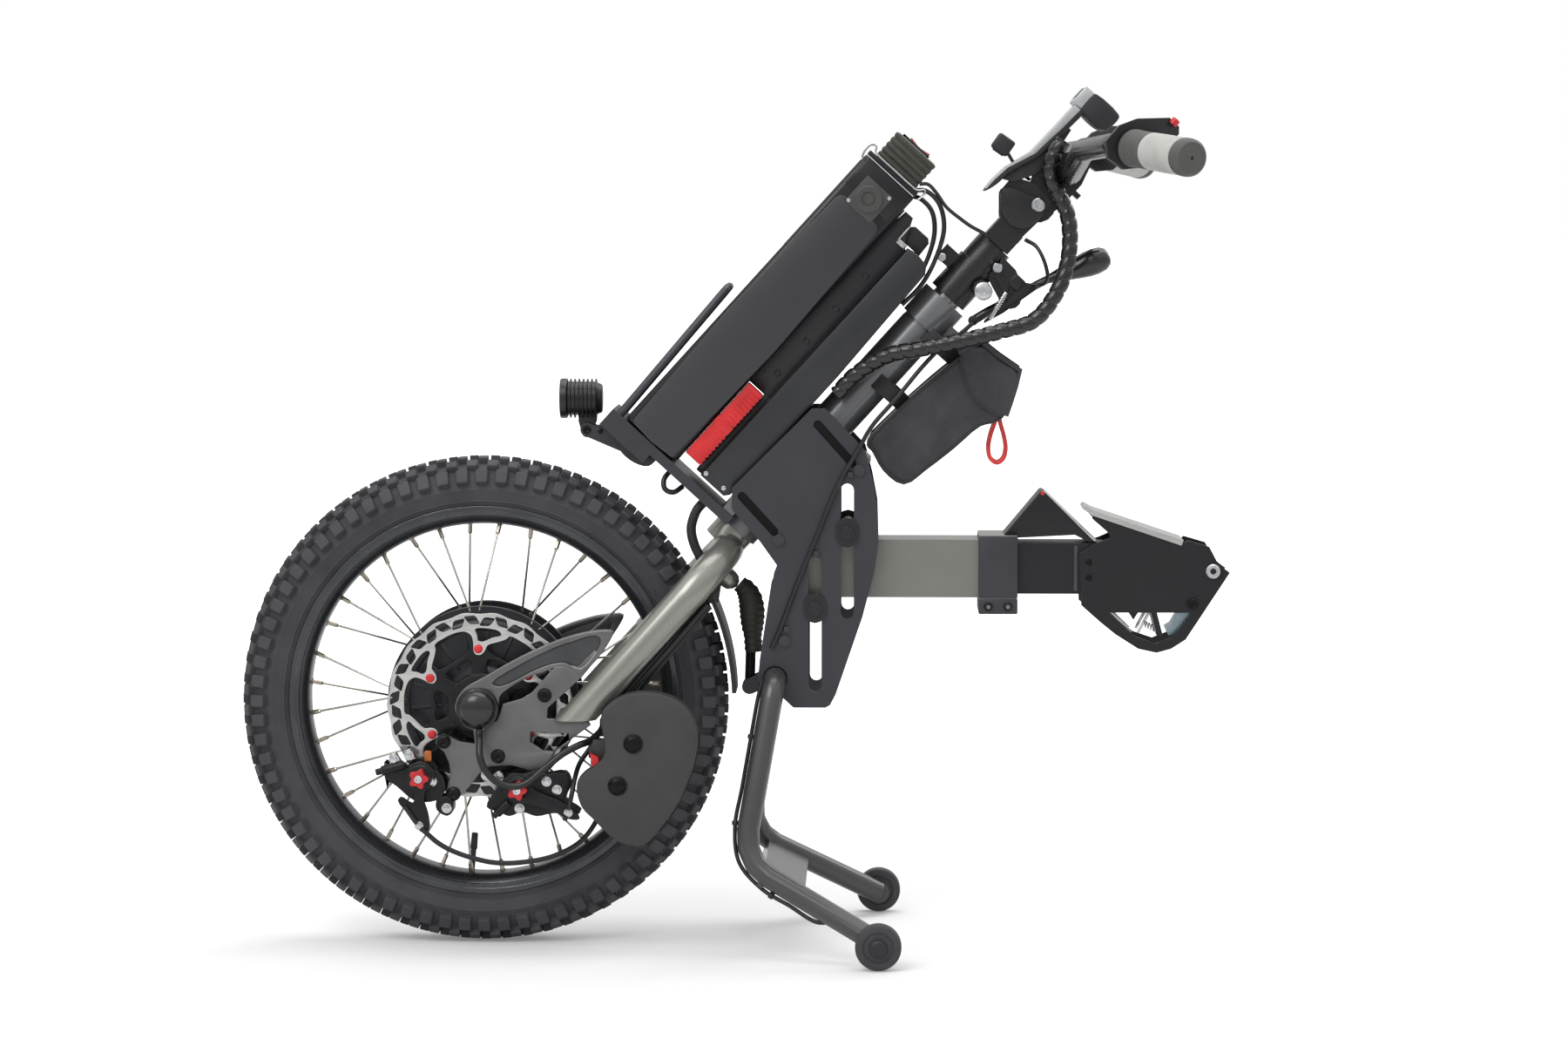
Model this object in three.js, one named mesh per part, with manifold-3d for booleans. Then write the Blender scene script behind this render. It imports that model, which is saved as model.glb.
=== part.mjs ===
// Power-assist front-wheel attachment for a wheelchair, standing on its own stand.
// Millimetres, +Z up, -X forward. The origin is on the floor, under the middle of the whole object.

import * as THREE from 'three';
import { mergeVertices } from 'three/addons/utils/BufferGeometryUtils.js';
import Module from 'manifold-3d';

const wasm = await Module();
wasm.setup();

// Shared values
const seat = 0.3;
const overrun = 5;
const tubeSides = 12;
const cordSides = 8;

// Wheel
const tyreRadius = 237.5;
const tyreHalfWidth = 31;
const knobHeight = 5.5;
const knobCount = 40;
const casingWall = 4;
const rimRadius = 190;
const rimHalfWidth = 24;
const rimDepth = 18;
const rimLip = 3;
const spokeCount = 36;
const spokeThickness = 2.2;
const spokeSkew = THREE.MathUtils.degToRad(7);
const hubFlangeRadius = 93;
const hubFlangeOffset = 27;
const hubFlangeThickness = 4;
const hubShellRadius = 84;
const hubHalfWidth = 46;
const axleRadius = 7;
const axleFit = 0.4;

// Brake rotor and its carrier
const rotorRadius = 90;
const rotorBand = 19;
const rotorThickness = 2;
const rotorPlane = 60;
const rotorSlotCount = 24;
const rotorArmCount = 6;
const rotorBoltCircle = 54.6;
const carrierThickness = 5;
const carrierPad = 7.5;

// Steering column
const steeringTilt = THREE.MathUtils.degToRad(42.3);
const axleLead = 68.8;
const forkTubeRadius = 16;
const forkHalfSpan = 78;
const forkOffset = 7;
const forkBend = 58;
const tyreCrownGap = 14.5;
const crownHeight = tyreRadius + tyreCrownGap + forkTubeRadius;
const crownSwingGap = 3.5;
const headBase = crownHeight + forkTubeRadius + crownSwingGap;
const steererRadius = 14.5;
const steererBore = 11.7;
const headTubeRadius = 20.4;
const headTubeLength = 269;
const headCupHeight = 12;
const headCupWall = 3;
const headCollarHeight = 32;
const headCollarWall = 3.8;

// Dropouts
const dropoutThickness = 10;
const dropoutReach = 135;
const dropoutHubRadius = 22;
const dropoutSlotDepth = 9;
const caliperCircle = 85.8;
const caliperAngles = [-130, -63];
const caliperArmHeadings = [-92, -22];
const caliperArmLengths = [47, 52];

// Column blocks and side plates
const blockLowRise = 29;
const blockHighRise = 128.5;
const blockHeight = 22;
const plateOffset = 45;
const plateThickness = 5;
const plateWidth = 141;
const plateHeight = 289;
const plateLeft = -2;
const plateBottom = -169.5;
const slotWidth = 12.6;
const slotLength = 131;
const slotHighX = 109;
const slotHighBottom = -83.5;
const slotLowX = 78;
const slotLowBottom = -154;

// Battery side
const trayThickness = 10;
const trayHalfWidth = 44;
const batteryDepth = 63;
const batteryWidth = 90;
const batteryHeight = 346;
const batteryFront = -151;
const controllerDepth = 35;
const controllerWidth = 80;
const controllerHeight = 297;
const controllerBack = -25;
const controllerRise = 17;

// Stand
const standPivotX = 39.6;
const standPivotZ = -141;
const standTubeRadius = 11;
const standTopHalfWidth = 70;
const standBendForward = 30;
const standBendHeight = 92;
const standBendHalfWidth = 94;
const standFootSetback = 100;
const standFootHalfWidth = 142;
const rollerRadius = 22;
const rollerWidth = 16;

// Arm and docking head
const armRise = -36.2;
const armTubeSize = 56;
const armTubeWall = 3;
const armTubeEnd = 273;
const armCollarLength = 37;
const armCollarWall = 4.5;
const extensionSize = 49.2;
const extensionWall = 3;
const extensionStart = 146;
const extensionEnd = 336;
const dockLeft = 333;
const dockBottom = -117.5;
const dockWidth = 145;
const dockHeight = 133;
const dockPlateThickness = 4;

// Mast, head and handlebar
const mastRadius = 11.2;
const mastDip = 180;
const clampLowRise = 305;
const clampLowHeight = 42;
const clampHighHeight = 26;
const tiltX = 4.4;
const tiltRise = 428.7;
const barRadius = 11.1;
const barX = 6;
const barRise = 471;
const barHalfWidth = 336;
const gripRadius = 17;

const axleHeight = tyreRadius;
const headX = axleLead * Math.cos(steeringTilt) + headBase * Math.sin(steeringTilt);
const headZ = axleHeight - axleLead * Math.sin(steeringTilt) + headBase * Math.cos(steeringTilt);
const boxRear = headX + dockLeft + dockWidth;
const boxMiddle = (boxRear - tyreRadius) / 2;

// Solids and joins

function solidOf(geometry) {
  const bare = geometry.clone();
  bare.deleteAttribute('normal');
  bare.deleteAttribute('uv');
  const merged = mergeVertices(bare);
  const places = merged.getAttribute('position').array;
  const faces = merged.getIndex().array;
  const corner = [new THREE.Vector3(), new THREE.Vector3(), new THREE.Vector3()];
  const kept = [];
  let volume = 0;
  for (let i = 0; i < faces.length; i += 3) {
    const [a, b, c] = [faces[i], faces[i + 1], faces[i + 2]];
    if (a === b || b === c || c === a) continue;
    kept.push(a, b, c);
    corner[0].fromArray(places, a * 3);
    corner[1].fromArray(places, b * 3);
    corner[2].fromArray(places, c * 3);
    volume += corner[0].dot(corner[1].cross(corner[2]));
  }
  if (volume < 0) kept.reverse();
  return new wasm.Manifold(new wasm.Mesh({
    numProp: 3,
    vertProperties: new Float32Array(places),
    triVerts: new Uint32Array(kept),
  }));
}

function geometryOf(solid) {
  const mesh = solid.getMesh();
  const geometry = new THREE.BufferGeometry();
  geometry.setAttribute('position', new THREE.BufferAttribute(mesh.vertProperties, 3));
  geometry.setIndex(new THREE.BufferAttribute(mesh.triVerts, 1));
  geometry.computeVertexNormals();
  return geometry;
}

function join(...geometries) {
  let whole = solidOf(geometries[0]);
  for (const next of geometries.slice(1)) whole = whole.add(solidOf(next));
  return geometryOf(whole);
}

function cut(geometry, ...tools) {
  let whole = solidOf(geometry);
  for (const tool of tools) whole = whole.subtract(solidOf(tool));
  return geometryOf(whole);
}

// Basic forms

function box(x0, x1, y0, y1, z0, z1) {
  const geometry = new THREE.BoxGeometry(x1 - x0, y1 - y0, z1 - z0);
  return geometry.translate((x0 + x1) / 2, (y0 + y1) / 2, (z0 + z1) / 2);
}

function rod(from, to, radius, sides = tubeSides, endRadius = radius) {
  const start = new THREE.Vector3(...from);
  const end = new THREE.Vector3(...to);
  const way = end.clone().sub(start);
  const geometry = new THREE.CylinderGeometry(endRadius, radius, way.length(), sides);
  const turn = new THREE.Quaternion().setFromUnitVectors(new THREE.Vector3(0, 1, 0), way.clone().normalize());
  return geometry.applyQuaternion(turn).translate(...start.add(end).multiplyScalar(0.5).toArray());
}

function crossRod(x, z, halfWidth, radius, sides = tubeSides) {
  return rod([x, -halfWidth, z], [x, halfWidth, z], radius, sides);
}

// The same outline, running counter-clockwise
function wound(shape, curveSegments) {
  const { shape: edge, holes } = shape.extractPoints(curveSegments);
  const whole = new THREE.Shape(THREE.ShapeUtils.isClockWise(edge) ? edge.reverse() : edge);
  whole.holes = holes.map((hole) => new THREE.Path(hole));
  return whole;
}

// A profile in X and Z, given a thickness across Y
function slab(shape, thickness, middle = 0, curveSegments = 6) {
  const geometry = new THREE.ExtrudeGeometry(wound(shape, curveSegments), { depth: thickness, bevelEnabled: false });
  return geometry.rotateX(Math.PI / 2).translate(0, middle + thickness / 2, 0);
}

// A profile in X and Y, given a height along Z
function block(shape, bottom, top, curveSegments = 3) {
  const geometry = new THREE.ExtrudeGeometry(wound(shape, curveSegments), { depth: top - bottom, bevelEnabled: false });
  return geometry.translate(0, 0, bottom);
}

function outline(points) {
  return new THREE.Shape(points.map(([x, z]) => new THREE.Vector2(x, z)));
}

function scaled(shares, width, height = width, left = 0, bottom = 0) {
  return shares.map(([x, z]) => [left + x * width, bottom + z * height]);
}

function smoothOutline(points, divisions) {
  const curve = new THREE.SplineCurve([...points, points[0]].map(([x, z]) => new THREE.Vector2(x, z)));
  return new THREE.Shape(curve.getPoints(divisions).slice(0, -1));
}

function roundedRectangle(x0, x1, y0, y1, radius) {
  const shape = new THREE.Shape();
  shape.moveTo(x0 + radius, y0);
  shape.lineTo(x1 - radius, y0);
  shape.absarc(x1 - radius, y0 + radius, radius, -Math.PI / 2, 0);
  shape.lineTo(x1, y1 - radius);
  shape.absarc(x1 - radius, y1 - radius, radius, 0, Math.PI / 2);
  shape.lineTo(x0 + radius, y1);
  shape.absarc(x0 + radius, y1 - radius, radius, Math.PI / 2, Math.PI);
  shape.lineTo(x0, y0 + radius);
  shape.absarc(x0 + radius, y0 + radius, radius, Math.PI, Math.PI * 1.5);
  return shape;
}

// A slot with round ends, given its two end centres
function slotShape([x0, z0], [x1, z1], width) {
  const heading = Math.atan2(z1 - z0, x1 - x0);
  const shape = new THREE.Shape();
  shape.absarc(x0, z0, width / 2, heading + Math.PI / 2, heading + Math.PI * 1.5);
  shape.absarc(x1, z1, width / 2, heading - Math.PI / 2, heading + Math.PI / 2);
  return shape;
}

function ringOf(radius, sides) {
  const points = [];
  for (let i = 0; i < sides; i += 1) {
    const angle = (i / sides) * Math.PI * 2;
    points.push(new THREE.Vector2(Math.cos(angle) * radius, Math.sin(angle) * radius));
  }
  return new THREE.Shape(points);
}

function lathe(profile, segments) {
  return new THREE.LatheGeometry(profile.map(([r, y]) => new THREE.Vector2(r, y)), segments);
}

function turned(profile, segments = 24) {
  return lathe([...profile, profile[0]], segments);
}

function mirrored(geometry) {
  return geometryOf(solidOf(geometry.clone().scale(1, -1, 1)));
}

// A bent tube: straight runs joined by arcs, with one bend radius or one for each corner
class BentPath extends THREE.Curve {
  constructor(corners, bends, stepsPerBend = 5) {
    super();
    const points = corners.map((corner) => new THREE.Vector3(...corner));
    this.stations = [points[0]];
    for (let i = 1; i < points.length - 1; i += 1) {
      const into = points[i].clone().sub(points[i - 1]).normalize();
      const out = points[i + 1].clone().sub(points[i]).normalize();
      const half = into.angleTo(out) / 2;
      const bend = Array.isArray(bends) ? bends[i - 1] : bends;
      const reach = bend * Math.tan(half);
      const inward = out.clone().sub(into).normalize();
      const centre = points[i].clone().addScaledVector(inward, bend / Math.cos(half));
      const first = points[i].clone().addScaledVector(into, -reach).sub(centre);
      const swing = new THREE.Vector3().crossVectors(into, out).normalize();
      for (let step = 0; step <= stepsPerBend; step += 1) {
        const turn = (2 * half * step) / stepsPerBend;
        this.stations.push(first.clone().applyAxisAngle(swing, turn).add(centre));
      }
    }
    this.stations.push(points.at(-1));
    this.headings = this.stations.map((here, i, all) => {
      const before = i === 0 ? here : all[i - 1];
      const after = i === all.length - 1 ? here : all[i + 1];
      const back = here.clone().sub(before).normalize();
      const ahead = after.clone().sub(here).normalize();
      return back.add(ahead).normalize();
    });
  }

  get steps() {
    return this.stations.length - 1;
  }

  getPointAt(u) {
    return this.stations[Math.round(u * this.steps)].clone();
  }

  getTangentAt(u, target = new THREE.Vector3()) {
    return target.copy(this.headings[Math.round(u * this.steps)]);
  }
}

function bentTube(corners, bend, radius, sides = tubeSides, stepsPerBend = 5) {
  const path = new BentPath(corners, bend, stepsPerBend);
  return new THREE.ExtrudeGeometry(ringOf(radius, sides), { steps: path.steps, extrudePath: path });
}

function cord(points, radius, steps, sides = cordSides) {
  const path = new THREE.CatmullRomCurve3(points.map((point) => new THREE.Vector3(...point)), false, 'centripetal');
  return new THREE.ExtrudeGeometry(ringOf(radius, sides), { steps, extrudePath: path });
}

// A closed skin through a row of rings that all have the same number of points
function skin(rings, closedLoop) {
  const size = rings[0].length;
  const places = rings.flat(2);
  const faces = [];
  const last = closedLoop ? rings.length : rings.length - 1;
  for (let i = 0; i < last; i += 1) {
    const next = (i + 1) % rings.length;
    for (let j = 0; j < size; j += 1) {
      const beside = (j + 1) % size;
      const [a, b, c, d] = [i * size + j, i * size + beside, next * size + beside, next * size + j];
      faces.push(a, b, c, a, c, d);
    }
  }
  if (!closedLoop) {
    const end = (rings.length - 1) * size;
    for (let j = 1; j < size - 1; j += 1) {
      faces.push(0, j + 1, j);
      faces.push(end, end + j, end + j + 1);
    }
  }
  const geometry = new THREE.BufferGeometry();
  geometry.setAttribute('position', new THREE.Float32BufferAttribute(places, 3));
  geometry.setIndex(faces);
  return geometryOf(solidOf(geometry));
}

// A tube whose radius changes along its path: each station is a share of the path and a radius
function swellingTube(points, stations, sides) {
  const path = new THREE.CatmullRomCurve3(points.map((point) => new THREE.Vector3(...point)), false, 'centripetal');
  const divisions = 400;
  const frames = path.computeFrenetFrames(divisions, false);
  const rings = stations.map(([share, radius]) => {
    const spot = Math.round(share * divisions);
    const middle = path.getPointAt(spot / divisions);
    const ring = [];
    for (let j = 0; j < sides; j += 1) {
      const angle = (j / sides) * Math.PI * 2;
      const place = middle.clone()
        .addScaledVector(frames.normals[spot], Math.cos(angle) * radius)
        .addScaledVector(frames.binormals[spot], Math.sin(angle) * radius);
      ring.push(place.toArray());
    }
    return ring;
  });
  return skin(rings, false);
}

// Places on the column, and the same places seen from the axle and from the head

function columnToAxle(x, rise) {
  const along = axleLead + x;
  return [
    along * Math.cos(steeringTilt) + rise * Math.sin(steeringTilt),
    rise * Math.cos(steeringTilt) - along * Math.sin(steeringTilt),
  ];
}

function columnToHead(x, rise) {
  return [
    x * Math.cos(steeringTilt) + rise * Math.sin(steeringTilt),
    rise * Math.cos(steeringTilt) - x * Math.sin(steeringTilt),
  ];
}

// Wheel pieces, in a frame at the axle

function tyre() {
  const height = tyreRadius - rimRadius;
  const knobRadius = tyreRadius - knobHeight;
  // Shares of the half width and of the section height; the third value lifts the knob
  const knobRowShares = [
    [1.0, 0.6, 0.12, 0.04],
    [0.72, 0.86, 0.12, 0.12],
  ];
  const beadShare = (rimHalfWidth - rimLip - seat) / tyreHalfWidth;
  const sideRowShares = [[beadShare, -0.06], [beadShare, 0.013], [0.94, 0.26]];
  const innerShares = [[0.55, -0.1], [0.7, 0.6]];
  const ringPlaces = (radius, y, angle) => [Math.cos(angle) * radius, y, Math.sin(angle) * radius];
  const pitch = (Math.PI * 2) / knobCount;
  const treadShares = [0, 0.3, 0.82];
  const places = [];
  const faces = [];
  const put = (place) => places.push(...place) / 3 - 1;
  const side = [];
  const tread = [];
  const inner = [];
  for (let i = 0; i < knobCount; i += 1) {
    const angle = i * pitch;
    const sideRing = [-1, 1].map((sign) => sideRowShares.map(([w, h]) =>
      put(ringPlaces(rimRadius + h * height, sign * w * tyreHalfWidth, angle))));
    side.push(sideRing);
    inner.push([-1, 1].map((sign) => innerShares.map(([w, h]) =>
      put(ringPlaces(rimRadius + h * height, sign * w * tyreHalfWidth, angle)))));
    for (const share of treadShares) {
      const high = share > 0;
      const turn = angle + share * pitch;
      const rows = [-1, 1].map((sign) => knobRowShares.map(([w, h, wide, lift]) => put(ringPlaces(
        rimRadius + (h + (high ? lift : 0)) * height,
        sign * (w + (high ? wide : 0)) * tyreHalfWidth,
        turn))));
      const crown = put(ringPlaces(high ? tyreRadius : knobRadius, 0, turn));
      tread.push([...rows[0], crown, ...rows[1].reverse()]);
    }
  }
  const quad = (a, b, c, d) => faces.push(a, b, c, a, c, d);
  const treads = tread.length;
  for (let t = 0; t < treads; t += 1) {
    const [here, next] = [tread[t], tread[(t + 1) % treads]];
    for (let j = 0; j < here.length - 1; j += 1) quad(here[j], here[j + 1], next[j + 1], next[j]);
  }
  const steps = treadShares.length;
  for (let i = 0; i < knobCount; i += 1) {
    const after = (i + 1) % knobCount;
    const [low, high] = [side[i], side[after]];
    const [innerLow, innerHigh] = [inner[i], inner[after]];
    for (let j = 0; j < sideRowShares.length - 1; j += 1) {
      quad(low[0][j], low[0][j + 1], high[0][j + 1], high[0][j]);
      quad(low[1][j + 1], low[1][j], high[1][j], high[1][j + 1]);
    }
    for (let j = 0; j < innerShares.length - 1; j += 1) {
      quad(innerLow[0][j + 1], innerLow[0][j], innerHigh[0][j], innerHigh[0][j + 1]);
      quad(innerLow[1][j], innerLow[1][j + 1], innerHigh[1][j + 1], innerHigh[1][j]);
    }
    quad(innerLow[0][0], low[0][0], high[0][0], innerHigh[0][0]);
    quad(low[1][0], innerLow[1][0], innerHigh[1][0], high[1][0]);
    quad(innerLow[1].at(-1), innerLow[0].at(-1), innerHigh[0].at(-1), innerHigh[1].at(-1));
    // The plain sidewall meets the finer tread in a fan
    const foot = Array.from({ length: steps + 1 }, (_, k) => tread[(i * steps + k) % treads]);
    const [near, far] = [low[0].at(-1), high[0].at(-1)];
    for (let k = 0; k < steps; k += 1) faces.push(near, foot[k][0], foot[k + 1][0]);
    faces.push(near, foot[steps][0], far);
    const [nearRight, farRight] = [low[1].at(-1), high[1].at(-1)];
    for (let k = 0; k < steps; k += 1) faces.push(nearRight, foot[k + 1].at(-1), foot[k].at(-1));
    faces.push(nearRight, farRight, foot[steps].at(-1));
  }
  const geometry = new THREE.BufferGeometry();
  geometry.setAttribute('position', new THREE.Float32BufferAttribute(places, 3));
  geometry.setIndex(faces);
  return geometryOf(solidOf(geometry));
}

function rimAndSpokes() {
  const lipInside = rimHalfWidth - rimLip;
  const bedRadius = rimRadius - rimDepth * 0.28;
  const seatRadius = rimRadius - rimDepth * 0.5;
  const floorRadius = rimRadius - rimDepth;
  const rim = turned([
    [rimRadius, -rimHalfWidth], [rimRadius, -lipInside], [bedRadius, -lipInside],
    [bedRadius, lipInside], [rimRadius, lipInside], [rimRadius, rimHalfWidth],
    [seatRadius, rimHalfWidth], [floorRadius, rimHalfWidth * 0.5],
    [floorRadius, -rimHalfWidth * 0.5], [seatRadius, -rimHalfWidth],
  ], knobCount);
  let whole = solidOf(rim);
  for (let i = 0; i < spokeCount; i += 1) {
    const angle = (i / spokeCount) * Math.PI * 2;
    const side = i % 2 === 0 ? 1 : -1;
    const skew = (i % 4 < 2 ? 1 : -1) * spokeSkew;
    const inner = hubFlangeRadius + seat + spokeThickness * 0.2;
    const outer = floorRadius + rimDepth * 0.15;
    const from = [Math.cos(angle + skew) * inner, side * hubFlangeOffset, Math.sin(angle + skew) * inner];
    const to = [Math.cos(angle) * outer, side * rimHalfWidth * 0.2, Math.sin(angle) * outer];
    whole = whole.add(solidOf(rod(from, to, spokeThickness / 2, 3)));
  }
  return geometryOf(whole);
}

function hubMotor() {
  const outerFlange = hubFlangeOffset + hubFlangeThickness / 2;
  const innerFlange = hubFlangeOffset - hubFlangeThickness / 2;
  const bore = axleRadius + axleFit;
  return turned([
    [bore, -hubHalfWidth], [hubShellRadius * 0.3, -hubHalfWidth], [hubShellRadius * 0.42, -hubHalfWidth * 0.86],
    [hubShellRadius * 0.95, -hubHalfWidth * 0.76],
    [hubShellRadius, -outerFlange], [hubFlangeRadius, -outerFlange], [hubFlangeRadius, -innerFlange],
    [hubShellRadius, -innerFlange], [hubShellRadius, innerFlange], [hubFlangeRadius, innerFlange],
    [hubFlangeRadius, outerFlange], [hubShellRadius, outerFlange],
    [hubShellRadius * 0.95, hubHalfWidth * 0.76], [hubShellRadius * 0.42, hubHalfWidth * 0.86],
    [hubShellRadius * 0.3, hubHalfWidth], [bore, hubHalfWidth],
  ], 20);
}

function brakeRotor() {
  const scallop = rotorRadius * 0.017;
  const outer = [];
  for (let i = 0; i < rotorSlotCount * 2; i += 1) {
    const angle = (i / (rotorSlotCount * 2)) * Math.PI * 2;
    const radius = rotorRadius - (i % 2 === 0 ? scallop : 0);
    outer.push([Math.cos(angle) * radius, Math.sin(angle) * radius]);
  }
  const disc = outline(outer);
  const at = (radius, angle) => new THREE.Vector2(Math.cos(angle) * radius, Math.sin(angle) * radius);
  const bandMiddle = rotorRadius - rotorBand / 2;
  const slotReach = rotorBand * 0.27;
  const pitch = (Math.PI * 2) / rotorSlotCount;
  for (let i = 0; i < rotorSlotCount; i += 1) {
    const middle = (i + 0.5) * pitch;
    const swing = pitch * 0.3;
    const lean = pitch * (i % 2 === 0 ? 0.16 : -0.16);
    disc.holes.push(new THREE.Path([
      at(bandMiddle - slotReach, middle - swing - lean), at(bandMiddle - slotReach, middle + swing - lean),
      at(bandMiddle + slotReach, middle + swing + lean), at(bandMiddle + slotReach, middle - swing + lean),
    ]));
  }
  const bandInner = rotorRadius - rotorBand;
  const armPitch = (Math.PI * 2) / rotorArmCount;
  const inner = [];
  // Arms as shares of the arm pitch and of the way from the bolts to the band
  const armShares = [[-0.4, 1.0], [-0.24, 0.82], [-0.12, -0.42], [0.12, -0.42], [0.24, 0.82], [0.4, 1.0]];
  const boltHole = carrierPad * 0.5 + seat;
  for (let i = 0; i < rotorArmCount; i += 1) {
    for (const [turn, out] of armShares) {
      const radius = rotorBoltCircle + out * (bandInner - rotorBoltCircle);
      inner.push(at(radius, (i + turn) * armPitch));
    }
    const windowShares = [[-0.06, 0.5], [0.08, 0.5], [0.14, 0.9], [-0.12, 0.9]];
    disc.holes.push(new THREE.Path(windowShares.map(([turn, out]) =>
      at(rotorBoltCircle + out * (bandInner - rotorBoltCircle), (i + turn) * armPitch))));
    const { x, y } = at(rotorBoltCircle, i * armPitch);
    disc.holes.push(new THREE.Path(ringOf(boltHole, 6).getPoints().map((p) => p.add(new THREE.Vector2(x, y)))));
  }
  disc.holes.push(new THREE.Path(inner));
  return slab(disc, rotorThickness, -rotorPlane);
}

function rotorCarrier() {
  const face = rotorPlane - rotorThickness / 2 - seat;
  const middle = -(face - carrierThickness / 2);
  const ring = hubShellRadius * 0.3;
  const bossFace = hubHalfWidth + seat;
  const pieces = [slab(ringOf(ring, 18), face - bossFace, -(face + bossFace) / 2)];
  const armHalf = carrierPad * 0.75;
  for (let i = 0; i < rotorArmCount; i += 1) {
    const angle = i * Math.PI * 2 / rotorArmCount;
    const reach = [Math.cos(angle) * rotorBoltCircle, Math.sin(angle) * rotorBoltCircle];
    pieces.push(slab(slotShape([0, 0], reach, armHalf * 2), carrierThickness, middle, 2));
  }
  const bore = crossRod(0, 0, face + overrun, axleRadius + axleFit + seat);
  const head = rotorPlane + rotorThickness / 2;
  const solid = cut(join(...pieces), bore);
  const bolts = [];
  for (let i = 0; i < rotorArmCount; i += 1) {
    const angle = i * Math.PI * 2 / rotorArmCount;
    const [x, z] = [Math.cos(angle) * rotorBoltCircle, Math.sin(angle) * rotorBoltCircle];
    bolts.push(rod([x, -face + seat, z], [x, -head - seat - rotorThickness, z], carrierPad * 0.4, 6));
  }
  return join(solid, ...bolts);
}

// Fork, dropouts and brakes

function legEnd(y) {
  return [forkOffset, y, forkTubeRadius];
}

function fork() {
  const tube = bentTube([
    legEnd(-forkHalfSpan), [forkOffset, -forkHalfSpan, crownHeight],
    [forkOffset, forkHalfSpan, crownHeight], legEnd(forkHalfSpan),
  ], forkBend, forkTubeRadius, 14, 4);
  const steererTop = headBase + clampLowRise + clampLowHeight + clampHighHeight;
  const steerer = rod([0, 0, crownHeight], [0, 0, steererTop], steererRadius, 16);
  const hollow = rod([0, 0, headBase + clampLowRise - mastDip - overrun], [0, 0, steererTop + overrun], steererBore, 16);
  const raceHeight = headBase - crownHeight;
  const race = rod([0, 0, crownHeight], [0, 0, crownHeight + raceHeight], headTubeRadius, 16);
  const ballHeight = headBase - damperBallDrop;
  const stub = rod([forkOffset, 0, ballHeight], [damperBallSetback, 0, ballHeight], damperBallRadius, 12);
  const ball = new THREE.SphereGeometry(damperBallRadius, 12, 6).rotateX(Math.PI / 2)
    .translate(damperBallSetback, 0, ballHeight);
  const whole = join(tube, race, steerer, stub, ball);
  const slotTop = dropoutArmTop() + seat;
  const slots = [-1, 1].map((side) => box(forkOffset - forkTubeRadius * 2, forkOffset + dropoutSlotDepth + seat,
    side * forkHalfSpan - dropoutThickness / 2 - seat, side * forkHalfSpan + dropoutThickness / 2 + seat,
    -forkTubeRadius, slotTop));
  const cutHalf = forkHalfSpan + forkTubeRadius * 2;
  const [cutX, cutZ] = [axleLead * Math.cos(steeringTilt), -axleLead * Math.sin(steeringTilt)];
  const floorCut = box(-dropoutReach, dropoutReach * 2, -cutHalf, cutHalf, -dropoutReach, legCutHeight())
    .translate(-cutX, 0, -cutZ).rotateY(-steeringTilt);
  return cut(whole, hollow, ...slots, floorCut);
}

// The top of the arm where it enters the leg, measured along the column
function dropoutArmTop() {
  return dropoutReach * 1.08;
}

// The leg ends square to the floor a little under the axle
function legCutHeight() {
  return -dropoutReach * 0.085;
}

function caliperPlace(index) {
  const angle = THREE.MathUtils.degToRad(caliperAngles[index]);
  return [Math.cos(angle) * caliperCircle, Math.sin(angle) * caliperCircle];
}

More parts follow.
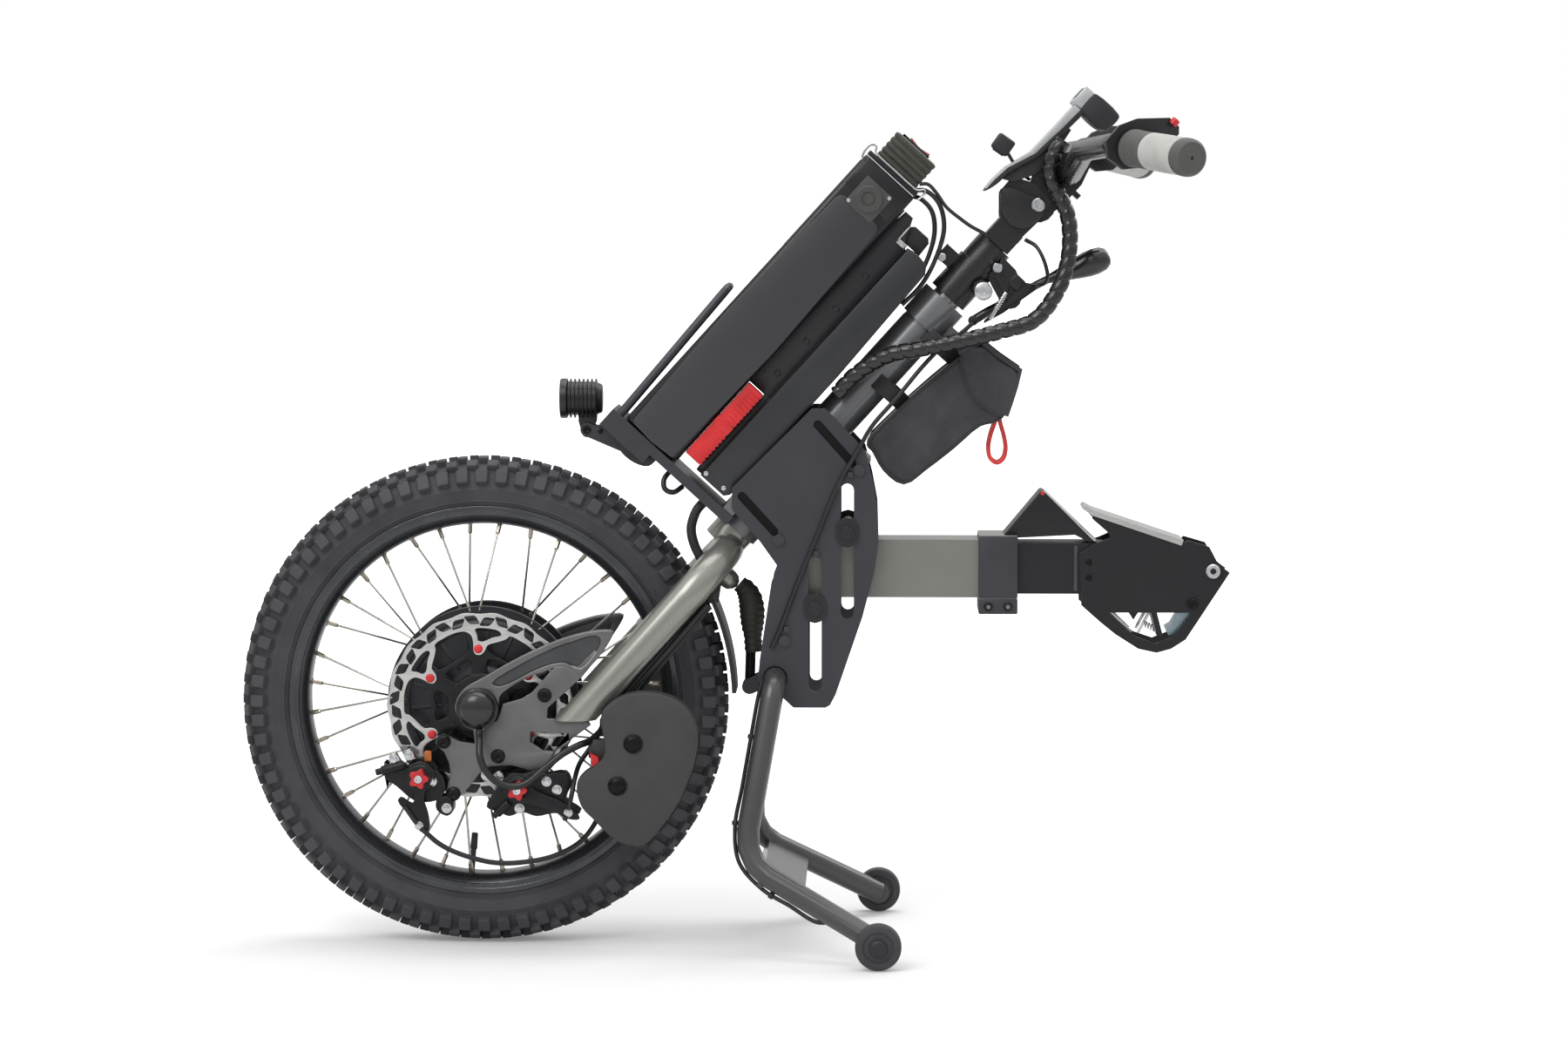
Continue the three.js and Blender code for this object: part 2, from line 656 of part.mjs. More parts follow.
function dropout() {
  const reach = dropoutReach;
  const slotEdge = forkOffset + dropoutSlotDepth;
  const upperShares = [[0.05, 0.22], [0.24, 0.324], [0.44, 0.413], [0.63, 0.478], [0.8, 0.525], [0.95, 0.545]];
  const scallopRadius = reach * 0.178;
  const [frontX, frontZ] = caliperPlace(0);
  const ear = reach * 0.06;
  const upperEar = [-0.244 * reach, -0.24 * reach];
  const lowerEar = [-0.178 * reach, -0.62 * reach];
  const shape = new THREE.Shape();
  const hubStart = Math.PI * 1.35;
  shape.absarc(0, 0, dropoutHubRadius, hubStart, Math.PI * 0.56, true);
  for (const [x, z] of scaled(upperShares, reach)) shape.lineTo(x, z);
  shape.lineTo(...columnToAxle(slotEdge, dropoutArmTop()));
  shape.lineTo(...columnToAxle(slotEdge, reach * 0.45));
  const tipShares = [[0.79, -0.1], [0.8, -0.135], [0.58, -0.33], [0.45, -0.465]];
  for (const [x, z] of scaled(tipShares, reach)) shape.lineTo(x, z);
  const archShares = [[0.35, -0.425], [0.22, -0.408], [0.1, -0.42], [0.0, -0.47], [-0.07, -0.56]];
  for (const [x, z] of scaled(archShares, reach)) shape.lineTo(x, z);
  shape.absarc(...lowerEar, ear, 0, -Math.PI, true);
  const first = Math.atan2(lowerEar[1] - frontZ, lowerEar[0] - ear - frontX);
  shape.absarc(frontX, frontZ, scallopRadius, first + 0.25, 0.45, false);
  shape.absarc(...upperEar, ear, -Math.PI * 0.75, -Math.PI * 1.6, true);
  shape.lineTo(-0.13 * reach, -0.235 * reach);
  const windowShares = [[0.36, -0.165], [0.66, -0.18], [0.63, -0.235], [0.5, -0.28], [0.375, -0.25]];
  const gapShares = [[0.2, 0.045], [0.31, 0.05], [0.42, 0.15], [0.52, 0.265], [0.39, 0.2], [0.2, 0.1]];
  shape.holes.push(outline(scaled(windowShares, reach)), outline(scaled(gapShares, reach)));
  const plate = slab(shape, dropoutThickness, -forkHalfSpan, 4);
  const pocketShares = [[0.2, 0.2], [0.44, 0.335], [0.72, 0.445], [0.82, 0.45], [0.7, 0.36], [0.5, 0.3], [0.36, 0.22]];
  const pocketDepth = dropoutThickness * 0.2;
  const outerFace = forkHalfSpan + dropoutThickness / 2;
  const pocket = slab(outline(scaled(pocketShares, reach)), pocketDepth * 2, -outerFace);
  const bore = crossRod(0, 0, outerFace + overrun, axleRadius + seat);
  const boltShares = [[-0.244, -0.24], [-0.178, -0.62], [0.14, -0.345], [0.475, 0.09]];
  const boltPlaces = scaled(boltShares, reach);
  const bolts = boltPlaces.map(([x, z]) =>
    rod([x, -outerFace + pocketDepth, z], [x, -outerFace - pocketDepth, z], ear * 0.62, 6));
  return join(cut(plate, pocket, bore), ...bolts);
}

function axle() {
  const face = forkHalfSpan + dropoutThickness / 2;
  const shaft = crossRod(0, 0, face + overrun, axleRadius);
  const nut = axleRadius * 2.6;
  const cap = (side) => {
    const start = side * (face + seat);
    const end = side * (face + nut * 0.75);
    const dome = side * (face + nut * 1.15);
    const rim = rod([0, start, 0], [0, end, 0], nut, 16);
    const top = rod([0, end, 0], [0, dome, 0], nut, 16, nut * 0.55);
    return [rim, top];
  };
  const shoulderInside = hubHalfWidth + seat;
  const shoulderOutside = forkHalfSpan - dropoutThickness / 2 - seat;
  const farCollar = rod([0, shoulderInside, 0], [0, shoulderOutside, 0], axleRadius * 1.6, 12);
  const carrierFace = rotorPlane - rotorThickness / 2;
  const nearCollar = rod([0, -carrierFace, 0], [0, -shoulderOutside, 0], axleRadius * 1.6, 12);
  return join(shaft, ...cap(-1), ...cap(1), farCollar, nearCollar);
}

// The two places where each caliper's bracket is bolted, as shares of the dropout's reach
const caliperEarShares = [[[-0.244, -0.24], [-0.178, -0.62]], [[0.14, -0.345], [0.46, -0.41]]];

function caliper(index) {
  const [x, z] = caliperPlace(index);
  const half = rotorBand * 0.87;
  const platePlane = forkHalfSpan - dropoutThickness / 2 - seat;
  const innerFace = rotorPlane - rotorBand * 0.5;
  const outerFace = forkHalfSpan + dropoutThickness;
  const drum = rod([x, -innerFace, z], [x, -outerFace, z], half, 12);
  const knobTop = outerFace + dropoutThickness * 1.25;
  const stem = half * 0.45;
  const knobRadius = half * 0.6;
  const knob = rod([x, -outerFace, z], [x, -knobTop + dropoutThickness * 0.45, z], stem, 8);
  const cap = rod([x, -knobTop + dropoutThickness * 0.45, z], [x, -knobTop, z], knobRadius, 8);
  const bracketThickness = dropoutThickness * 0.6;
  const bracketMiddle = -(platePlane - bracketThickness / 2);
  const [first, second] = scaled(caliperEarShares[index], dropoutReach);
  const bracket = [[first, [x, z]], [second, [x, z]], [first, second]].map(([from, to]) =>
    slab(slotShape(from, to, half * 0.9), bracketThickness, bracketMiddle, 2));
  const gapHalf = rotorThickness * 1.2;
  const slot = slab(ringOf(rotorRadius + rotorThickness, 32), gapHalf * 2, -rotorPlane);
  return cut(join(drum, ...bracket, knob, cap), slot);
}

function caliperArm(index) {
  const [x, z] = caliperPlace(index);
  const half = rotorBand * 0.87;
  const outerFace = forkHalfSpan + dropoutThickness + seat;
  const thickness = dropoutThickness * 0.5;
  const length = caliperArmLengths[index];
  const heading = THREE.MathUtils.degToRad(caliperArmHeadings[index]);
  const tip = [x + Math.cos(heading) * length, z + Math.sin(heading) * length];
  const middle = -(outerFace + thickness / 2);
  const arm = slab(slotShape([x, z], tip, half * 0.5), thickness, middle, 2);
  const ring = slab(ringOf(half * 0.8, 10), thickness, middle).translate(x, 0, z);
  const hole = rod([x, -outerFace + overrun, z], [x, -outerFace - thickness - overrun, z], half * 0.45 + seat * 3, 8);
  const clamp = rod([tip[0], middle - thickness, tip[1]], [tip[0], middle + thickness, tip[1]], half * 0.3, 6);
  return cut(join(arm, ring, clamp), hole);
}

function mudguard() {
  const inner = tyreRadius + tyreCrownGap * 0.3;
  const outer = inner + casingWall;
  const from = THREE.MathUtils.degToRad(2);
  const to = THREE.MathUtils.degToRad(27);
  const shape = new THREE.Shape();
  shape.absarc(0, 0, outer, from, to, false);
  shape.absarc(0, 0, inner, to, from, true);
  const strip = slab(shape, tyreHalfWidth * 2, 0, 6);
  const skinRadius = outer - casingWall * 0.25;
  const tabFoot = [0.8, 0.98].map((share) => {
    const angle = from + (to - from) * share;
    return [Math.cos(angle) * skinRadius, Math.sin(angle) * skinRadius];
  });
  const underBall = headBase - damperBallDrop - damperBallRadius - seat;
  const tabHalf = damperBallRadius * 0.4;
  const tabMiddle = damperBallSetback * 0.8;
  const tab = slab(outline([...tabFoot, columnToAxle(tabMiddle - tabHalf, underBall),
    columnToAxle(tabMiddle + tabHalf, underBall)]), tyreHalfWidth * 0.6);
  return join(strip, tab);
}

function ballast() {
  const width = 116;
  const height = 148;
  const left = 96;
  const bottom = -130.5;
  const kidneyShares = [[0.34, 0.965], [0.5, 1.0], [0.76, 0.985], [0.95, 0.88], [1.0, 0.69], [0.93, 0.5],
    [0.83, 0.28], [0.67, 0.1], [0.51, 0.0], [0.34, 0.027], [0.18, 0.12], [0.04, 0.25], [0.0, 0.41],
    [0.1, 0.5], [0.24, 0.58], [0.27, 0.7], [0.26, 0.85]];
  const inner = forkHalfSpan + dropoutThickness / 2 + seat;
  const thickness = 18;
  const slabbed = slab(smoothOutline(scaled(kidneyShares, width, height, left, bottom), 24), thickness,
    -(inner + thickness / 2));
  const [lowX, lowZ] = columnToAxle(forkOffset, 0);
  const [highX, highZ] = columnToAxle(forkOffset, crownHeight);
  const legRoom = rod([lowX, -forkHalfSpan, lowZ], [highX, -forkHalfSpan, highZ], forkTubeRadius + seat * 2, tubeSides);
  const kidney = cut(slabbed, legRoom);
  const boltShares = [[0.465, 0.67], [0.335, 0.4]];
  const face = inner + thickness;
  const bolts = scaled(boltShares, width, height, left, bottom).map(([x, z]) =>
    rod([x, -face + seat, z], [x, -face - thickness * 0.2, z], width * 0.06, 8));
  const legBack = forkOffset + forkTubeRadius + seat;
  const bracketHalf = dropoutThickness / 2;
  const plate = outline([
    columnToAxle(legBack, dropoutReach * 0.62), columnToAxle(legBack + thickness * 1.6, dropoutReach * 0.62),
    columnToAxle(legBack + thickness * 1.6, dropoutReach * 0.44), columnToAxle(legBack, dropoutReach * 0.56),
  ]);
  const bracket = slab(plate, dropoutThickness, -forkHalfSpan - bracketHalf * 0.6);
  return join(kidney, bracket, ...bolts);
}

// Column pieces, in a frame at the foot of the head tube

function headTube() {
  const bore = steererRadius + seat;
  const wall = headTubeRadius;
  const tube = rod([0, 0, headCupHeight], [0, 0, headTubeLength], wall, 18);
  const cup = rod([0, 0, seat], [0, 0, headCupHeight + seat], wall + headCupWall, 18);
  const reach = plateOffset - plateThickness / 2 - seat;
  const lowFront = -wall - headCupWall * 1.1;
  const lowBack = wall * 1.5;
  const highBack = wall * 2.5;
  const low = box(lowFront, lowBack, -reach, reach, blockLowRise - blockHeight / 2, blockLowRise + blockHeight / 2);
  const high = box(-wall * 0.4, highBack, -reach, reach, blockHighRise - blockHeight / 2,
    blockHighRise + blockHeight / 2);
  const footTop = blockLowRise - blockHeight / 2 + seat;
  const footInside = wall + headCupWall * 1.8;
  const feet = [-1, 1].map((side) => box(lowFront, lowFront + wall * 0.6,
    Math.min(side * footInside, side * reach), Math.max(side * footInside, side * reach),
    trayThickness + seat, footTop));
  const collarTop = headTubeLength + headCollarHeight;
  const collarRadius = wall + headCollarWall;
  const collar = rod([0, 0, headTubeLength - seat], [0, 0, collarTop], collarRadius, 18);
  const lug = box(collarRadius * 0.5, collarRadius * 1.3, -collarRadius * 0.45, collarRadius * 0.45,
    headTubeLength + headCollarHeight * 0.15, headTubeLength + headCollarHeight * 0.55);
  const lugBolt = crossRod(collarRadius * 1.12, headTubeLength + headCollarHeight * 0.35, collarRadius * 0.6,
    headCollarWall, 8);
  const hole = rod([0, 0, -overrun], [0, 0, collarTop + overrun], bore, 18);
  return cut(join(tube, cup, low, high, ...feet, collar, lug, lugBolt), hole);
}

function batteryTray() {
  const front = batteryFront - trayThickness * 1.5;
  const cupRoom = headTubeRadius + headCupWall * 1.5;
  const back = -headTubeRadius * 0.5;
  const step = batteryFront + batteryDepth * 0.65;
  const plate = box(front, back, -trayHalfWidth, trayHalfWidth, seat, trayThickness);
  const nose = box(front, step, -trayHalfWidth, trayHalfWidth, -trayThickness, trayThickness * 0.5);
  const room = rod([0, 0, -trayThickness * 2], [0, 0, trayThickness * 2], cupRoom, 20);
  const rodRadius = trayThickness * 0.4;
  const rodX = batteryFront - rodRadius * 2.6;
  const rodHalf = trayHalfWidth * 0.82;
  const rodTop = batteryHeight * 0.49;
  const guard = bentTube([
    [rodX + rodRadius, -rodHalf, trayThickness * 0.3], [rodX - rodRadius * 0.4, -rodHalf, rodTop],
    [rodX - rodRadius * 0.4, rodHalf, rodTop], [rodX + rodRadius, rodHalf, trayThickness * 0.3],
  ], rodRadius * 3, rodRadius, 8, 2);
  const { x, rise } = lampPivot();
  const earInside = lampFootHalf + seat;
  const earThickness = lampFootHalf * 0.8;
  const ears = [-1, 1].map((side) => slab(slotShape([x, rise], [step - trayThickness * 2, -trayThickness * 1.1],
    lampEarRadius * 1.6), earThickness, side * (earInside + earThickness / 2), 3));
  const bridge = box(step - trayThickness * 3.5, step - trayThickness, -earInside - earThickness / 2,
    earInside + earThickness / 2, -trayThickness * 1.7, -trayThickness * 0.5);
  const pinHole = crossRod(x, rise, earInside + earThickness * 2, lampPinRadius + seat, 8);
  return cut(join(cut(plate, room), nose, guard, ...ears, bridge), pinHole);
}

const lampRadius = 19.5;
const lampLength = 41;
const lampEarRadius = 8;
const lampFootHalf = 5;
const lampPinRadius = 3;
const lampAxisHeight = 30;

function lampPivot() {
  return { x: batteryFront - lampEarRadius * 2.6, rise: -trayThickness * 2.55 };
}

// The headlamp, in its own frame at its pivot, pointing forward
function lamp() {
  const half = lampLength / 2;
  const fin = lampRadius * 0.12;
  const profile = [[0, -half * 0.9], [lampRadius * 0.7, -half]];
  const fins = 3;
  const finPitch = (half * 1.3) / fins;
  for (let i = 0; i < fins; i += 1) {
    const y = -half + i * finPitch;
    profile.push([lampRadius, y], [lampRadius, y + finPitch * 0.55]);
    profile.push([lampRadius - fin, y + finPitch * 0.6], [lampRadius - fin, y + finPitch * 0.95]);
  }
  profile.push([lampRadius, half * 0.35], [lampRadius, half], [lampRadius * 0.86, half]);
  profile.push([lampRadius * 0.84, half * 0.8], [0, half * 0.8]);
  const barrel = lathe(profile, 14).rotateZ(Math.PI / 2).translate(-lampEarRadius * 0.7, 0, lampAxisHeight);
  const footTop = lampAxisHeight - lampRadius * 0.7;
  const foot = box(-lampEarRadius * 0.7, lampEarRadius * 0.7, -lampFootHalf, lampFootHalf, 0, footTop);
  const eye = crossRod(0, 0, lampFootHalf, lampEarRadius * 0.9, 10);
  const pin = crossRod(0, 0, lampFootHalf * 2.2, lampPinRadius, 8);
  return join(barrel, foot, eye, pin);
}

function batteryCase() {
  const corner = batteryDepth * 0.1;
  const half = batteryWidth / 2;
  const bottom = trayThickness + seat;
  const top = bottom + batteryHeight;
  const back = batteryFront + batteryDepth;
  const body = block(roundedRectangle(batteryFront, back, -half, half, corner), bottom, top);
  const panelLow = bottom + batteryHeight * 0.012;
  const panelHigh = bottom + batteryHeight * 0.85;
  const panelOut = half + batteryDepth * 0.045;
  const panelFront = batteryFront + batteryDepth * 0.14;
  const panelBack = back - batteryDepth * 0.06;
  const panels = box(panelFront, panelBack, -panelOut, panelOut, panelLow, panelHigh);
  const socketX = batteryFront + batteryDepth * 0.51;
  const socketRise = bottom + batteryHeight * 0.905;
  const socketRadius = batteryDepth * 0.2;
  const socket = rod([socketX, -half + corner, socketRise], [socketX, -panelOut - corner * 0.4, socketRise],
    socketRadius, 14);
  const well = rod([socketX, -panelOut, socketRise], [socketX, -panelOut - corner, socketRise],
    socketRadius * 0.75, 12);
  const neckShrink = batteryDepth * 0.12;
  const neck = box(batteryFront + neckShrink, back - neckShrink, -half * 0.55, half * 0.55, top - corner,
    top + batteryHeight * 0.018);
  return cut(join(body, panels, socket, neck), well);
}

function switchBoxBottom() {
  return trayThickness + seat + batteryHeight * 1.018 + seat;
}

const switchBoxHeight = 28;

function switchBox() {
  const bottom = switchBoxBottom();
  const top = bottom + switchBoxHeight;
  const front = batteryFront + batteryDepth * 0.14;
  const back = batteryFront + batteryDepth * 0.93;
  const half = batteryWidth * 0.33;
  const body = block(roundedRectangle(front, back, -half, half, batteryDepth * 0.08), bottom, top);
  const { x, halfLength, halfWidth } = rockerPlace();
  const recess = box(x - halfLength - seat * 2, x + halfLength + seat * 2, -halfWidth - seat, halfWidth + seat,
    top - switchBoxHeight * 0.35, top + overrun);
  return cut(body, recess);
}

function rockerPlace() {
  const x = batteryFront + batteryDepth * 0.54;
  return { x, halfLength: batteryDepth * 0.2, halfWidth: batteryDepth * 0.13 };
}

// The rocker, in its own frame at its pivot
function rockerSwitch() {
  const { halfLength, halfWidth } = rockerPlace();
  const rise = switchBoxHeight * 0.14;
  const dip = switchBoxHeight * 0.12;
  const shape = outline([
    [-halfLength * 0.9, -dip], [halfLength * 0.9, -dip], [halfLength * 0.95, rise], [0, rise * 0.45],
    [-halfLength * 0.95, rise],
  ]);
  return slab(shape, halfWidth * 2);
}

function controller() {
  const half = controllerWidth / 2;
  const front = controllerBack - controllerDepth;
  const top = controllerRise + controllerHeight;
  const body = block(roundedRectangle(front, controllerBack, -half, half, controllerDepth * 0.12), controllerRise, top);
  const railFront = batteryFront + batteryDepth + seat;
  const rail = box(railFront, front + controllerDepth * 0.1, -half * 0.6, half * 0.6,
    controllerRise + controllerHeight * 0.09, top - controllerHeight * 0.01);
  const stepFront = front - controllerDepth * 0.34;
  const stepBack = front + controllerDepth * 0.57;
  const step = box(stepFront, stepBack, -half * 0.75, half * 0.75, top - controllerHeight * 0.01,
    top + controllerHeight * 0.11);
  return join(body, rail, step);
}

function powerConnector() {
  const railFront = batteryFront + batteryDepth + seat;
  const front = controllerBack - controllerDepth;
  const inner = controllerWidth * 0.3 + seat;
  const outer = controllerWidth * 0.55;
  const low = controllerRise + controllerHeight * 0.055;
  const length = controllerHeight * 0.285;
  const back = front - seat;
  const ribs = 8;
  const body = box(railFront, back, -outer, -inner, low, low + length);
  const cuts = [];
  for (let i = 0; i < ribs; i += 1) {
    if (i === 3 || i === 4) continue;
    const at = low + (length * (i + 0.6)) / ribs;
    cuts.push(box(railFront - overrun, back + overrun, -outer - overrun, -outer + controllerWidth * 0.025,
      at, at + length * 0.05));
  }
  return cut(body, ...cuts);
}

function toolBag() {
  const left = 35.5;
  const width = 81;
  const bottom = 144;
  const height = 151;
  const half = 37;
  const bagShares = [[0.14, 0.0], [0.35, 0.0], [0.62, 0.0], [0.7, 0.08], [0.85, 0.6], [1.0, 0.74], [0.91, 0.87],
    [0.78, 1.0], [0.22, 0.98], [0.13, 0.81], [0.0, 0.06]];
  const points = scaled(bagShares, width, height, left, bottom).map(([x, z]) => new THREE.Vector2(x, z));
  const corner = half * 0.2;
  const inset = corner * 0.6;
  const body = new THREE.ExtrudeGeometry(new THREE.Shape(points), {
    depth: (half - corner) * 2, bevelEnabled: true, bevelThickness: corner, bevelSize: inset, bevelOffset: -inset,
    bevelSegments: 1,
  }).rotateX(Math.PI / 2).translate(0, half - corner, 0);
  const strapHalf = half * 0.3;
  const straps = [0.28, 0.72].map((share) => box(headTubeRadius + seat, left + width * 0.3, -strapHalf, strapHalf,
    bottom + height * share, bottom + height * (share + 0.1)));
  return join(body, ...straps);
}

// Stem clamps, brake lever, mast and head

function clampTop() {
  return clampLowRise + clampLowHeight + clampHighHeight;
}

const leverPivotX = 46;
const leverPivotRise = 345;
const leverPinRadius = 3.5;
const leverHalf = 6;

function stemClamp() {
  const split = clampLowRise + clampLowHeight;
  const lowRadius = headTubeRadius;
  const highRadius = headTubeRadius * 0.92;
  const low = rod([0, 0, clampLowRise], [0, 0, split], lowRadius, 18);
  const high = rod([0, 0, split - seat], [0, 0, clampTop()], highRadius, 18);
  const ear = box(-lowRadius * 1.7, -lowRadius * 0.5, -lowRadius * 0.4, lowRadius * 0.4, split - clampLowHeight * 0.5,
    split - clampLowHeight * 0.1);
  const knobX = lowRadius * 0.9;
  const knobRise = clampLowRise + clampLowHeight * 0.67;
  const knobReach = lowRadius * 1.15;
  const boltBoss = crossRod(knobX, knobRise, knobReach, lowRadius * 0.42, 8);
  const cheekInside = leverHalf + seat;
  const cheekThickness = leverHalf * 0.8;
  const cheeks = [-1, 1].map((side) => slab(slotShape([highRadius * 0.6, split + clampHighHeight * 0.4],
    [leverPivotX, leverPivotRise], highRadius * 1.1), cheekThickness, side * (cheekInside + cheekThickness / 2), 3));
  const pinHole = crossRod(leverPivotX, leverPivotRise, leverHalf * 3, leverPinRadius + seat, 8);
  const bore = rod([0, 0, clampLowRise - overrun], [0, 0, clampTop() + overrun], steererRadius + seat, 18);
  return cut(join(low, high, ear, boltBoss, ...cheeks), pinHole, bore);
}

// The brake lever, in its own frame at its pin, its ball end up and rearward
function brakeLever() {
  const reach = 90;
  const thick = leverHalf * 0.75;
  const bladeShares = [[0, 0], [0.1, 0.3], [0.24, 0.62], [0.36, 0.88], [0.4, 0.98]];
  const blade = swellingTube(scaled(bladeShares, reach).map(([x, z]) => [x, 0, z]), [
    [0, leverHalf * 0.9], [0.3, thick], [0.66, thick * 0.85], [0.74, thick], [0.82, thick * 2],
    [0.9, thick * 2.4], [0.97, thick * 1.9], [1, thick]], 8);
  const eye = crossRod(0, 0, leverHalf, leverHalf * 1.4, 10);
  const tail = rod([0, 0, 0], [-reach * 0.13, 0, -reach * 0.49], leverHalf * 0.6, 6, leverHalf * 0.4);
  const pin = crossRod(0, 0, leverHalf * 2.2, leverPinRadius, 8);
  return join(blade, eye, tail, pin);
}

const yokeInside = 20;
const yokeWall = 5;

function mast() {
  const yokeLow = clampTop() + seat * 2;
  const yokeHeight = 22;
  const shaft = rod([0, 0, clampLowRise - mastDip], [0, 0, yokeLow + yokeHeight * 0.5], mastRadius, 14);
  const outside = yokeInside + yokeWall;
  const base = box(-mastRadius * 1.3, mastRadius * 1.3, -outside, outside, yokeLow, yokeLow + yokeHeight);
  const cheekShares = [[-0.16, -1.0], [0.24, -1.0], [0.3, -0.25], [0.22, 0.25], [-0.45, 0.3], [-1.0, 0.1], [-0.98, -0.35],
    [-0.6, -0.7]];
  const reach = 36;
  const cheekHeight = 44;
  const cheeks = [-1, 1].map((side) => slab(outline(scaled(cheekShares, reach, cheekHeight, tiltX, tiltRise)), yokeWall,
    side * (yokeInside + yokeWall / 2)));
  const hole = crossRod(tiltX, tiltRise, outside + overrun, tiltPinRadius + seat, 12);
  return cut(join(shaft, base, ...cheeks), hole);
}

const tiltPinRadius = 6;
const neckTopShare = 1.42;

function tiltHead() {
  const half = yokeInside - seat;
  const hub = crossRod(tiltX, tiltRise, half, headTubeRadius * 0.83, 14);
  const pin = crossRod(tiltX, tiltRise, yokeInside + yokeWall * 2, tiltPinRadius, 12);
  const width = 34;
  const height = barRise - tiltRise;
  const neckShares = [[-0.45, 0.0], [0.42, 0.0], [0.52, 0.35], [0.52, 1.0], [0.36, neckTopShare],
    [-0.3, neckTopShare], [-0.62, 1.1], [-0.7, 0.5]];
  const neck = slab(outline(scaled(neckShares, width, height, tiltX, tiltRise)), half * 2);
  const bore = crossRod(barX, barRise, yokeInside * 2, barRadius + seat, tubeSides);
  const fins = [0.35, 0.7].map((share) => box(tiltX + width * 0.5, tiltX + width * 0.72, -half * 0.7, half * 0.7,
    tiltRise + height * share, tiltRise + height * (share + 0.12)));
  return cut(join(hub, neck, pin, ...fins), bore);
}

// Dash pieces

const dashDepth = 22;
const dashHalf = 36;
const displayHeight = 18;
const keySize = 15;

function dashFront() {
  return -headTubeRadius * 2.15;
}

function dashLow() {
  return clampTop() + mastRadius * 2.6;
}

function dashTop() {
  return barRise + mastRadius * 4.9;
}

// The cover, with the shelf and the foot that carry it on the tilting head
function dash() {
  const front = dashFront();
  const top = dashTop();
  const coverShares = [[0.0, 0.0], [0.25, 0.0], [0.42, 0.3], [0.72, 0.62], [1.0, 1.0], [0.78, 1.0], [0.46, 0.62],
    [0.1, 0.28]];
  const cover = slab(outline(scaled(coverShares, dashDepth, top - dashLow(), front, dashLow())), dashHalf * 2);
  const shelf = box(front + dashDepth * 0.8, dashDepth * 0.05, -dashHalf, dashHalf, top - dashDepth * 0.15, top);
  const neckTop = tiltRise + (barRise - tiltRise) * neckTopShare;
  const footX = front + dashDepth * 1.3;
  const foot = box(footX - dashDepth * 0.3, footX + dashDepth * 0.5, -dashHalf * 0.4, dashHalf * 0.4,
    neckTop + seat, top - dashDepth * 0.05);
  return join(cover, shelf, foot);
}

function display() {
  const front = dashFront() + dashDepth * 0.25;
  const back = dashFront() + dashDepth * 2.1;
  const low = dashTop() + seat;
  return block(roundedRectangle(front, back, -dashHalf, dashHalf, dashDepth * 0.2), low, low + displayHeight);
}

// A key switch on a stalk in front of the cover
function keySwitch() {
  const x = dashFront() - keySize * 1.15;
  const height = dashTop() - dashLow();
  const low = dashLow() + height * 0.36;
  const body = box(x - keySize / 2, x + keySize / 2, -keySize / 2, keySize / 2, low, low + keySize);
  const foot = [dashFront() + dashDepth * 0.06, 0, dashLow() + height * 0.29];
  const stalk = rod([x, 0, low + keySize * 0.4], foot, keySize * 0.12, 6);
  const barrel = rod([x - keySize * 0.6, 0, low + keySize * 0.6], [x, 0, low + keySize * 0.6], keySize * 0.3, 12);
  return join(body, stalk, barrel);
}

// The handlebar's corners on one side: setback, rise and distance from the middle, as shares of its half width
const barRouteShares = [[0, 0, 0.14], [-0.024, 0.065, 0.372], [0.018, 0.119, 0.66], [0.17, 0.208, 1]];

function barCorner(index, side) {
  const [back, rise, across] = barRouteShares[index];
  return [barX + back * barHalfWidth, side * across * barHalfWidth, barRise + rise * barHalfWidth];
}

function handlebar() {
  const left = barRouteShares.map((_, index) => barCorner(index, -1)).reverse();
  const right = barRouteShares.map((_, index) => barCorner(index, 1));
  return bentTube([...left, ...right], barRadius * 3.4, barRadius, tubeSides, 2);
}

// A point on the straight end of the bar, as a share of the way from its last bend to its tip
function gripPoint(share, side) {
  const start = new THREE.Vector3(...barCorner(2, side));
  const end = new THREE.Vector3(...barCorner(3, side));
  return start.lerp(end, share);
}

function sleeve(side, fromShare, toShare, radius, sides = 14) {
  const start = gripPoint(fromShare, side);
  const end = gripPoint(toShare, side);
  const way = end.clone().sub(start).normalize();
  const past = end.clone().addScaledVector(way, overrun);
  const before = start.clone().addScaledVector(way, -overrun);
  const outer = rod(start.toArray(), end.toArray(), radius, sides);
  return cut(outer, rod(before.toArray(), past.toArray(), barRadius + seat * 2, tubeSides));
}

// A rubber grip with rings and an end cap over the tip of the bar
function grip(side, fromShare) {
  const tip = gripPoint(1, side);
  const start = gripPoint(fromShare, side);
  const way = tip.clone().sub(start).normalize();
  const length = tip.distanceTo(start) + seat * 2;
  const rings = 3;
  const groove = gripRadius * 0.08;
  const inner = barRadius + seat;
  const profile = [[inner, 0], [gripRadius * 1.12, 0], [gripRadius * 1.12, groove * 2], [gripRadius, groove * 3]];
  const pitch = (length - groove * 6) / rings;
  for (let i = 1; i < rings; i += 1) {
    const y = groove * 3 + i * pitch;
    profile.push([gripRadius, y - groove], [gripRadius - groove, y], [gripRadius, y + groove]);
  }
  profile.push([gripRadius, length - groove], [gripRadius * 1.04, length], [gripRadius * 0.9, length + groove * 2]);
  profile.push([0, length + groove * 2], [0, length], [inner, length]);
  const turn = new THREE.Quaternion().setFromUnitVectors(new THREE.Vector3(0, 1, 0), way);
  return lathe([...profile, profile[0]], 14).applyQuaternion(turn).translate(...start.toArray());
}

const housingShares = [0.02, 0.27];
const housingRadius = gripRadius * 1.28;

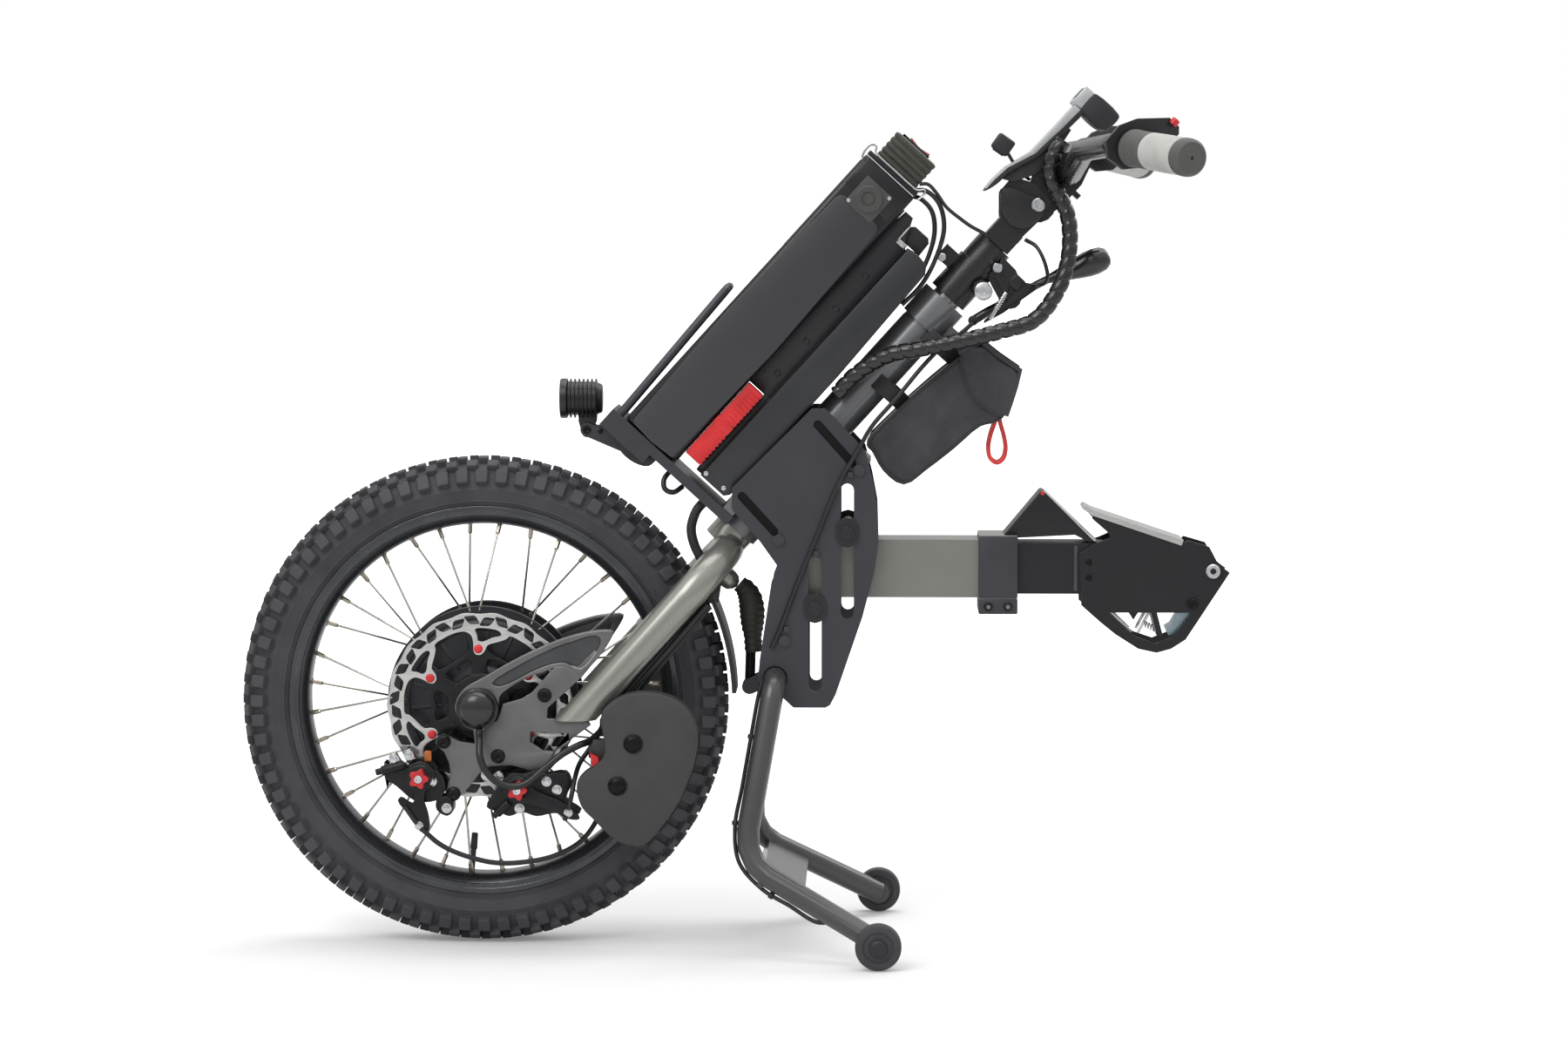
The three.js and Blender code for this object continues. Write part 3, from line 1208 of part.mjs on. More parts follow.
// A switch housing clamped round the bar: a drum with a forward hood and a rear thumb pad
function switchHousing(side, buttonHole) {
  const [fromShare, toShare] = housingShares;
  const radius = housingRadius;
  const start = gripPoint(fromShare, side);
  const end = gripPoint(toShare, side);
  const middle = start.clone().lerp(end, 0.5);
  const half = Math.abs(end.y - start.y) / 2;
  const room = radius * 4;
  const hoodShares = [[-0.76, 0.49], [-0.4, 1.19], [0.59, 2.15], [1.14, 2.16], [1.36, 1.92], [1.1, -0.2], [0.6, -0.75],
    [-0.2, -0.85], [-0.75, -0.4]];
  const points = scaled(hoodShares, radius, radius, middle.x, middle.z);
  const body = slab(outline(points), half * 4, middle.y);
  const way = end.clone().sub(start).normalize();
  const ends = [[start, -room], [end, room]].map(([point, reach]) =>
    rod(point.toArray(), point.clone().addScaledVector(way, reach).toArray(), room, 8));
  const before = start.clone().addScaledVector(way, -gripRadius * 2);
  const past = end.clone().addScaledVector(way, gripRadius * 2);
  const bore = rod(before.toArray(), past.toArray(), barRadius + seat, tubeSides);
  const screw = crossRod(middle.x + radius * 0.75, middle.z + radius * 1.2, half * 1.5, radius * 0.16, 8)
    .translate(0, middle.y, 0);
  const solid = join(cut(body, ...ends), screw);
  if (!buttonHole) return cut(solid, bore);
  const { x, y, z } = buttonPlace();
  const hole = rod([x, y, z + overrun], [x, y, z - buttonTravel * 3], buttonRadius + seat, 12);
  return cut(solid, bore, hole);
}

const buttonRadius = 4;
const buttonTravel = 2;

// The middle of the button's seat in the top of the near housing
function buttonPlace() {
  const middle = gripPoint((housingShares[0] + housingShares[1]) / 2, -1);
  return { x: middle.x + housingRadius * 0.865, y: middle.y, z: middle.z + housingRadius * 2.155 };
}

function throttleButton() {
  const { x, y, z } = buttonPlace();
  const stem = rod([x, y, z - buttonTravel * 1.4], [x, y, z + buttonTravel * 1.2], buttonRadius, 12);
  const dome = rod([x, y, z + buttonTravel * 1.2], [x, y, z + buttonTravel * 1.7], buttonRadius, 12, buttonRadius * 0.7);
  return join(stem, dome);
}

// Side plates, in a frame at the foot of the head tube, level with the ground

function plateSlots() {
  const endInset = slotWidth / 2;
  return [[slotHighX, slotHighBottom], [slotLowX, slotLowBottom]].map(([x, bottom]) =>
    slotShape([x, bottom + endInset], [x, bottom + slotLength - endInset], slotWidth));
}

function sidePlate(side) {
  const shares = [[0.546, 1], [0.638, 1], [0.908, 0.862], [0.957, 0.768], [0.993, 0.675], [1, 0.557], [0.972, 0.457],
    [0.894, 0.308], [0.71, 0.045], [0.67, 0.008], [0.638, 0], [0.42, 0]];
  const shape = outline(scaled(shares, plateWidth, plateHeight, plateLeft, plateBottom));
  const lobe = standTubeRadius * 1.5;
  shape.absarc(standPivotX, standPivotZ, lobe, -Math.PI * 0.42, -Math.PI * 1.03, true);
  const frontShares = [[0.191, 0.166], [0.27, 0.422], [0.312, 0.474], [0.191, 0.557], [0, 0.664], [0, 0.734]];
  for (const [x, z] of scaled(frontShares, plateWidth, plateHeight, plateLeft, plateBottom)) shape.lineTo(x, z);
  shape.holes.push(...plateSlots());
  const tabSlotShares = [[[0.586, 0.947], [0.82, 0.819]], [[0.068, 0.708], [0.288, 0.591]]];
  for (const ends of tabSlotShares) {
    const [from, to] = scaled(ends, plateWidth, plateHeight, plateLeft, plateBottom);
    shape.holes.push(slotShape(from, to, slotWidth * 0.6));
  }
  const hole = standTubeRadius + axleFit * 2;
  shape.holes.push(new THREE.Path(ringOf(hole, 16).getPoints()
    .map((point) => point.add(new THREE.Vector2(standPivotX, standPivotZ)))));
  const plate = slab(shape, plateThickness, side * plateOffset, 3);
  const outer = plateOffset + plateThickness / 2;
  const boltShares = [[0.868, 0.795], [0.32, 0.562], [0.359, 0.224]];
  const bolts = scaled(boltShares, plateWidth, plateHeight, plateLeft, plateBottom).map(([x, z]) =>
    rod([x, side * (outer - seat), z], [x, side * (outer + plateThickness * 0.6), z], plateThickness * 1.15, 8));
  if (side < 0) return join(plate, ...bolts, cableClips());
  return join(plate, ...bolts, pivotSleeve());
}

// The tube between the plates that the stand turns in, with the ears that carry the steering damper
function pivotSleeve() {
  const inner = plateOffset - plateThickness / 2;
  const wall = standTubeRadius * 1.4;
  const tube = rod([standPivotX, -inner + seat, standPivotZ], [standPivotX, inner + seat, standPivotZ], wall, 16);
  const earInside = damperEyeHalf * 1.95;
  const earWall = damperEyeHalf * 0.8;
  const ears = [-1, 1].map((side) => slab(slotShape([standPivotX, standPivotZ], damperFoot(), damperEyeRadius * 2),
    earWall, side * (earInside + earWall / 2), 3));
  const bore = crossRod(standPivotX, standPivotZ, plateOffset * 2, standTubeRadius + axleFit, 16);
  const [x, z] = damperFoot();
  const pin = crossRod(x, z, earInside + earWall + seat, damperPinRadius, 8);
  const ball = new THREE.SphereGeometry(damperBearingRadius, 12, 8).translate(x, 0, z);
  return join(cut(join(tube, ...ears), bore), pin, ball);
}

// Three small clips that hold the stand cable on the near plate
function cableClips() {
  const outer = plateOffset + plateThickness / 2;
  const clip = plateThickness * 0.9;
  const clipShares = [0.12, 0.52, 0.9];
  const route = new THREE.CatmullRomCurve3(standCableRoute.map((p) => new THREE.Vector3(...p)), false, 'centripetal');
  const pads = clipShares.map((share) => {
    const { x, z } = route.getPointAt(share * cablePlateShare + (1 - cablePlateShare));
    return box(x + clip * 0.9, x + clip * 2, -outer - clip, -outer + seat, z - clip / 2, z + clip / 2);
  });
  return join(...pads);
}

const damperEyeRadius = 7.5;
const damperEyeHalf = 3.6;
const damperPinRadius = 3;
const damperBearingRadius = 5;
const damperRodRadius = 5;
const damperBallSetback = 29;
const damperBallDrop = 41;
const damperBallRadius = 9.9;
const damperFootBack = -26;
const damperFootDrop = -12.8;
const damperLength = 104;

function damperFoot() {
  return [standPivotX + damperFootBack, standPivotZ + damperFootDrop];
}

function damperTop() {
  return columnToHead(damperBallSetback + damperBallRadius + seat, -damperBallDrop);
}

// The route of the damper, from its foot up to the face that meets the ball on the fork
function damperRoute() {
  const [footX, footZ] = damperFoot();
  const [topX, topZ] = damperTop();
  const elbow = [topX + Math.cos(steeringTilt) * damperBallRadius * 1.1,
    topZ - Math.sin(steeringTilt) * damperBallRadius * 1.1];
  const at = (share, out) => [footX + (elbow[0] - footX) * share + out, 0, footZ + (elbow[1] - footZ) * share];
  return [at(0.36, damperRodRadius * 0.55), at(0.62, damperRodRadius * 0.75), [elbow[0], 0, elbow[1]], [topX, 0, topZ]];
}

function damperBoot() {
  const wide = damperEyeRadius * 1.5;
  const boot = swellingTube(damperRoute(), [[0, wide * 0.68], [0.3, wide * 0.95], [0.55, wide],
    [0.7, wide * 1.05], [0.85, wide * 0.94], [1, wide * 0.76]], 10);
  return cut(boot, damperRod(damperRodRadius + seat, seat));
}

function damperRod(radius = damperRodRadius, extra = 0) {
  const [footX, footZ] = damperFoot();
  const [low, next] = damperRoute();
  const stop = next.map((value, k) => low[k] + (value - low[k]) * 0.4);
  const foot = [footX, 0, footZ];
  const way = new THREE.Vector3(...stop).sub(new THREE.Vector3(...foot)).normalize();
  const end = new THREE.Vector3(...stop).addScaledVector(way, extra);
  return rod(foot, end.toArray(), radius, 8);
}

function damperFork() {
  const [x, z] = damperFoot();
  const eye = crossRod(x, z, damperEyeHalf, damperEyeRadius, 12);
  const room = new THREE.SphereGeometry(damperBearingRadius + seat, 12, 8).translate(x, 0, z);
  const bore = crossRod(x, z, damperBearingRadius * 2, damperPinRadius + seat * 4, 12);
  return cut(join(damperRod(), eye), room, bore);
}

// Stand, in a frame at its pivot

const standHeight = headZ + standPivotZ;

function footPoint(side) {
  return [standFootSetback, side * standFootHalfWidth, rollerRadius - standHeight];
}

function standLegs() {
  const bendPoint = (side) => [-standBendForward, side * standBendHalfWidth, standBendHeight - standHeight];
  const topPoint = (side) => [0, side * standTopHalfWidth, 0];
  const topBend = standTubeRadius * 2;
  const lowBend = standTubeRadius * 4;
  const legs = bentTube([footPoint(-1), bendPoint(-1), topPoint(-1), topPoint(1), bendPoint(1), footPoint(1)],
    [lowBend, topBend, topBend, lowBend], standTubeRadius, tubeSides, 3);
  const [low, foot] = [bendPoint(-1), footPoint(-1)];
  const slope = Math.atan2(foot[2] - low[2], foot[0] - low[0]);
  const share = 0.3;
  const plateHalf = standTubeRadius * 2;
  const sheet = standTubeRadius * 0.5;
  const lip = standTubeRadius * 1.1;
  const section = outline([[-plateHalf, sheet / 2], [plateHalf, sheet / 2], [plateHalf, -sheet / 2],
    [sheet - plateHalf, -sheet / 2], [sheet - plateHalf, -lip], [-plateHalf, -lip]]);
  const reach = Math.abs(low[1] + (foot[1] - low[1]) * share);
  const plate = slab(section, reach * 2).rotateY(-slope)
    .translate(low[0] + (foot[0] - low[0]) * share, 0, low[2] + (foot[2] - low[2]) * share);
  const axles = [-1, 1].map((side) => {
    const [x, y, z] = footPoint(side);
    const out = rollerInside() + rollerWidth + seat;
    const shaft = rod([x, y - side * standTubeRadius * 0.5, z], [x, side * (out + rollerAxleRadius), z],
      rollerAxleRadius, 8);
    const shoulder = rod([x, y, z], [x, side * (rollerInside() - seat), z], standTubeRadius, tubeSides);
    const cap = rod([x, side * out, z], [x, side * (out + rollerAxleRadius * 0.6), z], rollerAxleRadius * 1.7, 8);
    return join(shaft, shoulder, cap);
  });
  return join(legs, plate, ...axles);
}

const rollerAxleRadius = 5;

// Where the inner face of a roller lies, clear of the end of the leg
function rollerInside() {
  return standFootHalfWidth + standTubeRadius;
}

// A roller, in its own frame at its axle, its inner face at zero
function footRoller(side) {
  const bore = rollerAxleRadius + seat;
  const edge = rollerWidth * 0.12;
  const dish = rollerWidth * 0.2;
  const profile = [[bore, 0], [rollerRadius * 0.5, 0], [rollerRadius * 0.72, dish], [rollerRadius * 0.8, 0],
    [rollerRadius, edge], [rollerRadius, rollerWidth - edge], [rollerRadius * 0.8, rollerWidth],
    [rollerRadius * 0.72, rollerWidth - dish], [rollerRadius * 0.5, rollerWidth], [bore, rollerWidth]];
  const roller = turned(profile, 18);
  return side > 0 ? roller : roller.rotateZ(Math.PI);
}

// Arm and docking head

function armTube() {
  const half = armTubeSize / 2;
  const start = slotLowX - slotWidth;
  const tube = box(start, armTubeEnd - seat, -half, half, armRise - half, armRise + half);
  const collarLow = armRise - half - armCollarWall * 3.4;
  const collarHalf = half + armCollarWall;
  const collarStart = armTubeEnd - armCollarLength;
  const collar = box(collarStart, armTubeEnd, -collarHalf, collarHalf, collarLow, armRise + collarHalf);
  const hollowHalf = half - armTubeWall;
  const hollow = box(start - overrun, armTubeEnd + overrun, -hollowHalf, hollowHalf, armRise - hollowHalf,
    armRise + hollowHalf);
  const gap = box(collarStart - overrun, armTubeEnd + overrun, -seat, seat, collarLow - overrun, armRise - hollowHalf);
  const sleeveHalf = plateOffset - plateThickness / 2 - seat;
  const sleeves = armBoltPlaces().map(([x, z]) => crossRod(x, z, sleeveHalf, armSleeveRadius, 10));
  const holes = armBoltPlaces().map(([x, z]) => crossRod(x, z, sleeveHalf + overrun, armBoltRadius + seat, 8));
  const screwReach = collarHalf + armCollarWall * 0.6;
  const screws = [0.27, 0.76].map((share) => crossRod(collarStart + armCollarLength * share,
    collarLow + armCollarWall * 1.4, screwReach, armCollarWall * 0.75, 6));
  return cut(join(tube, collar, ...sleeves, ...screws), hollow, gap, ...holes);
}

const armBoltRadius = 5;
const armSleeveRadius = 9;

// The clamp bolts pass above and below the tube, one through each pair of slots
function armBoltPlaces() {
  const out = armTubeSize / 2 + armSleeveRadius * 0.95;
  return [[slotHighX, armRise + out], [slotLowX, armRise - out]];
}

function armBolt(index) {
  const [x, z] = armBoltPlaces()[index];
  const outer = plateOffset + plateThickness / 2 + seat;
  const washer = plateThickness * 0.6;
  const shaft = crossRod(x, z, outer + washer, armBoltRadius, 8);
  const washerReach = slotWidth * 0.3;
  const pieces = [-1, 1].flatMap((side) => [
    slab(slotShape([x, z - washerReach], [x, z + washerReach], slotWidth * 1.7), washer, side * (outer + washer / 2), 3),
    rod([x, side * (outer + washer * 0.5), z], [x, side * (outer + washer * 2.4), z], armBoltRadius * 1.3, 8),
  ]);
  return join(shaft, ...pieces);
}

function extensionTube() {
  const half = extensionSize / 2;
  const inner = half - extensionWall;
  const end = extensionEnd + dockTongue;
  const tube = box(extensionStart, end, -half, half, armRise - half, armRise + half);
  const hollow = box(extensionStart - overrun, end + overrun, -inner, inner, armRise - inner, armRise + inner);
  return cut(tube, hollow);
}

const dockTongue = 22;
const dockPinRadius = 7;

function dockShape() {
  const shares = [[0.014, 0.346], [0, 0.729], [0.055, 0.767], [0.097, 0.797], [0.145, 0.812], [0.207, 0.842],
    [0.186, 0.88], [0.083, 0.977], [0.083, 1], [0.676, 0.782], [0.717, 0.82], [0.862, 0.774], [0.924, 0.647],
    [1, 0.586], [0.71, 0.098], [0.614, 0.03], [0.517, 0], [0.393, 0.03], [0.241, 0.135], [0.138, 0.226]];
  const shape = outline(scaled(shares, dockWidth, dockHeight, dockLeft, dockBottom));
  const window = [[0.2, 0.293], [0.752, 0.293], [0.68, 0.19], [0.614, 0.113], [0.51, 0.068], [0.386, 0.113],
    [0.276, 0.203]];
  shape.holes.push(outline(scaled(window, dockWidth, dockHeight, dockLeft, dockBottom)));
  return shape;
}

function dockPoint(x, z) {
  return scaled([[x, z]], dockWidth, dockHeight, dockLeft, dockBottom)[0];
}

function dockHookPivot() {
  return dockPoint(0.759, 0.36);
}

function dockHead() {
  const offset = extensionSize / 2 + seat + dockPlateThickness / 2;
  const outer = offset + dockPlateThickness / 2;
  const plates = [-1, 1].map((side) => slab(dockShape(), dockPlateThickness, side * offset));
  const [pinX, pinZ] = dockPoint(0.89, 0.6);
  const pin = crossRod(pinX, pinZ, outer + dockPlateThickness, dockPinRadius, 10);
  const [hookX, hookZ] = dockHookPivot();
  const hookPin = crossRod(hookX, hookZ, outer + dockPlateThickness * 0.5, dockPinRadius * 0.55, 8);
  const [blockX, blockZ] = dockPoint(0.31, 0.42);
  const blockHalf = dockPlateThickness * 1.5;
  const spacer = box(blockX - blockHalf, blockX + blockHalf, -offset, offset, blockZ - blockHalf, blockZ + blockHalf * 4);
  const rivets = [0.49, 0.61].flatMap((rise) => {
    const [x, z] = dockPoint(0.103, rise);
    return [-1, 1].map((side) => rod([x, side * (outer - seat), z], [x, side * (outer + dockPlateThickness * 0.4), z],
      dockPinRadius * 0.5, 6));
  });
  const throat = [[0.38, 0.7], [0.42, 0.7], [0.56, 0.12], [0.52, 0.12]];
  const guide = slab(outline(scaled(throat, dockWidth, dockHeight, dockLeft, dockBottom)), offset * 2);
  return join(...plates, pin, hookPin, spacer, guide, ...rivets);
}

// The stainless ramp lies on the upper edge of the dock plates
function dockRamp() {
  const shares = [[0.083, 1], [0.676, 0.782], [0.69, 0.82], [0.097, 1.035], [0.035, 1.07], [0.02, 1.045]];
  const half = extensionSize / 2 + dockPlateThickness * 1.6;
  const points = scaled(shares, dockWidth, dockHeight, dockLeft, dockBottom).map(([x, z]) => [x, z + seat]);
  return slab(outline(points), half * 2);
}

function dockWedge() {
  const length = 91;
  const height = 50;
  const left = extensionEnd - length * 0.83;
  const bottom = armRise + extensionSize / 2 + seat;
  const collarTop = armRise + armTubeSize / 2 + armCollarWall + seat;
  const stepX = armTubeEnd + seat;
  const peak = [left + length * 0.44, bottom + height];
  const nose = [left + length, bottom];
  const shape = outline([[stepX, bottom], nose, peak, [left, collarTop], [stepX, collarTop]]);
  return slab(shape, extensionSize);
}

// The spring hook, in its own frame at its pin
function dockHook() {
  const reach = 46;
  const shares = [[-0.2, 0.16], [0.16, 0.2], [0.2, -0.1], [-0.1, -0.36], [-0.3, -0.62], [-0.5, -0.7], [-0.56, -0.55],
    [-0.44, -0.48], [-0.3, -0.24]];
  const half = extensionSize * 0.36;
  const hook = slab(outline(scaled(shares, reach)), half * 2);
  return cut(hook, crossRod(0, 0, half + overrun, dockPinRadius * 0.55 + seat, 8));
}

// Cords along their hand-chosen routes

// Harness from the frame to the head, in the column's frame at the head base
const harnessRoute = [[-16.5, -34, 165], [-16, -38, 190], [-6, -48, 225], [12, -54, 250], [30, -56, 274],
  [58, -54, 315], [75, -52, 345], [72, -50, 382], [58, -46, 412], [34, -42, 438], [12, -41, 449], [-6, -42, 456],
  [-17, -44, 472], [-20, -45, 490]];
const harnessRadius = 8;

function harness() {
  const ribs = 34;
  const groove = harnessRadius * 0.1;
  const lead = 1.2 / ribs;
  const stations = [[0, harnessRadius], [lead, harnessRadius]];
  const pitch = (1 - lead * 2) / ribs;
  for (let i = 0; i < ribs; i += 1) {
    const start = lead + i * pitch;
    stations.push([start + pitch * 0.2, harnessRadius - groove], [start + pitch * 0.6, harnessRadius]);
  }
  stations.push([1 - lead, harnessRadius], [1, harnessRadius]);
  return swellingTube(harnessRoute, stations, 8);
}

// Braided conduit round the fork crown, in the column's frame at the head base
const conduitRoute = [[-41, -30, -0.2], [-40.5, -30, -10], [-33, -29, -26], [-20, -29, -36], [-4, -30, -42],
  [10, -36, -45], [22, -50, -51], [27, -62, -62]];
const conduitRadius = 5;

// Stand cable down the column and the near side plate, in a level frame at the head base
const standCableRoute = [[229, -34, 201], [217, -38, 191], [203, -43, 182], [182, -44.5, 161], [157, -50, 131],
  [132, -50.5, 102], [120, -50.5, 81], [99, -50.5, 44], [82, -50.5, 2], [61, -50.5, -49], [44, -50.5, -94],
  [36, -50.5, -112]];
const standCableRadius = 2.2;
const cablePlateShare = 0.55;

// Leads on the near leg and along the brakes, in a frame at the axle
const motorCableRoute = [[2, -92, -18.8], [2, -92.5, -23], [3, -100, -31], [4, -107, -43], [8, -109, -54], [18, -109, -66],
  [34, -109, -72], [48, -108, -69], [62, -105, -58], [82, -100, -42], [98, -93, -34], [108, -82, -31],
  [122, -69, -18], [138, -66, 4], [193, -66, 68], [219, -64, 98.2]];
const frontBrakeRoute = [[-69, -98.5, -93], [-57, -98.5, -110], [-47, -98.5, -120], [-36, -99, -129], [-18, -99, -138], [16, -98, -147], [45, -94, -147],
  [74, -84, -142], [100, -70, -128], [120, -61, -95], [133, -59, -50], [142, -59, -6], [197, -59, 66],
  [222, -58, 95.6]];
const rearBrakeRoute = [[84, -98.5, -106], [88, -98.5, -94], [91, -98.5, -80], [93, -90, -68], [97, -74, -54], [108, -66, -38],
  [120, -62, -16], [136, -60.5, 8], [190, -60, 70], [217, -58, 100]];
const motorCableRadius = 3.4;
const brakeCableRadius = 2.4;

// Finishes

function finish(color, roughness, metalness) {
  return new THREE.MeshStandardMaterial({ color, roughness, metalness });
}

const rubber = finish('#2a2b2d', 0.9, 0);
const blackMetal = finish('#1f2023', 0.45, 0.6);
const forkPaint = finish('#8c8b80', 0.35, 0.7);
const armPaint = finish('#8f8f88', 0.4, 0.6);
const machined = finish('#7d7c78', 0.35, 0.9);
const castGrey = finish('#55565a', 0.5, 0.7);
const steel = finish('#c4c6c8', 0.3, 1);
const plateGrey = finish('#3f4046', 0.55, 0.4);
const weightGrey = finish('#4a4a4a', 0.75, 0.2);
const standPaint = finish('#3d3e3a', 0.45, 0.5);
const blackPlastic = finish('#242528', 0.6, 0);
const caseBlack = finish('#1b1c1f', 0.4, 0.1);
const gripGrey = finish('#8b8d90', 0.8, 0);
const glossBlack = finish('#101114', 0.15, 0.6);
const redPlastic = finish('#d3252b', 0.45, 0);
const nylon = finish('#2b2c30', 0.9, 0);
const bootRubber = finish('#34342d', 0.75, 0);
const wrap = finish('#1c1d20', 0.4, 0);

// Assembly

function frameAt(parent, x, y, z, turn = 0) {
  const group = new THREE.Group();
  group.position.set(x, y, z);
  group.rotation.y = turn;
  parent.add(group);
  return group;
}

function place(parent, name, geometry, material) {
  const mesh = new THREE.Mesh(geometry, material);
  mesh.name = name;
  parent.add(mesh);
}

const model = new THREE.Group();
const ground = frameAt(model, -boxMiddle, 0, 0);
const atAxle = frameAt(ground, 0, 0, axleHeight);
const [columnX, columnZ] = columnToAxle(0, 0);
const column = frameAt(atAxle, columnX, 0, columnZ, steeringTilt);
const head = frameAt(ground, headX, 0, headZ, steeringTilt);
const level = frameAt(ground, headX, 0, headZ);

place(atAxle, 'tyre', tyre(), rubber);
place(atAxle, 'rim_and_spokes', rimAndSpokes(), blackMetal);
place(atAxle, 'hub_motor', hubMotor(), blackMetal);
place(atAxle, 'brake_rotor', brakeRotor(), steel);
place(atAxle, 'rotor_carrier', rotorCarrier(), blackMetal);

place(column, 'fork', fork(), forkPaint);
place(atAxle, 'dropout_near', dropout(), machined);
place(atAxle, 'dropout_far', mirrored(dropout()), machined);
place(atAxle, 'axle', axle(), castGrey);
place(atAxle, 'caliper_front', caliper(0), castGrey);
place(atAxle, 'caliper_rear', caliper(1), castGrey);
place(atAxle, 'caliper_arm_front', caliperArm(0), castGrey);
place(atAxle, 'caliper_arm_rear', caliperArm(1), castGrey);
place(atAxle, 'mudguard', mudguard(), blackPlastic);
place(atAxle, 'ballast_near', ballast(), weightGrey);
place(atAxle, 'ballast_far', mirrored(ballast()), weightGrey);
place(atAxle, 'motor_cable', cord(motorCableRoute, motorCableRadius, 30), wrap);
place(atAxle, 'brake_cable_front', cord(frontBrakeRoute, brakeCableRadius, 36), wrap);
place(atAxle, 'brake_cable_rear', cord(rearBrakeRoute, brakeCableRadius, 20), wrap);

place(head, 'fork_conduit', cord(conduitRoute, conduitRadius, 10), wrap);
place(head, 'stem_clamp', stemClamp(), blackMetal);
place(frameAt(head, leverPivotX, 0, leverPivotRise), 'brake_lever', brakeLever(), blackMetal);
place(head, 'mast', mast(), blackMetal);
place(head, 'tilt_head', tiltHead(), blackMetal);
place(head, 'dash', dash(), blackPlastic);
place(head, 'display', display(), glossBlack);
place(head, 'key_switch', keySwitch(), blackPlastic);
place(head, 'handlebar', handlebar(), glossBlack);
place(head, 'switch_housing_near', switchHousing(-1, true), blackPlastic);
place(head, 'switch_housing_far', switchHousing(1, false), blackPlastic);
place(head, 'throttle_button', throttleButton(), redPlastic);
place(head, 'throttle_grip', sleeve(-1, 0.28, 0.54, gripRadius * 0.97), blackPlastic);
place(head, 'grip_near', grip(-1, 0.545), gripGrey);
place(head, 'grip_far', grip(1, 0.28), gripGrey);

place(level, 'side_plate_near', sidePlate(-1), plateGrey);
place(level, 'side_plate_far', sidePlate(1), plateGrey);
place(head, 'head_tube', headTube(), blackMetal);
place(head, 'battery_tray', batteryTray(), plateGrey);
place(head, 'battery_case', batteryCase(), caseBlack);
place(head, 'switch_box', switchBox(), blackPlastic);
const rocker = rockerPlace();
const rockerRise = switchBoxBottom() + switchBoxHeight;
place(frameAt(head, rocker.x, 0, rockerRise), 'rocker_switch', rockerSwitch(), redPlastic);
place(head, 'controller', controller(), plateGrey);
place(head, 'power_connector', powerConnector(), redPlastic);
place(head, 'tool_bag', toolBag(), nylon);
const [lampX, lampZ] = columnToHead(lampPivot().x, lampPivot().rise);
place(frameAt(level, lampX, 0, lampZ), 'lamp', lamp(), blackMetal);

const stand = frameAt(level, standPivotX, 0, standPivotZ);
place(stand, 'stand_legs', standLegs(), standPaint);
for (const [side, name] of [[-1, 'foot_roller_near'], [1, 'foot_roller_far']]) {
  const [x, , z] = footPoint(side);
  place(frameAt(stand, x, side * rollerInside(), z), name, footRoller(side), rubber);
}
place(level, 'damper_boot', damperBoot(), bootRubber);
place(level, 'damper_rod', damperFork(), castGrey);

place(level, 'arm_tube', armTube(), armPaint);
place(level, 'arm_bolt_upper', armBolt(0), blackMetal);
place(level, 'arm_bolt_lower', armBolt(1), blackMetal);
place(level, 'extension_tube', extensionTube(), blackMetal);
place(level, 'dock_head', dockHead(), blackMetal);
place(level, 'dock_ramp', dockRamp(), steel);
place(level, 'dock_wedge', dockWedge(), steel);
const [hookX, hookZ] = dockHookPivot();
place(frameAt(level, hookX, 0, hookZ), 'dock_hook', dockHook(), steel);

place(head, 'harness', harness(), wrap);
place(level, 'stand_cable', cord(standCableRoute, standCableRadius, 40), wrap);

export default model;
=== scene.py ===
"""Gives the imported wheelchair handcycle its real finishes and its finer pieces."""
import math

import bmesh
import bpy
from bpy.props import FloatProperty, FloatVectorProperty, IntProperty
from mathutils import Matrix, Vector


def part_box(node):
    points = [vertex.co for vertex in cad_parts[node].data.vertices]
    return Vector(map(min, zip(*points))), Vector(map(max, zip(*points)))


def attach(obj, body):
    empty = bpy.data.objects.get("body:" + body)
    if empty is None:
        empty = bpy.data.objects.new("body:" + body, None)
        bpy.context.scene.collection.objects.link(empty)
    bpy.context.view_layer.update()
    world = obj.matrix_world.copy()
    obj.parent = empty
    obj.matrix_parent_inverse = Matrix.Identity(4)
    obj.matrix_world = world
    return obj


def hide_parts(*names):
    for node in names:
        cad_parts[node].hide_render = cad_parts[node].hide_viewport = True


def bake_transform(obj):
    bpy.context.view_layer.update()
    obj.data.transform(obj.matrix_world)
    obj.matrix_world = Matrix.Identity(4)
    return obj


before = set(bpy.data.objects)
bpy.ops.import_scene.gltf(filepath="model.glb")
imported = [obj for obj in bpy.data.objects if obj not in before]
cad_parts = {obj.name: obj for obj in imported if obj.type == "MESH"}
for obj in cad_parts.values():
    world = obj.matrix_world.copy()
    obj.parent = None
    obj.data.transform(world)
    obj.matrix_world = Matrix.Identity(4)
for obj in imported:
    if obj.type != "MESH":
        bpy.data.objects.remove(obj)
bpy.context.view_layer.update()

bl_info = {
    "name": "Handcycle dressing",
    "version": (1, 0, 0),
    "blender": (4, 5, 0),
    "location": "View3D > Sidebar > Handcycle",
    "description": "Builds the fine pieces, finishes and stage of a wheelchair handcycle",
    "category": "Object",
}

MM = 0.001
FULL_TURN = math.tau
STEERING_TILT = math.radians(42.3)
AXLE_LEAD = 68.8
HEAD_BASE = 287.5
TYRE_RADIUS = 237.5
ROTOR_PLANE = -60.0


# Places


def frame_at(x, z, turn=0.0):
    """A frame in millimetres whose origin is x behind the axle and z above the floor."""
    middle = (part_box("tyre")[0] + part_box("tyre")[1]) / 2
    place = Matrix.Translation((middle.x + x * MM, 0, z * MM))
    return place @ Matrix.Rotation(turn, 4, "Y") @ Matrix.Scale(MM, 4)


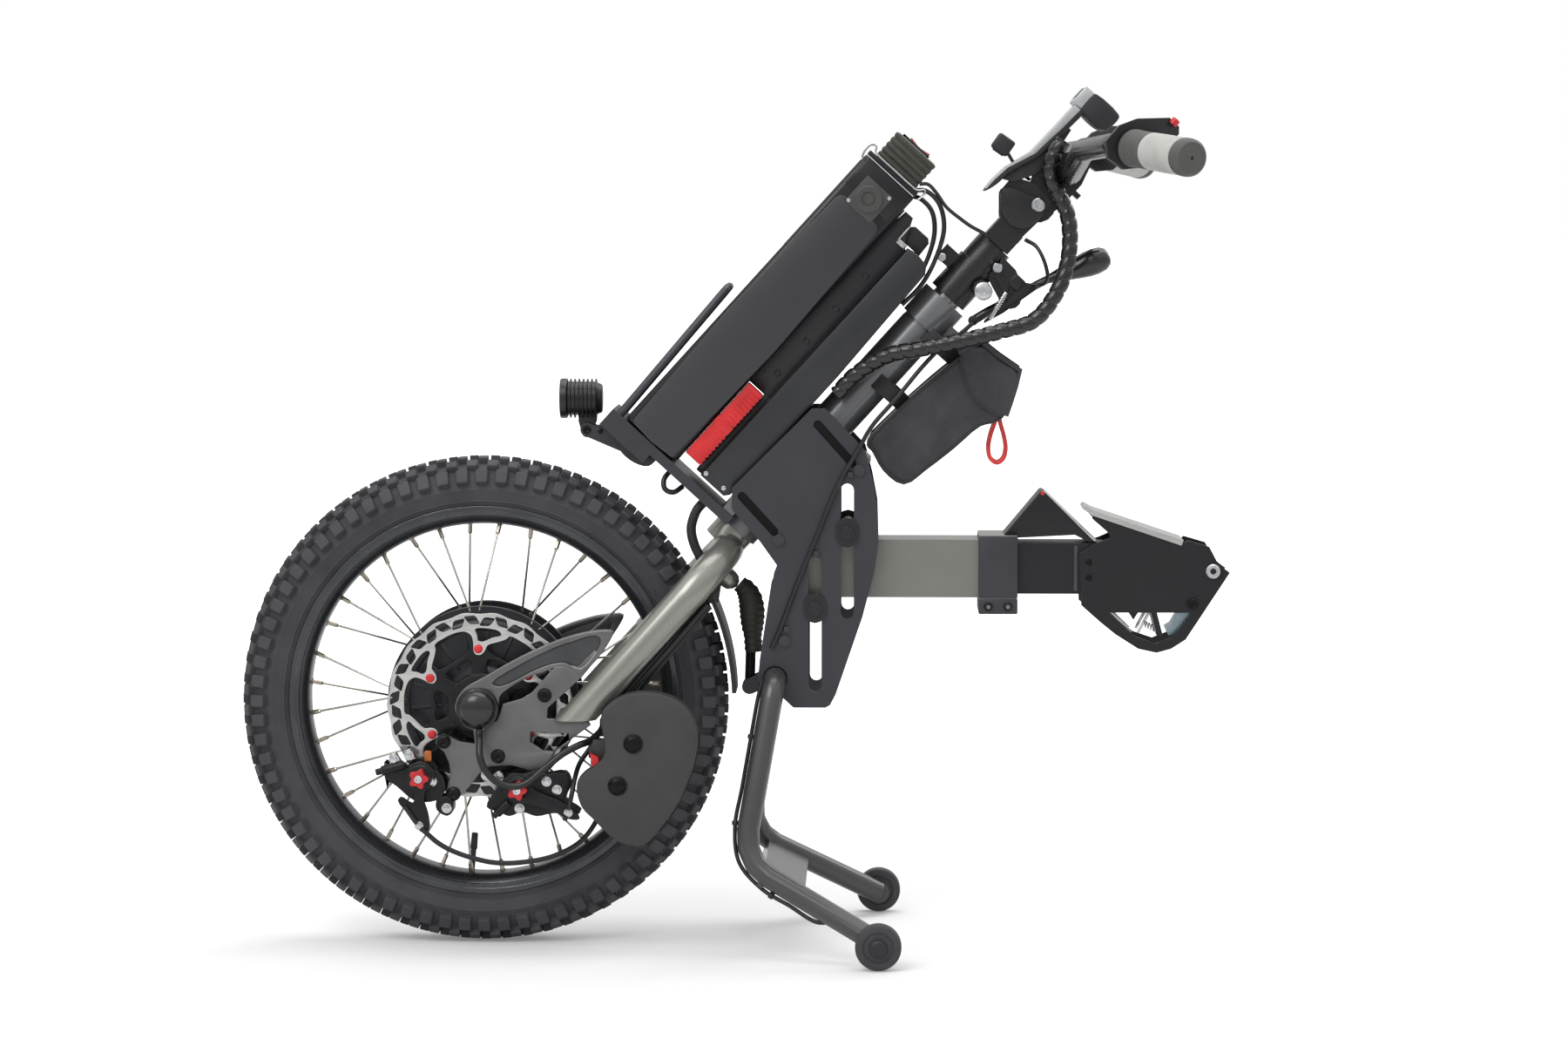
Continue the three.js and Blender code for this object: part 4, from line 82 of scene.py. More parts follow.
COLUMN_X = AXLE_LEAD * math.cos(STEERING_TILT)
COLUMN_Z = TYRE_RADIUS - AXLE_LEAD * math.sin(STEERING_TILT)
HEAD_X = COLUMN_X + HEAD_BASE * math.sin(STEERING_TILT)
HEAD_Z = COLUMN_Z + HEAD_BASE * math.cos(STEERING_TILT)
GROUND = frame_at(0, 0)
AXLE = frame_at(0, TYRE_RADIUS)
COLUMN = frame_at(COLUMN_X, COLUMN_Z, STEERING_TILT)
HEAD = frame_at(HEAD_X, HEAD_Z, STEERING_TILT)
LEVEL = frame_at(HEAD_X, HEAD_Z)


def linear(code):
    """An sRGB hex colour as linear red, green and blue."""
    shades = [int(code[i:i + 2], 16) / 255 for i in (1, 3, 5)]
    return [s / 12.92 if s <= 0.04045 else ((s + 0.055) / 1.055) ** 2.4 for s in shades]


# Lines and forms, in millimetres


def through(points, steps=8, closed=False):
    """Points of the centripetal Catmull-Rom curve through some points, as the CAD cords run."""
    held = [Vector(p) for p in points]
    if closed:
        spans = [held[-1], *held, held[0], held[1]]
    else:
        spans = [held[0] * 2 - held[1], *held, held[-1] * 2 - held[-2]]
    line = []
    for a, b, c, d in zip(spans, spans[1:], spans[2:], spans[3:]):
        tb = math.sqrt((b - a).length)
        tc = tb + math.sqrt((c - b).length)
        td = tc + math.sqrt((d - c).length)
        for k in range(steps):
            t = tb + (tc - tb) * k / steps
            ab = a.lerp(b, t / tb)
            bc = b.lerp(c, (t - tb) / (tc - tb))
            cd = c.lerp(d, (t - tc) / (td - tc))
            left = ab.lerp(bc, t / tc)
            right = bc.lerp(cd, (t - tb) / (td - tb))
            line.append(left.lerp(right, (t - tb) / (tc - tb)))
    if not closed:
        line.append(held[-1])
    return line


def evenly(line, pitch):
    """The same line with its points a pitch apart, and how long it is."""
    lengths = [0.0]
    for a, b in zip(line, line[1:]):
        lengths.append(lengths[-1] + (b - a).length)
    count = max(2, round(lengths[-1] / pitch))
    points = []
    span = 0
    for k in range(count + 1):
        want = lengths[-1] * k / count
        while span < len(line) - 2 and lengths[span + 1] < want:
            span += 1
        room = lengths[span + 1] - lengths[span]
        points.append(line[span].lerp(line[span + 1], (want - lengths[span]) / room))
    return points, lengths[-1]


def frames_along(line):
    """A tangent and two directions across it at each point of a line, without twist."""
    ends = [line[0] * 2 - line[1], *line, line[-1] * 2 - line[-2]]
    tangents = [(c - a).normalized() for a, c in zip(ends, ends[2:])]
    across = tangents[0].orthogonal().normalized()
    rows = []
    for k, tangent in enumerate(tangents):
        if k:
            across = tangents[k - 1].rotation_difference(tangent) @ across
        across = (across - tangent * across.dot(tangent)).normalized()
        rows.append((line[k], tangent, across, tangent.cross(across)))
    return rows


def loft(bm, rings, closed=False):
    """Joins rings of points into a skin, and closes its two ends."""
    rows = [[bm.verts.new(point) for point in ring] for ring in rings]
    for a, b in zip(rows, rows[1:] + (rows[:1] if closed else [])):
        for i in range(len(a)):
            bm.faces.new((a[i - 1], a[i], b[i], b[i - 1]))
    if not closed:
        bm.faces.new(rows[0])
        bm.faces.new(rows[-1])


def tube(bm, line, radius, sides=12, closed=False):
    """A round tube along a line; its radius is a number or one number for each point."""
    radii = radius if isinstance(radius, list) else [radius] * len(line)
    turns = [FULL_TURN * k / sides for k in range(sides)]
    rings = []
    for (middle, _, u, v), r in zip(frames_along(line), radii):
        rings.append([middle + (u * math.cos(t) + v * math.sin(t)) * r for t in turns])
    loft(bm, rings, closed)


def rod(bm, start, end, radius, sides=20, end_radius=None, ease=0.0):
    """A round bar from start to end, its ends eased if asked."""
    a, b = Vector(start), Vector(end)
    way = b - a
    place = Matrix.Translation((a + b) / 2) @ way.to_track_quat("Z", "Y").to_matrix().to_4x4()
    made = bmesh.ops.create_cone(
        bm, cap_ends=True, segments=sides, radius1=radius, depth=way.length, matrix=place,
        radius2=radius if end_radius is None else end_radius)
    if ease:
        caps = {f for v in made["verts"] for f in v.link_faces if len(f.verts) == sides}
        rims = list({e for f in caps for e in f.edges})
        bmesh.ops.bevel(bm, geom=rims, offset=ease, segments=2, profile=0.5,
                        affect="EDGES", material=-1, clamp_overlap=True)


def dome(bm, middle, way, radius, height, sides=24):
    """A round cap that bulges from a face."""
    profile = [(radius, 0.0), (radius, height * 0.3), (radius * 0.93, height * 0.62),
               (radius * 0.72, height * 0.88), (radius * 0.4, height * 0.98), (0.0, height)]
    lathe(bm, profile, middle, way, sides)


def lathe(bm, profile, middle, way, sides=48, closed=False):
    """A profile of radius and height, turned round an axis."""
    axis = Vector(way).normalized()
    side = axis.orthogonal().normalized()
    start = Vector(middle)
    spots = [bm.verts.new(start + side * r + axis * h) for r, h in profile]
    pairs = list(zip(spots, spots[1:] + (spots[:1] if closed else [])))
    chain = [bm.edges.new(pair) for pair in (pairs if closed else pairs[:len(spots) - 1])]
    bmesh.ops.spin(bm, geom=spots + chain, cent=start, axis=axis, angle=FULL_TURN,
                   steps=sides, use_merge=True)
    bmesh.ops.remove_doubles(bm, verts=bm.verts, dist=0.001)


def block(bm, low, high, ease=1.0, steps=2, turn=None):
    """A box between two corners with eased edges, which may then be turned and moved."""
    low, high = Vector(low), Vector(high)
    size = Matrix.Diagonal((*(high - low), 1.0))
    place = Matrix.Translation((low + high) / 2) @ size
    made = bmesh.ops.create_cube(bm, size=1.0, matrix=(turn or Matrix.Identity(4)) @ place)
    edges = list({e for v in made["verts"] for e in v.link_edges})
    if ease:
        bmesh.ops.bevel(bm, geom=edges, offset=ease, segments=steps, profile=0.5,
                        affect="EDGES", material=-1, clamp_overlap=True)


def area_of(points):
    """The signed area of an outline."""
    return sum(a[0] * b[1] - b[0] * a[1] for a, b in zip(points, points[1:] + points[:1])) / 2


def plate(bm, outlines, near, far, ease=0.6):
    """A flat piece cut to an outline with holes, in X and Z, between two planes across Y."""
    curve = bpy.data.curves.new("outline", "CURVE")
    curve.dimensions = "2D"
    curve.fill_mode = "BOTH"
    curve.extrude = abs(far - near) / 2 - ease
    curve.bevel_depth = ease
    curve.bevel_resolution = 1
    curve.offset = -ease
    for index, points in enumerate(outlines):
        points = [tuple(p)[:2] for p in points]
        if (area_of(points) > 0) == (index == 0):
            points.reverse()
        spline = curve.splines.new("POLY")
        spline.points.add(len(points) - 1)
        for spot, (x, z) in zip(spline.points, points):
            spot.co = (x, z, 0, 1)
        spline.use_cyclic_u = True
    holder = bpy.data.objects.new("outline", curve)
    mesh = bpy.data.meshes.new_from_object(holder)
    mesh.transform(Matrix.Translation((0, (near + far) / 2, 0)) @ Matrix.Rotation(math.pi / 2, 4, "X"))
    bm.from_mesh(mesh)
    bpy.data.meshes.remove(mesh)
    bpy.data.objects.remove(holder)
    bpy.data.curves.remove(curve)


def ring(x, z, radius, sides=24, start=0.0):
    """A round outline in X and Z."""
    turns = [start + FULL_TURN * k / sides for k in range(sides)]
    return [(x + math.cos(t) * radius, z + math.sin(t) * radius) for t in turns]


def rounded(points, steps=4):
    """A smooth closed outline through some points."""
    return [tuple(p) for p in through([(x, z) for x, z in points], steps, closed=True)]


def part(name, bm, place, body, finish, stands_for=(), crease=38):
    """Turns a form into a piece with a finish, named by its key, that rides on a body of the CAD."""
    bmesh.ops.remove_doubles(bm, verts=bm.verts, dist=0.0005)
    bmesh.ops.recalc_face_normals(bm, faces=bm.faces)
    mesh = bpy.data.meshes.new(name)
    bm.to_mesh(mesh)
    bm.free()
    mesh.transform(place)
    mesh.shade_smooth()
    mesh.set_sharp_from_angle(angle=math.radians(crease))
    mesh.materials.append(FINISHES[finish])
    piece = bpy.data.objects.new(name, mesh)
    bpy.context.scene.collection.objects.link(piece)
    if body:
        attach(piece, body)
    if stands_for:
        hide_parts(*stands_for)
    return piece


# Finishes


def add(tree, kind, links=None, **settings):
    """Adds a node with its settings, and values or links for its sockets."""
    node = tree.nodes.new(kind)
    for name, value in settings.items():
        setattr(node, name, value)
    for socket, value in (links or {}).items():
        if isinstance(value, bpy.types.NodeSocket):
            tree.links.new(value, node.inputs[socket])
        else:
            node.inputs[socket].default_value = value
    return node


def blank(name):
    """An empty material with its tree, shader and object coordinates in millimetres."""
    material = bpy.data.materials.new(name)
    material.use_nodes = True
    tree = material.node_tree
    tree.nodes.clear()
    shader = add(tree, "ShaderNodeBsdfPrincipled")
    add(tree, "ShaderNodeOutputMaterial", {"Surface": shader.outputs[0]})
    spot = add(tree, "ShaderNodeTexCoord").outputs["Object"]
    scaled = add(tree, "ShaderNodeMapping", {"Vector": spot, "Scale": (1 / MM, 1 / MM, 1 / MM)})
    return material, tree, shader, scaled.outputs[0]


def noise(tree, spot, size, detail=3.0):
    """Noise whose lumps are about size millimetres across."""
    return add(tree, "ShaderNodeTexNoise", {"Vector": spot, "Scale": 1 / size, "Detail": detail})


def blend_colours(tree, share, low, high):
    """A colour between two others."""
    mix = add(tree, "ShaderNodeMix", data_type="RGBA")
    mix.inputs[6].default_value = (*low, 1)
    mix.inputs[7].default_value = (*high, 1)
    tree.links.new(share, mix.inputs[0])
    return mix.outputs[2]


def ramp(tree, value, low, high, to_low=0.0, to_high=1.0):
    """A value moved from one range to another and held there."""
    return add(tree, "ShaderNodeMapRange", {
        "Value": value, "From Min": low, "From Max": high, "To Min": to_low, "To Max": to_high}).outputs[0]


def edge_share(tree, width):
    """How near an outside edge is, from the turn of an eased normal."""
    eased = add(tree, "ShaderNodeBevel", {"Radius": width * MM}, samples=4)
    plain = add(tree, "ShaderNodeNewGeometry")
    turn = add(tree, "ShaderNodeVectorMath", {0: eased.outputs[0], 1: plain.outputs["Normal"]},
               operation="DOT_PRODUCT")
    return ramp(tree, turn.outputs["Value"], 0.99, 0.86), eased.outputs[0]


def surface(name, code, metallic=0.0, roughness=0.5, grain=(0.8, 0.03), patches=(30.0, 0.12),
            edge=0.5, worn_edge_and_highlight=None, spread=0.08, **sockets):
    """A finish with patches of tone, a grain, eased edges and, if asked, edges in a second colour: real wear
    on most finishes, a painted highlight on the rim.
    """
    material, tree, shader, spot = blank(name)
    colour = linear(code)
    size, share = patches
    cloud = noise(tree, spot, size, 5.0).outputs[0]
    dark = [c * (1 - share) for c in colour]
    light = [min(1.0, c * (1 + share)) for c in colour]
    tint = blend_colours(tree, ramp(tree, cloud, 0.35, 0.65), dark, light)
    fine = noise(tree, spot, grain[0]).outputs[0]
    near_edge, eased = edge_share(tree, edge)
    # Edges take the second colour: real rubbing on most finishes, a painted highlight on the rim
    if worn_edge_and_highlight:
        rub_and_highlight = add(tree, "ShaderNodeMath", {0: near_edge, 1: ramp(tree, cloud, 0.35, 0.6, 0.25, 1.0)},
                  operation="MULTIPLY").outputs[0]
        mix = add(tree, "ShaderNodeMix", {0: rub_and_highlight, 6: tint, 7: (*linear(worn_edge_and_highlight), 1)}, data_type="RGBA")
        tint = mix.outputs[2]
    rough = ramp(tree, fine, 0.3, 0.7, roughness - spread, roughness + spread)
    bump = add(tree, "ShaderNodeBump", {"Strength": 1.0, "Distance": grain[1] * MM, "Height": fine,
                                        "Normal": eased})
    tree.links.new(tint, shader.inputs["Base Color"])
    tree.links.new(rough, shader.inputs["Roughness"])
    tree.links.new(bump.outputs[0], shader.inputs["Normal"])
    shader.inputs["Metallic"].default_value = metallic
    for socket, value in sockets.items():
        shader.inputs[socket.replace("_", " ")].default_value = value
    return material


def brushed(name, code, way, roughness=0.3, scratch=0.35, **sockets):
    """Metal with fine lines drawn one way, or round an axis if way is a point."""
    material, tree, shader, spot = blank(name)
    if isinstance(way, str):
        stretch = {"X": (0.02, 1, 1), "Z": (1, 1, 0.02)}[way]
        drawn = add(tree, "ShaderNodeMapping", {"Vector": spot, "Scale": stretch}).outputs[0]
    else:
        middle = [-v / MM for v in way]
        moved = add(tree, "ShaderNodeMapping", {"Vector": spot, "Location": middle}).outputs[0]
        flat = add(tree, "ShaderNodeVectorMath", {0: moved, 1: (1, 0, 1)}, operation="MULTIPLY").outputs[0]
        length = add(tree, "ShaderNodeVectorMath", {0: flat}, operation="LENGTH").outputs["Value"]
        drawn = add(tree, "ShaderNodeCombineXYZ", {"X": length}).outputs[0]
    lines = noise(tree, drawn, scratch, 2.0).outputs[0]
    cloud = noise(tree, spot, 22.0, 4.0).outputs[0]
    colour = linear(code)
    tint = blend_colours(tree, ramp(tree, lines, 0.3, 0.7), [c * 0.82 for c in colour],
                         [min(1, c * 1.1) for c in colour])
    rough = ramp(tree, cloud, 0.3, 0.7, roughness * 0.8, roughness * 1.25)
    eased = add(tree, "ShaderNodeBevel", {"Radius": 0.4 * MM}, samples=4)
    bump = add(tree, "ShaderNodeBump", {"Strength": 0.6, "Distance": 0.02 * MM, "Height": lines,
                                        "Normal": eased.outputs[0]})
    tree.links.new(tint, shader.inputs["Base Color"])
    tree.links.new(rough, shader.inputs["Roughness"])
    tree.links.new(bump.outputs[0], shader.inputs["Normal"])
    shader.inputs["Metallic"].default_value = 1.0
    for socket, value in sockets.items():
        shader.inputs[socket.replace("_", " ")].default_value = value
    return material


def woven(name, code, thread=0.9, roughness=0.8, sheen=0.25):
    """Coated nylon cloth: crossed threads, drawn coarse enough to show, and soft creases."""
    material, tree, shader, spot = blank(name)
    turned = add(tree, "ShaderNodeMapping", {"Vector": spot, "Rotation": (0, STEERING_TILT, 0)}).outputs[0]
    waves = []
    for axis in ("X", "Z"):
        wave = add(tree, "ShaderNodeTexWave", {
            "Vector": turned, "Scale": FULL_TURN / 20 / thread, "Distortion": 0.3}, bands_direction=axis)
        waves.append(wave.outputs["Fac"])
    cloth = add(tree, "ShaderNodeMath", {0: waves[0], 1: waves[1]}, operation="MULTIPLY").outputs[0]
    creases = noise(tree, spot, 26.0, 4.0).outputs[0]
    height = add(tree, "ShaderNodeMath", {0: creases, 1: 18.0, 2: cloth}, operation="MULTIPLY_ADD").outputs[0]
    colour = linear(code)
    # The colour follows the creases: painted shade darkens their hollows and a painted highlight lightens
    # their ridges
    tint = blend_colours(tree, ramp(tree, creases, 0.35, 0.65), [c * 0.78 for c in colour],
                         [c * 1.3 for c in colour])
    bump = add(tree, "ShaderNodeBump", {"Strength": 0.9, "Distance": 0.12 * MM, "Height": height})
    tree.links.new(tint, shader.inputs["Base Color"])
    tree.links.new(bump.outputs[0], shader.inputs["Normal"])
    tree.links.new(ramp(tree, cloth, 0, 1, roughness, roughness - 0.2), shader.inputs["Roughness"])
    shader.inputs["Sheen Weight"].default_value = sheen
    shader.inputs["Sheen Roughness"].default_value = 0.5
    return material


def make_finishes(colours):
    """Every finish on the object, by a short name."""
    wheel_middle = tuple(AXLE.translation)
    red = "#{:02x}{:02x}{:02x}".format(*(round(255 * c) for c in colours.red))
    return {
        # Butyl and carbon black rubber, moulded: matt, greyish, with a dry bloom
        "tyre_rubber": surface("Moulded tyre rubber", "#424145", 0, 0.66, (0.7, 0.05), (40, 0.16), 0.9,
                               "#55565a", Specular_IOR_Level=0.4),
        # Hub motor's shell, hard anodised black: satin with rubbed edges
        "anodised_black": surface("Hard anodised black aluminium", "#313235", 0.6, 0.33, (0.5, 0.006),
                                  (40, 0.1), 0.6, "#6a6b6e"),
        # Powder-coated steel and aluminium: deep black, satin, faint orange peel
        "powder_black": surface("Satin black powder coat", "#1c1d1f", 0.1, 0.32, (1.6, 0.02), (50, 0.1), 0.8,
                                "#3a3b3d", Specular_IOR_Level=0.5),
        # Drawn stainless spoke wire: bright with a warm grey
        "spoke_steel": brushed("Drawn stainless wire", "#b9b4ad", "X", 0.25),
        # Nickel-plated brass nipples: pale gold
        "nipple_brass": surface("Nickelled brass", "#aaa294", 1.0, 0.3, (0.5, 0.004), (4, 0.1), 0.1),
        # Warm grey metallic lacquer over steel tube: flakes under a clear coat
        "fork_lacquer": surface("Grey-green metallic lacquer", "#8f8f88", 0.6, 0.3, (0.5, 0.006), (60, 0.06),
                                0.5, None, 0.06, Coat_Weight=0.5, Coat_Roughness=0.12),
        "arm_lacquer": surface("Warm grey metallic lacquer", "#7f7f79", 0.5, 0.42, (0.6, 0.008), (70, 0.05),
                               1.2, None, 0.06, Coat_Weight=0.35, Coat_Roughness=0.25),
        # Forged aluminium dropouts, milled and bead-blasted: grey with bright edges
        "blasted_alloy": surface("Bead-blasted aluminium", "#6e6e6e", 0.8, 0.4, (0.5, 0.02), (35, 0.1), 1.1,
                                 "#b9b9b7"),
        "pocket_alloy": surface("Milled aluminium pocket", "#4f5052", 0.8, 0.4, (0.5, 0.02), (35, 0.1), 0.6,
                                "#8d8d8c"),
        # Die-cast caliper bodies, anodised black: satin, rubbed at the edges
        "cast_black": surface("Die-cast black aluminium", "#1c1d1f", 0.5, 0.38, (0.8, 0.03), (12, 0.2), 0.7,
                              "#6d6d6e"),
        # Ground stainless disc: lines round the axle
        "rotor_steel": brushed("Ground stainless disc", "#cbcac8", wheel_middle, 0.34, 0.5),
        # Machined bolts and bright parts
        "bright_steel": surface("Bright zinc-plated steel", "#c7c8ca", 1.0, 0.22, (0.5, 0.008), (6, 0.12),
                                0.3),
        "dark_bolt": surface("Black oxide steel", "#1b1b1d", 0.8, 0.3, (0.5, 0.01), (8, 0.15), 0.4,
                             "#77787a"),
        # Folded aluminium sheet, charcoal powder coat: fine dry texture
        "plate_charcoal": surface("Charcoal powder coat", "#38383e", 0.25, 0.46, (0.7, 0.02), (60, 0.07), 0.7,
                                  "#55565b"),
        # Sand-cast iron weights, dull paint
        "weight_paint": surface("Dull grey paint on cast iron", "#3c3c3c", 0.1, 0.62, (1.1, 0.05), (28, 0.08),
                                1.2, "#4f4f4f"),
        # Bent steel stand tube, dark olive lacquer: glossy with broad highlights
        "stand_lacquer": surface("Dark olive lacquer", "#454546", 0.25, 0.34, (0.8, 0.008), (60, 0.08), 0.6,
                                 "#6b6b64", Coat_Weight=0.4, Coat_Roughness=0.15),
        # ABS housings, spark-eroded mould texture
        "moulded_black": surface("Textured black ABS", "#202124", 0, 0.5, (0.6, 0.05), (25, 0.1), 0.7,
                                 "#3b3c3f"),
        # Aluminium extrusions and panels of the battery and controller: smooth satin coats
        "controller_coat": surface("Satin black extrusion", "#2b2c2f", 0.1, 0.33, (1.2, 0.012), (50, 0.1),
                                   0.9, "#3c3d40"),
        # Rolled aluminium rim, anodised black like the hub: a lighter copy of that black as painted sheen,
        # with light grey painted highlights along its edges
        "rim_painted_sheen": surface("Satin anodised rim with painted sheen", "#4a4b4e", 0.75, 0.28, (0.5, 0.006), (40, 0.1), 0.8,
                             "#9a9b9d"),
        # Painted shade: a near-black, matt, low-gloss finish for the sheets that fill the slanted slots of
        # the side plates
        "slot_shade_black": surface("Matt black painted slot shade", "#060607", 0, 0.7, (0.8, 0.03), (14, 0.1), 0.3,
                               Specular_IOR_Level=0.2),
        "case_black": surface("Satin black battery shell", "#131417", 0.1, 0.33, (1.2, 0.012), (50, 0.1), 0.9,
                              "#3c3d40"),
        "panel_grey": surface("Anodised grey side panel", "#39393c", 0.2, 0.42, (0.5, 0.01), (80, 0.06), 0.8,
                              "#77787a"),
        "olive_plastic": surface("Olive grey polyamide", "#3f3f38", 0, 0.5, (0.8, 0.03), (9, 0.16), 0.8,
                                 "#5c5c52"),
        "socket_grey": surface("Grey moulded socket", "#414140", 0, 0.5, (0.6, 0.04), (20, 0.1), 0.7,
                               "#5c5c5a"),
        "pale_film": surface("Silver printed overlay film", "#b9bbbc", 0.3, 0.3, (0.8, 0.008), (30, 0.08),
                             0.4),
        "column_steel": surface("Dark grey metallic coat", "#727375", 0.5, 0.36, (0.6, 0.001), (60, 0.05),
                                0.3, "#7a7b7d", Coat_Weight=0.3, Coat_Roughness=0.12),
        "gloss_black": surface("Gloss black bar coat", "#17181a", 0, 0.26, (2.0, 0.008), (40, 0.1), 0.5,
                               None, 0.04, Coat_Weight=0.3, Coat_Roughness=0.12),
        # Thermoplastic rubber grips: pale and dark zones, matt
        "grip_pale": surface("Pale grey grip rubber", "#b4b5b0", 0, 0.66, (0.8, 0.04), (18, 0.08), 0.8,
                             "#a5a6a4"),
        "grip_dark": surface("Dark grip rubber", "#545452", 0, 0.62, (0.8, 0.04), (18, 0.08), 0.8, "#565655"),
        "red_plastic": surface("Glossy red polycarbonate", red, 0, 0.34, (0.8, 0.01), (20, 0.12), 0.5,
                               "#f0605a", 0.06),
        "red_anodised": surface("Red anodised aluminium", "#c8343a", 0.45, 0.35, (0.5, 0.01), (8, 0.12), 0.3,
                                "#e88080"),
        # PVC cable jackets and polyethylene spiral wrap: black with sharp highlights
        "cable_jacket": surface("Black PVC jacket", "#17181a", 0, 0.36, (0.7, 0.012), (14, 0.12), 0.3, None,
                                0.06),
        "spiral_wrap": surface("Black polyethylene wrap", "#141517", 0, 0.24, (1.4, 0.01), (18, 0.1), 0.5,
                               "#55575c", 0.05, Coat_Weight=0.3),
        "braid": woven("Braided polyester sleeve", "#1e1f21", 1.2, 0.6, 0.1),
        # Olive-black neoprene boot
        "boot_rubber": surface("Olive black neoprene", "#2d2d27", 0, 0.6, (0.9, 0.05), (16, 0.12), 0.8,
                               "#44443c"),
        # Polyurethane-coated nylon bag cloth, bound edges and pull webbing
        "bag_cloth": woven("Coated nylon cloth", "#343438"),
        "bag_binding": woven("Nylon binding tape", "#232326", 1.3, 0.7, 0.15),
        "red_webbing": woven("Red polyester webbing", "#e3423f", 1.1, 0.65, 0.3),
        # Docking head: sheet stainless, plated hook, coated steel
        "stainless": brushed("Brushed stainless sheet", "#c9cbc8", "X", 0.24),
        "zinc": surface("Blue passivated zinc", "#8fa0a8", 0.9, 0.3, (1.0, 0.01), (9, 0.12), 0.4, "#c9d3d8"),
        "dock_black": surface("Black e-coat on steel", "#151519", 0.2, 0.4, (1.0, 0.02), (45, 0.1), 0.6,
                              "#3f4045"),
        # Clear covers of the lamp and the display, and an orange plug
        "lens": surface("Clear polycarbonate lens", "#cdd6dc", 0.1, 0.08, (3.0, 0.01), (12, 0.1), 0.3,
                        None, 0.03, Coat_Weight=1.0),
        "screen": surface("Hard-coated display glass", "#0c1013", 0, 0.07, (5.0, 0.004), (20, 0.1), 0.3,
                          None, 0.03, Coat_Weight=1.0),
        "amber": surface("Amber sealed connector", "#b9651f", 0, 0.4, (0.8, 0.02), (6, 0.1), 0.3),
    }


# The finishes of the CAD nodes that stay in sight
NODE_FINISHES = {
    "column_steel": ("head_tube",),
    "powder_black": ("stem_clamp", "mast", "tilt_head", "arm_bolt_upper", "arm_bolt_lower"),
    "fork_lacquer": ("fork",),
    "arm_lacquer": ("arm_tube",),
    "cast_black": ("damper_rod",),
    "gloss_black": ("handlebar",),
    "plate_charcoal": ("side_plate_near", "side_plate_far", "battery_tray"),
    "stand_lacquer": ("stand_legs",),
    "moulded_black": ("mudguard", "switch_housing_near", "switch_housing_far"),
    "red_plastic": ("rocker_switch", "throttle_button"),
    "dock_black": ("extension_tube", "dock_head"),
    "stainless": ("dock_ramp",),
    "zinc": ("dock_hook",),
}

FINISHES = {}


def weld_and_smooth():
    """A modifier tree that joins a CAD node's loose triangles and smooths its curved faces."""
    group = bpy.data.node_groups.new("Weld and smooth", "GeometryNodeTree")
    for way in ("INPUT", "OUTPUT"):
        group.interface.new_socket("Geometry", in_out=way, socket_type="NodeSocketGeometry")
    start = add(group, "NodeGroupInput").outputs[0]
    bare = add(group, "GeometryNodeRemoveAttribute", {"Geometry": start, "Name": "custom_normal"})
    welded = add(group, "GeometryNodeMergeByDistance", {"Geometry": bare.outputs[0], "Distance": 0.005 * MM})
    angle = add(group, "GeometryNodeInputMeshEdgeAngle").outputs[0]
    curved = add(group, "FunctionNodeCompare", {0: angle, 1: math.radians(38)},
                 data_type="FLOAT", operation="LESS_THAN").outputs[0]
    edges = add(group, "GeometryNodeSetShadeSmooth", {"Geometry": welded.outputs[0], "Shade Smooth": curved},
                domain="EDGE")
    faces = add(group, "GeometryNodeSetShadeSmooth", {"Geometry": edges.outputs[0], "Shade Smooth": True},
                domain="FACE")
    add(group, "NodeGroupOutput", {0: faces.outputs[0]})
    return group


# Settings


class HandcycleColours(bpy.types.PropertyGroup):
    """Colours that a user may change"""
    red: FloatVectorProperty(
        name="Red parts", description="Shade of the switch, connectors and adjusters as displayed",
        subtype="COLOR_GAMMA", size=3, min=0, max=1, default=(0.84, 0.15, 0.17))


class HandcycleSizes(bpy.types.PropertyGroup):
    """Sizes and counts that a user may change"""
    knob_count: IntProperty(
        name="Tyre knobs", description="Knobs in each row round the tyre", default=72, min=24, max=120)
    rotor_slots: IntProperty(
        name="Rotor slots", description="Slots in the brake band", default=36, min=12, max=60)
    wrap_pitch: FloatProperty(
        name="Spiral pitch", description="Distance between the turns of the harness wrap",
        subtype="DISTANCE", unit="LENGTH", default=0.0118, min=0.004, max=0.05)


class Maker:
    """What the operators share"""
    bl_options = {"REGISTER", "UNDO"}

    @property
    def sizes(self):
        return bpy.context.scene.handcycle_sizes


class HANDCYCLE_OT_finishes(Maker, bpy.types.Operator):
    """Makes the finishes and gives each CAD node its own"""
    bl_idname = "handcycle.finishes"
    bl_label = "Finishes"

    def execute(self, context):
        FINISHES.update(make_finishes(context.scene.handcycle_colours))
        smoother = weld_and_smooth()
        for finish, nodes in NODE_FINISHES.items():
            for name in nodes:
                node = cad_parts[name]
                node.material_slots[0].material = FINISHES[finish]
                node.modifiers.new("Weld and smooth", "NODES").node_group = smoother
        return {"FINISHED"}


# Wheel


def turn_about_axle(angle):
    """A turn round the wheel's axle, in its own frame."""
    return Matrix.Rotation(angle, 4, "Y")


def tread_knobs(bm, count):
    """Three rows of blocks on each side of the casing: shoulder, middle and crown."""
    rows = (
        # radius, offset across, lean, length round, width across, height, share of a pitch
        (217.4, 28.4, 60, 11.6, 14.0, 7.8, 0.0),
        (226.0, 19.6, 32, 10.4, 10.0, 9.6, 0.5),
        (229.4, 7.0, 8, 9.0, 11.0, 9.6, 0.0),
    )
    sunk = 2.0
    for radius, across, lean, length, width, height, share in rows:
        for side in (-1, 1):
            for k in range(count):
                angle = FULL_TURN * (k + share + (0.5 if side > 0 else 0) * (share == 0)) / count
                lift = Matrix.Rotation(-side * math.radians(lean), 4, "X")
                seat = Matrix.Translation((0, side * across, radius))
                low = (-length / 2, -width / 2, -sunk)
                high = (length / 2, width / 2, height - sunk)
                block(bm, low, high, 0.8, 1, turn_about_axle(angle) @ seat @ lift)


